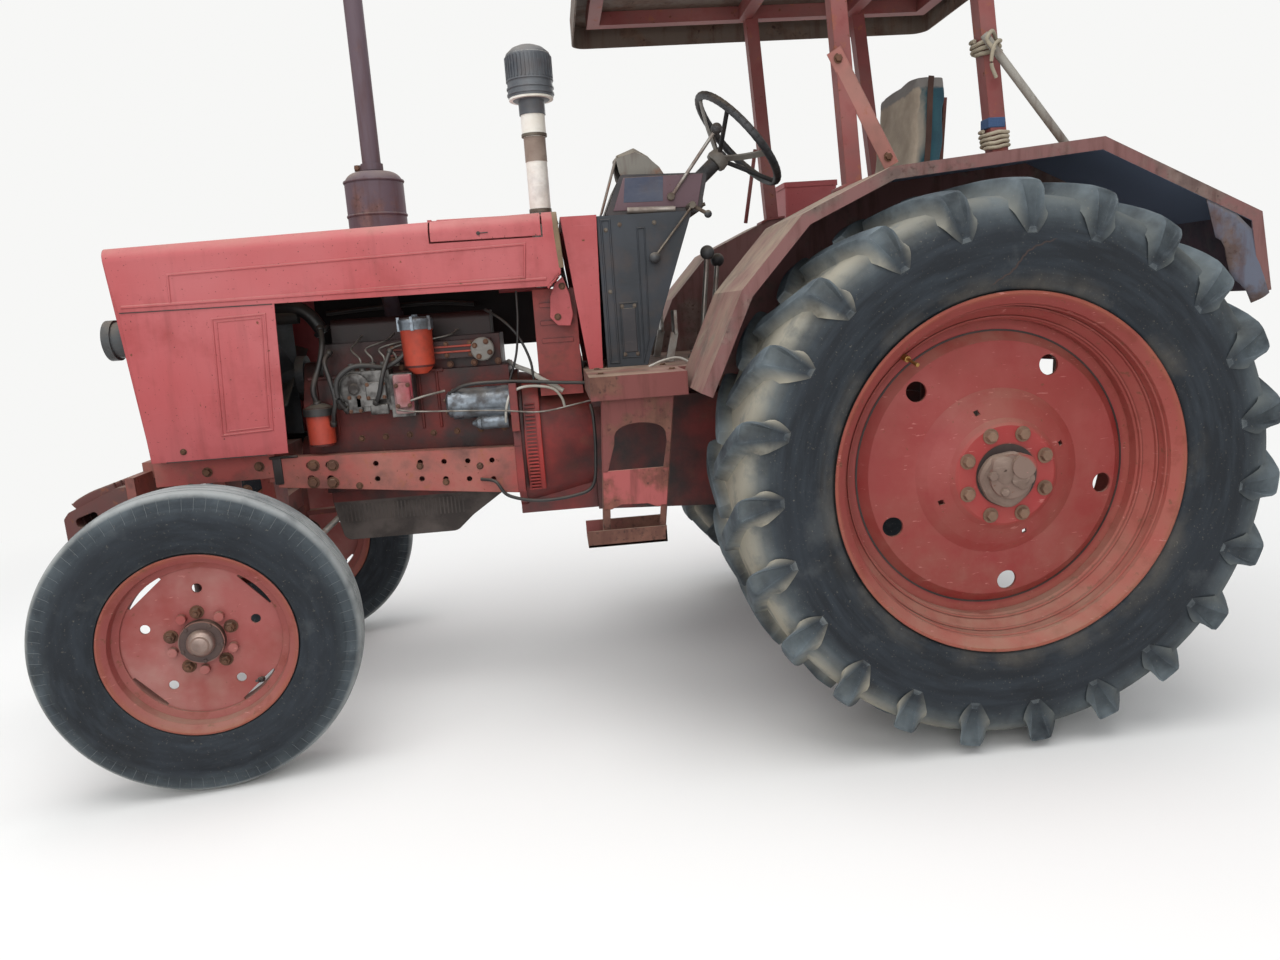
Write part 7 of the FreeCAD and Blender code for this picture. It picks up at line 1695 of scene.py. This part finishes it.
def fabric(name, base, second, weave=420.0):
    """Coarse woven cloth: two crossing sets of threads as bump, faded patches and stains."""
    coat = Finish(name, base, rough=0.95)
    coat.vary(coat.noise(5, 0.40, 0.66, detail=6), second)
    coat.layer(coat.both(coat.noise(11, 0.52, 0.70, detail=7), 0.6), tuple(0.5 * c for c in base), rough=0.95)
    for turn in ((0.0, 0.0, 0.0), (0.0, 1.5708, 0.0)):
        bands = coat.node("TexWave", {"Vector": coat.moved(turn=turn), "Scale": weave / 6.2832, "Distortion": 1.5,
                                      "Detail": 1.0}, bands_direction="Z").outputs["Fac"]
        coat.emboss(bands, 0.0003)
    coat.emboss(coat.noise(14, detail=5), 0.006)
    return coat


print("pad helpers ready, simulation", "on" if SLOW else "skipped")

# %% [markdown]
# Two pads follow. The cushion is crowned and pulls in between its corners. The back leans
# with its uprights, and its wrapping changes by place: khaki sacking on the front face, teal
# cloth round the sides and behind, and the grey rag over the top edge.

# %% Cushion and back
low, high = (np.array(corner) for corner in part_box("seat_cushion"))
CUSHION_CLOTH = fabric("brown_sacking", tone(92, 78, 66), tone(120, 106, 90)).done()


def cushion_pull(p):
    """Two stitched channels across the cushion's top, each 4 mm deep: down by exp(-((x - c) / 0.012)^2)."""
    step = np.zeros_like(p)
    span = (p[:, 0] - low[0]) / (high[0] - low[0])
    top = np.clip((p[:, 2] - (low[2] + high[2]) / 2) / 0.03, 0, 1)
    for centre in (0.33, 0.66):
        step[:, 2] -= 0.005 * top * np.exp(-((span - centre) * (high[0] - low[0]) / 0.012) ** 2)
    return step


puffed("seat_pad", pad_block(low + 0.006, high - 0.006, 0.010), CUSHION_CLOTH, "seat_cover", 0.007, ["seat_cushion"],
       cushion_pull)

BACK_FOOT, BACK_HEAD, BACK_HALF = (-0.144, 1.510, 0.128), (-0.189, 2.090, 0.112), 0.225
teal_cloth = fabric("seat_wrapping", tone(50, 92, 102), tone(40, 70, 84))
front_face = teal_cloth.cut(teal_cloth.axis(0, teal_cloth.facing), 0.25, 0.55)
khaki = teal_cloth.tint(teal_cloth.noise(6, 0.4, 0.7), tone(182, 168, 150), tone(146, 132, 116))
teal_cloth.layer(front_face, khaki, rough=0.95)
edge_noise = teal_cloth.calc("MULTIPLY", teal_cloth.noise(9, 0.2, 0.8), 0.05)
top_band = teal_cloth.cut(teal_cloth.calc("SUBTRACT", teal_cloth.axis(2), edge_noise), 1.985, 1.995)
teal_cloth.layer(top_band, tone(132, 128, 124), rough=0.95)
SEAT_WRAP = teal_cloth.done()
unit = pad_block((-1, -1, -1), (1, 1, 1), 0.10).points
faces_of = pad_block((-1, -1, -1), (1, 1, 1), 0.10).faces
t = (unit[:, 2] + 1) / 2
rear = BACK_FOOT[0] + (BACK_HEAD[0] - BACK_FOOT[0]) * t
depth = BACK_FOOT[2] + (BACK_HEAD[2] - BACK_FOOT[2]) * t
narrow = 1 - 0.10 * np.clip(t - 0.78, 0, 1) / 0.22
back_points = np.stack([rear + 0.004 + (depth - 0.010) * (unit[:, 0] + 1) / 2, unit[:, 1] * (BACK_HALF - 0.006) * narrow,
                        BACK_FOOT[1] + 0.006 + (BACK_HEAD[1] - BACK_FOOT[1] - 0.012) * t], -1)


def back_pull(p):
    """Folds in the wrapping: ripples 3 mm high across the height, deeper at the sides, and a thicker rag on top."""
    step = np.zeros_like(p)
    side = np.clip(np.abs(p[:, 1]) / 0.2 - 0.75, 0, 1)
    fold = np.sin(p[:, 0] * 95 + 2.0 * np.sin(p[:, 2] * 9)) * 0.0045 * side
    step[:, 1] += fold * np.sign(p[:, 1])
    sag = np.sin(p[:, 2] * 42 + 3.0 * np.sin(p[:, 1] * 11)) * 0.0032
    step[:, 0] += sag
    rag = np.clip((p[:, 2] - 2.02) / 0.01, 0, 1)
    step[:, 0] += rag * 0.004 * np.sin(p[:, 1] * 40)
    return step


puffed("seat_back_pad", Shape(back_points + at(0, 0, 0), faces_of), SEAT_WRAP, "seat_cover", 0.007, ["seat_back"],
       back_pull)
STRAP_BROWN = fabric("brown_strip", tone(84, 60, 52), tone(60, 44, 40)).done()
tie = [at(-0.112, 0.2220, 2.045), at(-0.105, 0.2265, 1.98), at(-0.098, 0.2295, 1.86),
       at(-0.088, 0.2300, 1.74), at(-0.080, 0.2290, 1.62), at(-0.078, 0.222, 1.545)]
strap_shape = swept(rectangle(0.003, 0.020, 0.001), rounded_path(tie, 8), up=(1, 0, 0))
piece("seat_tie", strap_shape, STRAP_BROWN, "chassis", "seat_cover")
print("seat pads made")
# %% [markdown]
# # Canopy, braces and ropes
#
# The canopy stands on four posts that someone has braced again and again: a flat bar on the
# left, a thin grey pole at the rear tied with rope, a rod on the right. The rope is wound
# round the posts, so it is a plain helix pressed into the shape of the square tube.

# %% Braces and lashings
POST_X = lambda z, foot, head: head - (2.481 - z) * (head - foot) / 0.816
BRACE_PINK = frame_paint("brace_pink", tone(158, 96, 88), tone(182, 138, 126), tone(96, 56, 48), dust=0.2).done(bevel=0.002)
POLE_GREY = rusty_sheet("grey_pole", tone(142, 138, 130), rust=tone(112, 102, 92), left=0.9, dust=0.3).done()
ROPE = fabric("pale_rope", tone(170, 160, 140), tone(120, 110, 96)).done()
ROPE_BLUE = fabric("blue_band", tone(60, 84, 120), tone(90, 108, 132)).done()


def flat_bar(a, b, width=0.038, thick=0.007, out=(0, 1, 0)):
    """A straight flat bar from a to b, its wide side facing `out`."""
    return swept(rectangle(thick, width, 0.0012), np.array([a, (np.asarray(a) + b) / 2, b]), up=out)


left_brace = flat_bar(at(0.332, 0.560, 2.055), at(0.160, 0.560, 1.716), 0.046, 0.008, (0, 0.3, 1))
piece("post_brace", left_brace, BRACE_PINK, "chassis", "maroon")
brace_bolts = bolts([at(0.320, 0.566, 2.030), at(0.172, 0.566, 1.742)], (0, 1, 0), 0.011, 0.009)
piece("brace_bolts", brace_bolts, BOLT_BROWN, "chassis", "rusty_steel")
piece("rear_pole", rod(at(-0.118, 0.592, 2.072), at(-0.392, 0.620, 1.706), 0.0125), POLE_GREY, "chassis", "bare_steel",
      smooth=60)
piece("far_rod", rod(at(0.338, -0.500, 1.952), at(0.392, -0.500, 1.660), 0.008), MAROON, "chassis", "maroon", smooth=60)


def lashing(foot, head, y, z0, turns, pitch, radius, seed):
    """A helix pressed into a square: at angle a the point is (s cos a, s sin a) / max(|cos a|, |sin a|)^0.8, z rising."""
    a = np.linspace(0, 2 * np.pi * turns, 26 * turns)
    square = 0.0275 + radius
    s = square / np.maximum(np.abs(np.cos(a)), np.abs(np.sin(a))) ** 0.8
    z = z0 + pitch * a / (2 * np.pi) + 0.002 * np.sin(3.1 * a + seed)
    path = np.stack([POST_X(z, foot, head) + s * np.cos(a), y + s * np.sin(a), z], -1) + at(0, 0, 0)
    return swept(circle(radius, 8), path, up=(0, 0, 1))


wraps = joined([lashing(-0.195, -0.110, 0.528, 1.752, 4, 0.0135, 0.0058, 1), lashing(-0.195, -0.110, 0.528, 2.026, 3, 0.015, 0.0066, 2)])
ends = joined([hose([at(-0.175, 0.565, 2.045), at(-0.160, 0.606, 2.050), at(-0.135, 0.622, 2.030), at(-0.132, 0.612, 1.985),
                     at(-0.150, 0.606, 1.945)], 0.0055, 8),
               hose([at(-0.170, 0.566, 2.060), at(-0.140, 0.600, 2.078), at(-0.118, 0.612, 2.052), at(-0.140, 0.616, 2.020)],
                    0.0060, 8)])
piece("rope_lashings", joined([wraps, ends]), ROPE, "chassis", "seat_cover", smooth=60)
band_z0, band_z1 = 1.812, 1.842
band = joined([block(at(POST_X(1.827, -0.195, -0.110) - 0.0275, 0.528 - 0.0275, band_z0),
                     at(POST_X(1.827, -0.195, -0.110) + 0.0275, 0.528 + 0.0275, band_z1))])
piece("blue_band", band, ROPE_BLUE, "chassis", "seat_cover", bevel=0.003)
lip_rivets = [at(x, s * 0.7000, 2.466) for s in (1, -1) for x in np.arange(-0.38, 1.0, 0.125)]
left_rivets = bolts([p for p in lip_rivets if p[1] > 0], (0, 1, 0), 0.0065, 0.005)
right_rivets = bolts([p for p in lip_rivets if p[1] < 0], (0, -1, 0), 0.0065, 0.005)
piece("roof_rivets", joined([left_rivets, right_rivets]), BOLT_BROWN, "chassis", "rusty_steel")
PATCH_GREEN = rusty_sheet("green_patch", tone(58, 96, 78), rust=tone(96, 78, 62), left=0.9, dust=0.3).done()
patches = joined([block(at(0.800, 0.698, 2.440), at(0.905, 0.7018, 2.506)), block(at(-0.14, -0.7018, 2.440), at(-0.02, -0.698, 2.506))])
piece("roof_patches", patches, PATCH_GREEN, "chassis", "rusty_steel", bevel=0.001)
print("braces and lashings made")
# %% [markdown]
# # Front end
#
# The rails are bolted to the front beam through a thick plate, and grease creeps out of that
# joint and collects dust. The ballast plates are castings: each has a rolled outer edge and a
# boss where the clamping rod goes through. Ball joints end the tie rods in rubber boots.

# %% Beam joint, rail bolts and grease
big_heads = bolts([at(x, 0.2602, z) for x, z in ((2.073, 0.894), (2.010, 0.889), (2.080, 0.836), (2.016, 0.830))], (0, 1, 0),
                  0.0150, 0.013)
small_heads = bolts([at(x, 0.2602, z) for x, z in ((1.722, 0.862), (1.520, 0.846), (1.640, 0.800), (1.930, 0.812))], (0, 1, 0),
                    0.0090, 0.009)
piece("rail_bolts", both_sides(joined([big_heads, small_heads])), BOLT_BROWN, "chassis", "rusty_steel")
joint_grease = joined([block(at(2.176, 0.256, 0.838), at(2.206, 0.2655, 0.936)), block(at(2.120, 0.256, 0.925), at(2.215, 0.2660, 0.9345))])
GREASE_DARK = oily_casting("greased_joint", tone(40, 28, 26), tone(22, 18, 17), oil=0.95, dust=0.3).done(bevel=0.003)
piece("joint_grease", both_sides(joint_grease), GREASE_DARK, "chassis", "frame_red", bevel=0.004)
beam_studs = bolts([at(x, 0.2602, z) for x, z in ((2.250, 0.905), (2.300, 0.830), (2.420, 0.900), (2.480, 0.850))], (0, 1, 0),
                   0.0125, 0.011)
piece("beam_studs", both_sides(beam_studs), BOLT_BROWN, "chassis", "rusty_steel")
weight_low, weight_high = (np.array(corner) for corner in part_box("front_weights"))
weight_pitch = (weight_high[1] - weight_low[1]) / 10
weight_rolls = []
for k in range(10):
    y_mid = weight_low[1] + weight_pitch * (k + 0.5)
    line = [(2.733, 0.8665), (2.800, 0.8480), (2.850, 0.8255), (2.871, 0.8105)]
    path = rounded_path([at(x, y_mid, z) for x, z in line], 4)
    weight_rolls.append(swept(rectangle(weight_pitch * 0.72, 0.010, 0.003), path, up=(0, 1, 0)))
piece("weight_edges", joined(weight_rolls), WEIGHT_RED, "chassis", "frame_red", bevel=0.002)
clamp_nuts = bolts([at(2.750, 0.2465, 0.720)], (0, 1, 0), 0.020, 0.014)
piece("weight_nuts", both_sides(clamp_nuts), BOLT_BROWN, "chassis", "rusty_steel")
print("front end:", len(weight_rolls), "weight edges")


# %% [markdown]
# # Rear end
#
# The fenders are rolled from sheet with the outer edge turned down, and years of knocks have
# bent that edge. At the tail a flap hangs down, grey blue with rust.

# %% Tail flaps
fender_low, fender_high = (np.array(corner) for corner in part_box("fenders"))
FLAP_GREY = rusty_sheet("tail_flap", tone(88, 92, 106), rust=tone(84, 68, 64), light=tone(104, 84, 76), left=0.75,
                        dust=0.4).done()


def flap(side):
    """A hanging flap: a grid between two edges, bowed by a half sine and rippled along its free edge."""
    u, v = np.meshgrid(np.linspace(0, 1, 9), np.linspace(0, 1, 8), indexing="ij")
    top = np.array([(-0.600, 1.530), (-0.690, 1.487), (-0.740, 1.440), (-0.780, 1.330), (-0.802, 1.262)])
    low = np.array([(-0.628, 1.425), (-0.660, 1.385), (-0.683, 1.340), (-0.712, 1.285), (-0.745, 1.232)])
    k = np.linspace(0, 1, 5)
    edge_a = np.stack([np.interp(u[:, 0], k, top[:, i]) for i in (0, 1)], -1)
    edge_b = np.stack([np.interp(u[:, 0], k, low[:, i]) for i in (0, 1)], -1)
    flat = edge_a[:, None] * (1 - v[..., None]) + edge_b[:, None] * v[..., None]
    flat[..., 1] += 0.012 * v * np.sin(u * 9.0)
    y = 0.926 + 0.010 * np.sin(np.pi * v) * u + 0.006 * v * np.sin(u * 7.5 + 1)
    points = np.stack([flat[..., 0], side * y, flat[..., 1]], -1) + at(0, 0, 0)
    return Shape(points, grid_faces(9, 8))


for side, word in ((1, "left"), (-1, "right")):
    hanging = piece("tail_flap_" + word, flap(side), FLAP_GREY, "chassis", "rusty_steel", smooth=40)
    sheet = hanging.modifiers.new("sheet", "SOLIDIFY")
    sheet.thickness, sheet.offset = 0.003, 0.0
axle_low, axle_high = (np.array(corner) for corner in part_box("rear_axle"))
lower_low, lower_high = (np.array(corner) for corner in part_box("lower_links"))
print("lower links", np.round(lower_low, 3), np.round(lower_high, 3), "axle", np.round(axle_low, 3), np.round(axle_high, 3))

# %% [markdown]
# # Mounting steps
#
# A mounting step is one folded plate. A round-topped arch lets the toe in, a flat part below
# it stiffens the plate, and two thin legs carry the tread, a shallow channel. The plate's
# side edges are folded in, so from the front they look like thin bars.

# %% Steps: plate with its arch, toe plate, legs, folded edges and tread
STEP_Y = (0.690, 0.696)
LEFT_EDGE, RIGHT_EDGE = ((1.103, 1.143), (1.131, 0.648)), ((0.884, 1.143), (0.946, 0.648))


def edge_x(edge, z):
    """x on a sloping edge at height z."""
    (x0, z0), (x1, z1) = edge
    return x0 + (x1 - x0) * (z - z0) / (z1 - z0)


def plate(points):
    """A flat part of the step's plate from a list of (x, z)."""
    return slab([at(x, 0, z)[[0, 2]] for x, z in points], "xz", *STEP_Y)


a = np.radians(np.linspace(0, 180, 15))
arch_mid, arch_half, arch_z = 1.000, 0.079, 0.945
arch = [(arch_mid + arch_half * math.cos(t), arch_z + 0.060 * math.sin(t) ** 0.55 if 0 < t < 3.14 else arch_z) for t in a]
outline = ([(edge_x(RIGHT_EDGE, 1.143), 1.143), (edge_x(LEFT_EDGE, 1.143), 1.143), (edge_x(LEFT_EDGE, 0.862), 0.862),
            (edge_x(LEFT_EDGE, 0.862) - 0.014, 0.862)] + arch
           + [(edge_x(RIGHT_EDGE, 0.862) + 0.018, 0.862), (edge_x(RIGHT_EDGE, 0.862), 0.862)])
toe_plate = plate([(edge_x(RIGHT_EDGE, 0.866), 0.866), (edge_x(LEFT_EDGE, 0.866), 0.866), (edge_x(LEFT_EDGE, 0.745), 0.745),
                   (1.10, 0.748), (1.07, 0.760), (0.99, 0.757), (0.965, 0.746), (edge_x(RIGHT_EDGE, 0.745), 0.745)])
legs = [plate([(edge_x(e, 0.750) + s0, 0.750), (edge_x(e, 0.750) + s1, 0.750), (edge_x(e, 0.648) + s1, 0.648),
               (edge_x(e, 0.648) + s0, 0.648)]) for e, s0, s1 in ((LEFT_EDGE, -0.020, 0.0), (RIGHT_EDGE, 0.0, 0.018))]
folds = [swept(rectangle(0.005, 0.030, 0.001), np.array([at(*(edge_x(e, z), 0.678, z)) for z in (1.143, 0.90, 0.648)]),
               up=(0, 1, 0)) for e in (LEFT_EDGE, RIGHT_EDGE)]
tread = [block(at(0.940, 0.560, 0.640), at(1.180, 0.720, 0.648)), block(at(0.940, 0.714, 0.640), at(1.180, 0.720, 0.690)),
         block(at(0.940, 0.560, 0.640), at(1.180, 0.566, 0.690)), block(at(0.940, 0.560, 0.640), at(0.946, 0.720, 0.676))]
step_bolts = bolts([at(x, 0.6965, 1.105) for x in (0.925, 1.065)], (0, 1, 0), 0.010, 0.008)
piece("step_frames", both_sides(joined([plate(outline)] + legs + folds + tread)), PLATFORM_RUST, "chassis", "rusty_steel",
      bevel=0.0015, replaces=["steps"])
piece("step_toe_plates", both_sides(toe_plate), STEP_RUST, "chassis", "rusty_steel", bevel=0.0015)
piece("step_bolts", both_sides(step_bolts), BOLT_BROWN, "chassis", "rusty_steel")
print("steps made")
# %% [markdown]
# # Stacks
#
# The air cleaner's inlet is a white pipe with a dark plastic pre-cleaner on top: a dome over
# a ring of ribs. The muffler is purplish brown from heat, with a seam round its neck and a
# clamp, and its pipe has gone the same colour, with rust coming through.

# %% Pre-cleaner, pipe bands, muffler seams and clamps
PRE_DARK = dull_plastic("precleaner_dark", tone(64, 68, 74), tone(96, 100, 104), dust=0.5, rough=0.5).done(bevel=0.001)
upright = basis((0, 0, 1), (1, 0, 0))
INTAKE_AT = at(1.240, -0.060, 0)
dome = turned([(2.088, 0.0), (2.088, 0.062), (2.098, 0.0795), (2.118, 0.0805), (2.124, 0.0800), (2.236, 0.0690 + 0.0105),
               (2.2445, 0.0760), (2.262, 0.0560), (2.2712, 0.0330), (2.2735, 0.0)], 56).moved(upright, INTAKE_AT)
rings = joined([turned([(z, 0.078), (z + 0.0015, 0.0835), (z + 0.0065, 0.0835), (z + 0.008, 0.078)], 56).moved(upright, INTAKE_AT)
                for z in (2.104, 2.124, 2.150)])
ribs = copies(block((-0.0022, 0.0795, 2.160), (0.0022, 0.0832, 2.232)),
              [np.array([[math.cos(a), -math.sin(a), 0], [math.sin(a), math.cos(a), 0], [0, 0, 1]])
               for a in np.arange(0, 2 * math.pi, math.pi / 18)], np.repeat(INTAKE_AT[None], 36, 0))
neck = turned([(2.040, 0.040), (2.040, 0.0465), (2.088, 0.0465), (2.094, 0.056), (2.094, 0.040)], 44).moved(upright, INTAKE_AT)
piece("precleaner", joined([dome, rings, ribs, neck]), PRE_DARK, "chassis", "black_plastic", smooth=40)
bands = joined([turned([(z, 0.036), (z, r), (z + h, r), (z + h, 0.036)], 44).moved(upright, INTAKE_AT)
                for z, h, r in ((1.966, 0.010, 0.0455), (1.705, 0.012, 0.0405))])
piece("intake_bands", bands, SADDLE_STEEL, "chassis", "bare_steel", smooth=40)
PIPE_TAN = dull_plastic("pipe_tan", tone(150, 136, 124), tone(122, 104, 92), dust=0.4, rough=0.7).done()
sleeve = turned([(1.880, 0.0370), (1.880, 0.0392), (1.964, 0.0392), (1.964, 0.0370)], 44).moved(upright, INTAKE_AT)
piece("intake_sleeve", sleeve, PIPE_TAN, "chassis", "intake_white", smooth=40)
intake_boot = turned([(1.662, 0.036), (1.662, 0.062), (1.672, 0.060), (1.682, 0.050), (1.700, 0.045), (1.706, 0.036)], 44)
piece("intake_boot", intake_boot.moved(upright, INTAKE_AT), BLACK_RUBBER, "chassis", "black_plastic", smooth=40)
exhaust_low, exhaust_high = (np.array(corner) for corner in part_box("exhaust"))
STACK_AT = np.array([(exhaust_low[0] + exhaust_high[0]) / 2, -0.060, 0])
seams = joined([turned([(z, 0.098), (z, 0.1045), (z + 0.004, 0.1060), (z + 0.008, 0.1045), (z + 0.008, 0.098)], 60)
                .moved(upright, STACK_AT) for z in (1.722, 1.838)])
clamp_ring = turned([(1.880, 0.030), (1.880, 0.0385), (1.904, 0.0385), (1.904, 0.030)], 44).moved(upright, STACK_AT)
lug_box = block((0.036, -0.008, 1.882), (0.060, 0.008, 1.902)).moved(None, STACK_AT)
clamp_bolt = bolts([STACK_AT + np.array([0.050, 0.008, 1.892])], (0, 1, 0), 0.008, 0.007)
piece("muffler_seams", joined([seams, clamp_ring, lug_box]), STACK_RUST, "chassis", "rusty_steel", smooth=40)
piece("muffler_bolt", clamp_bolt, BOLT_BROWN, "chassis", "rusty_steel")
print("stacks dressed")
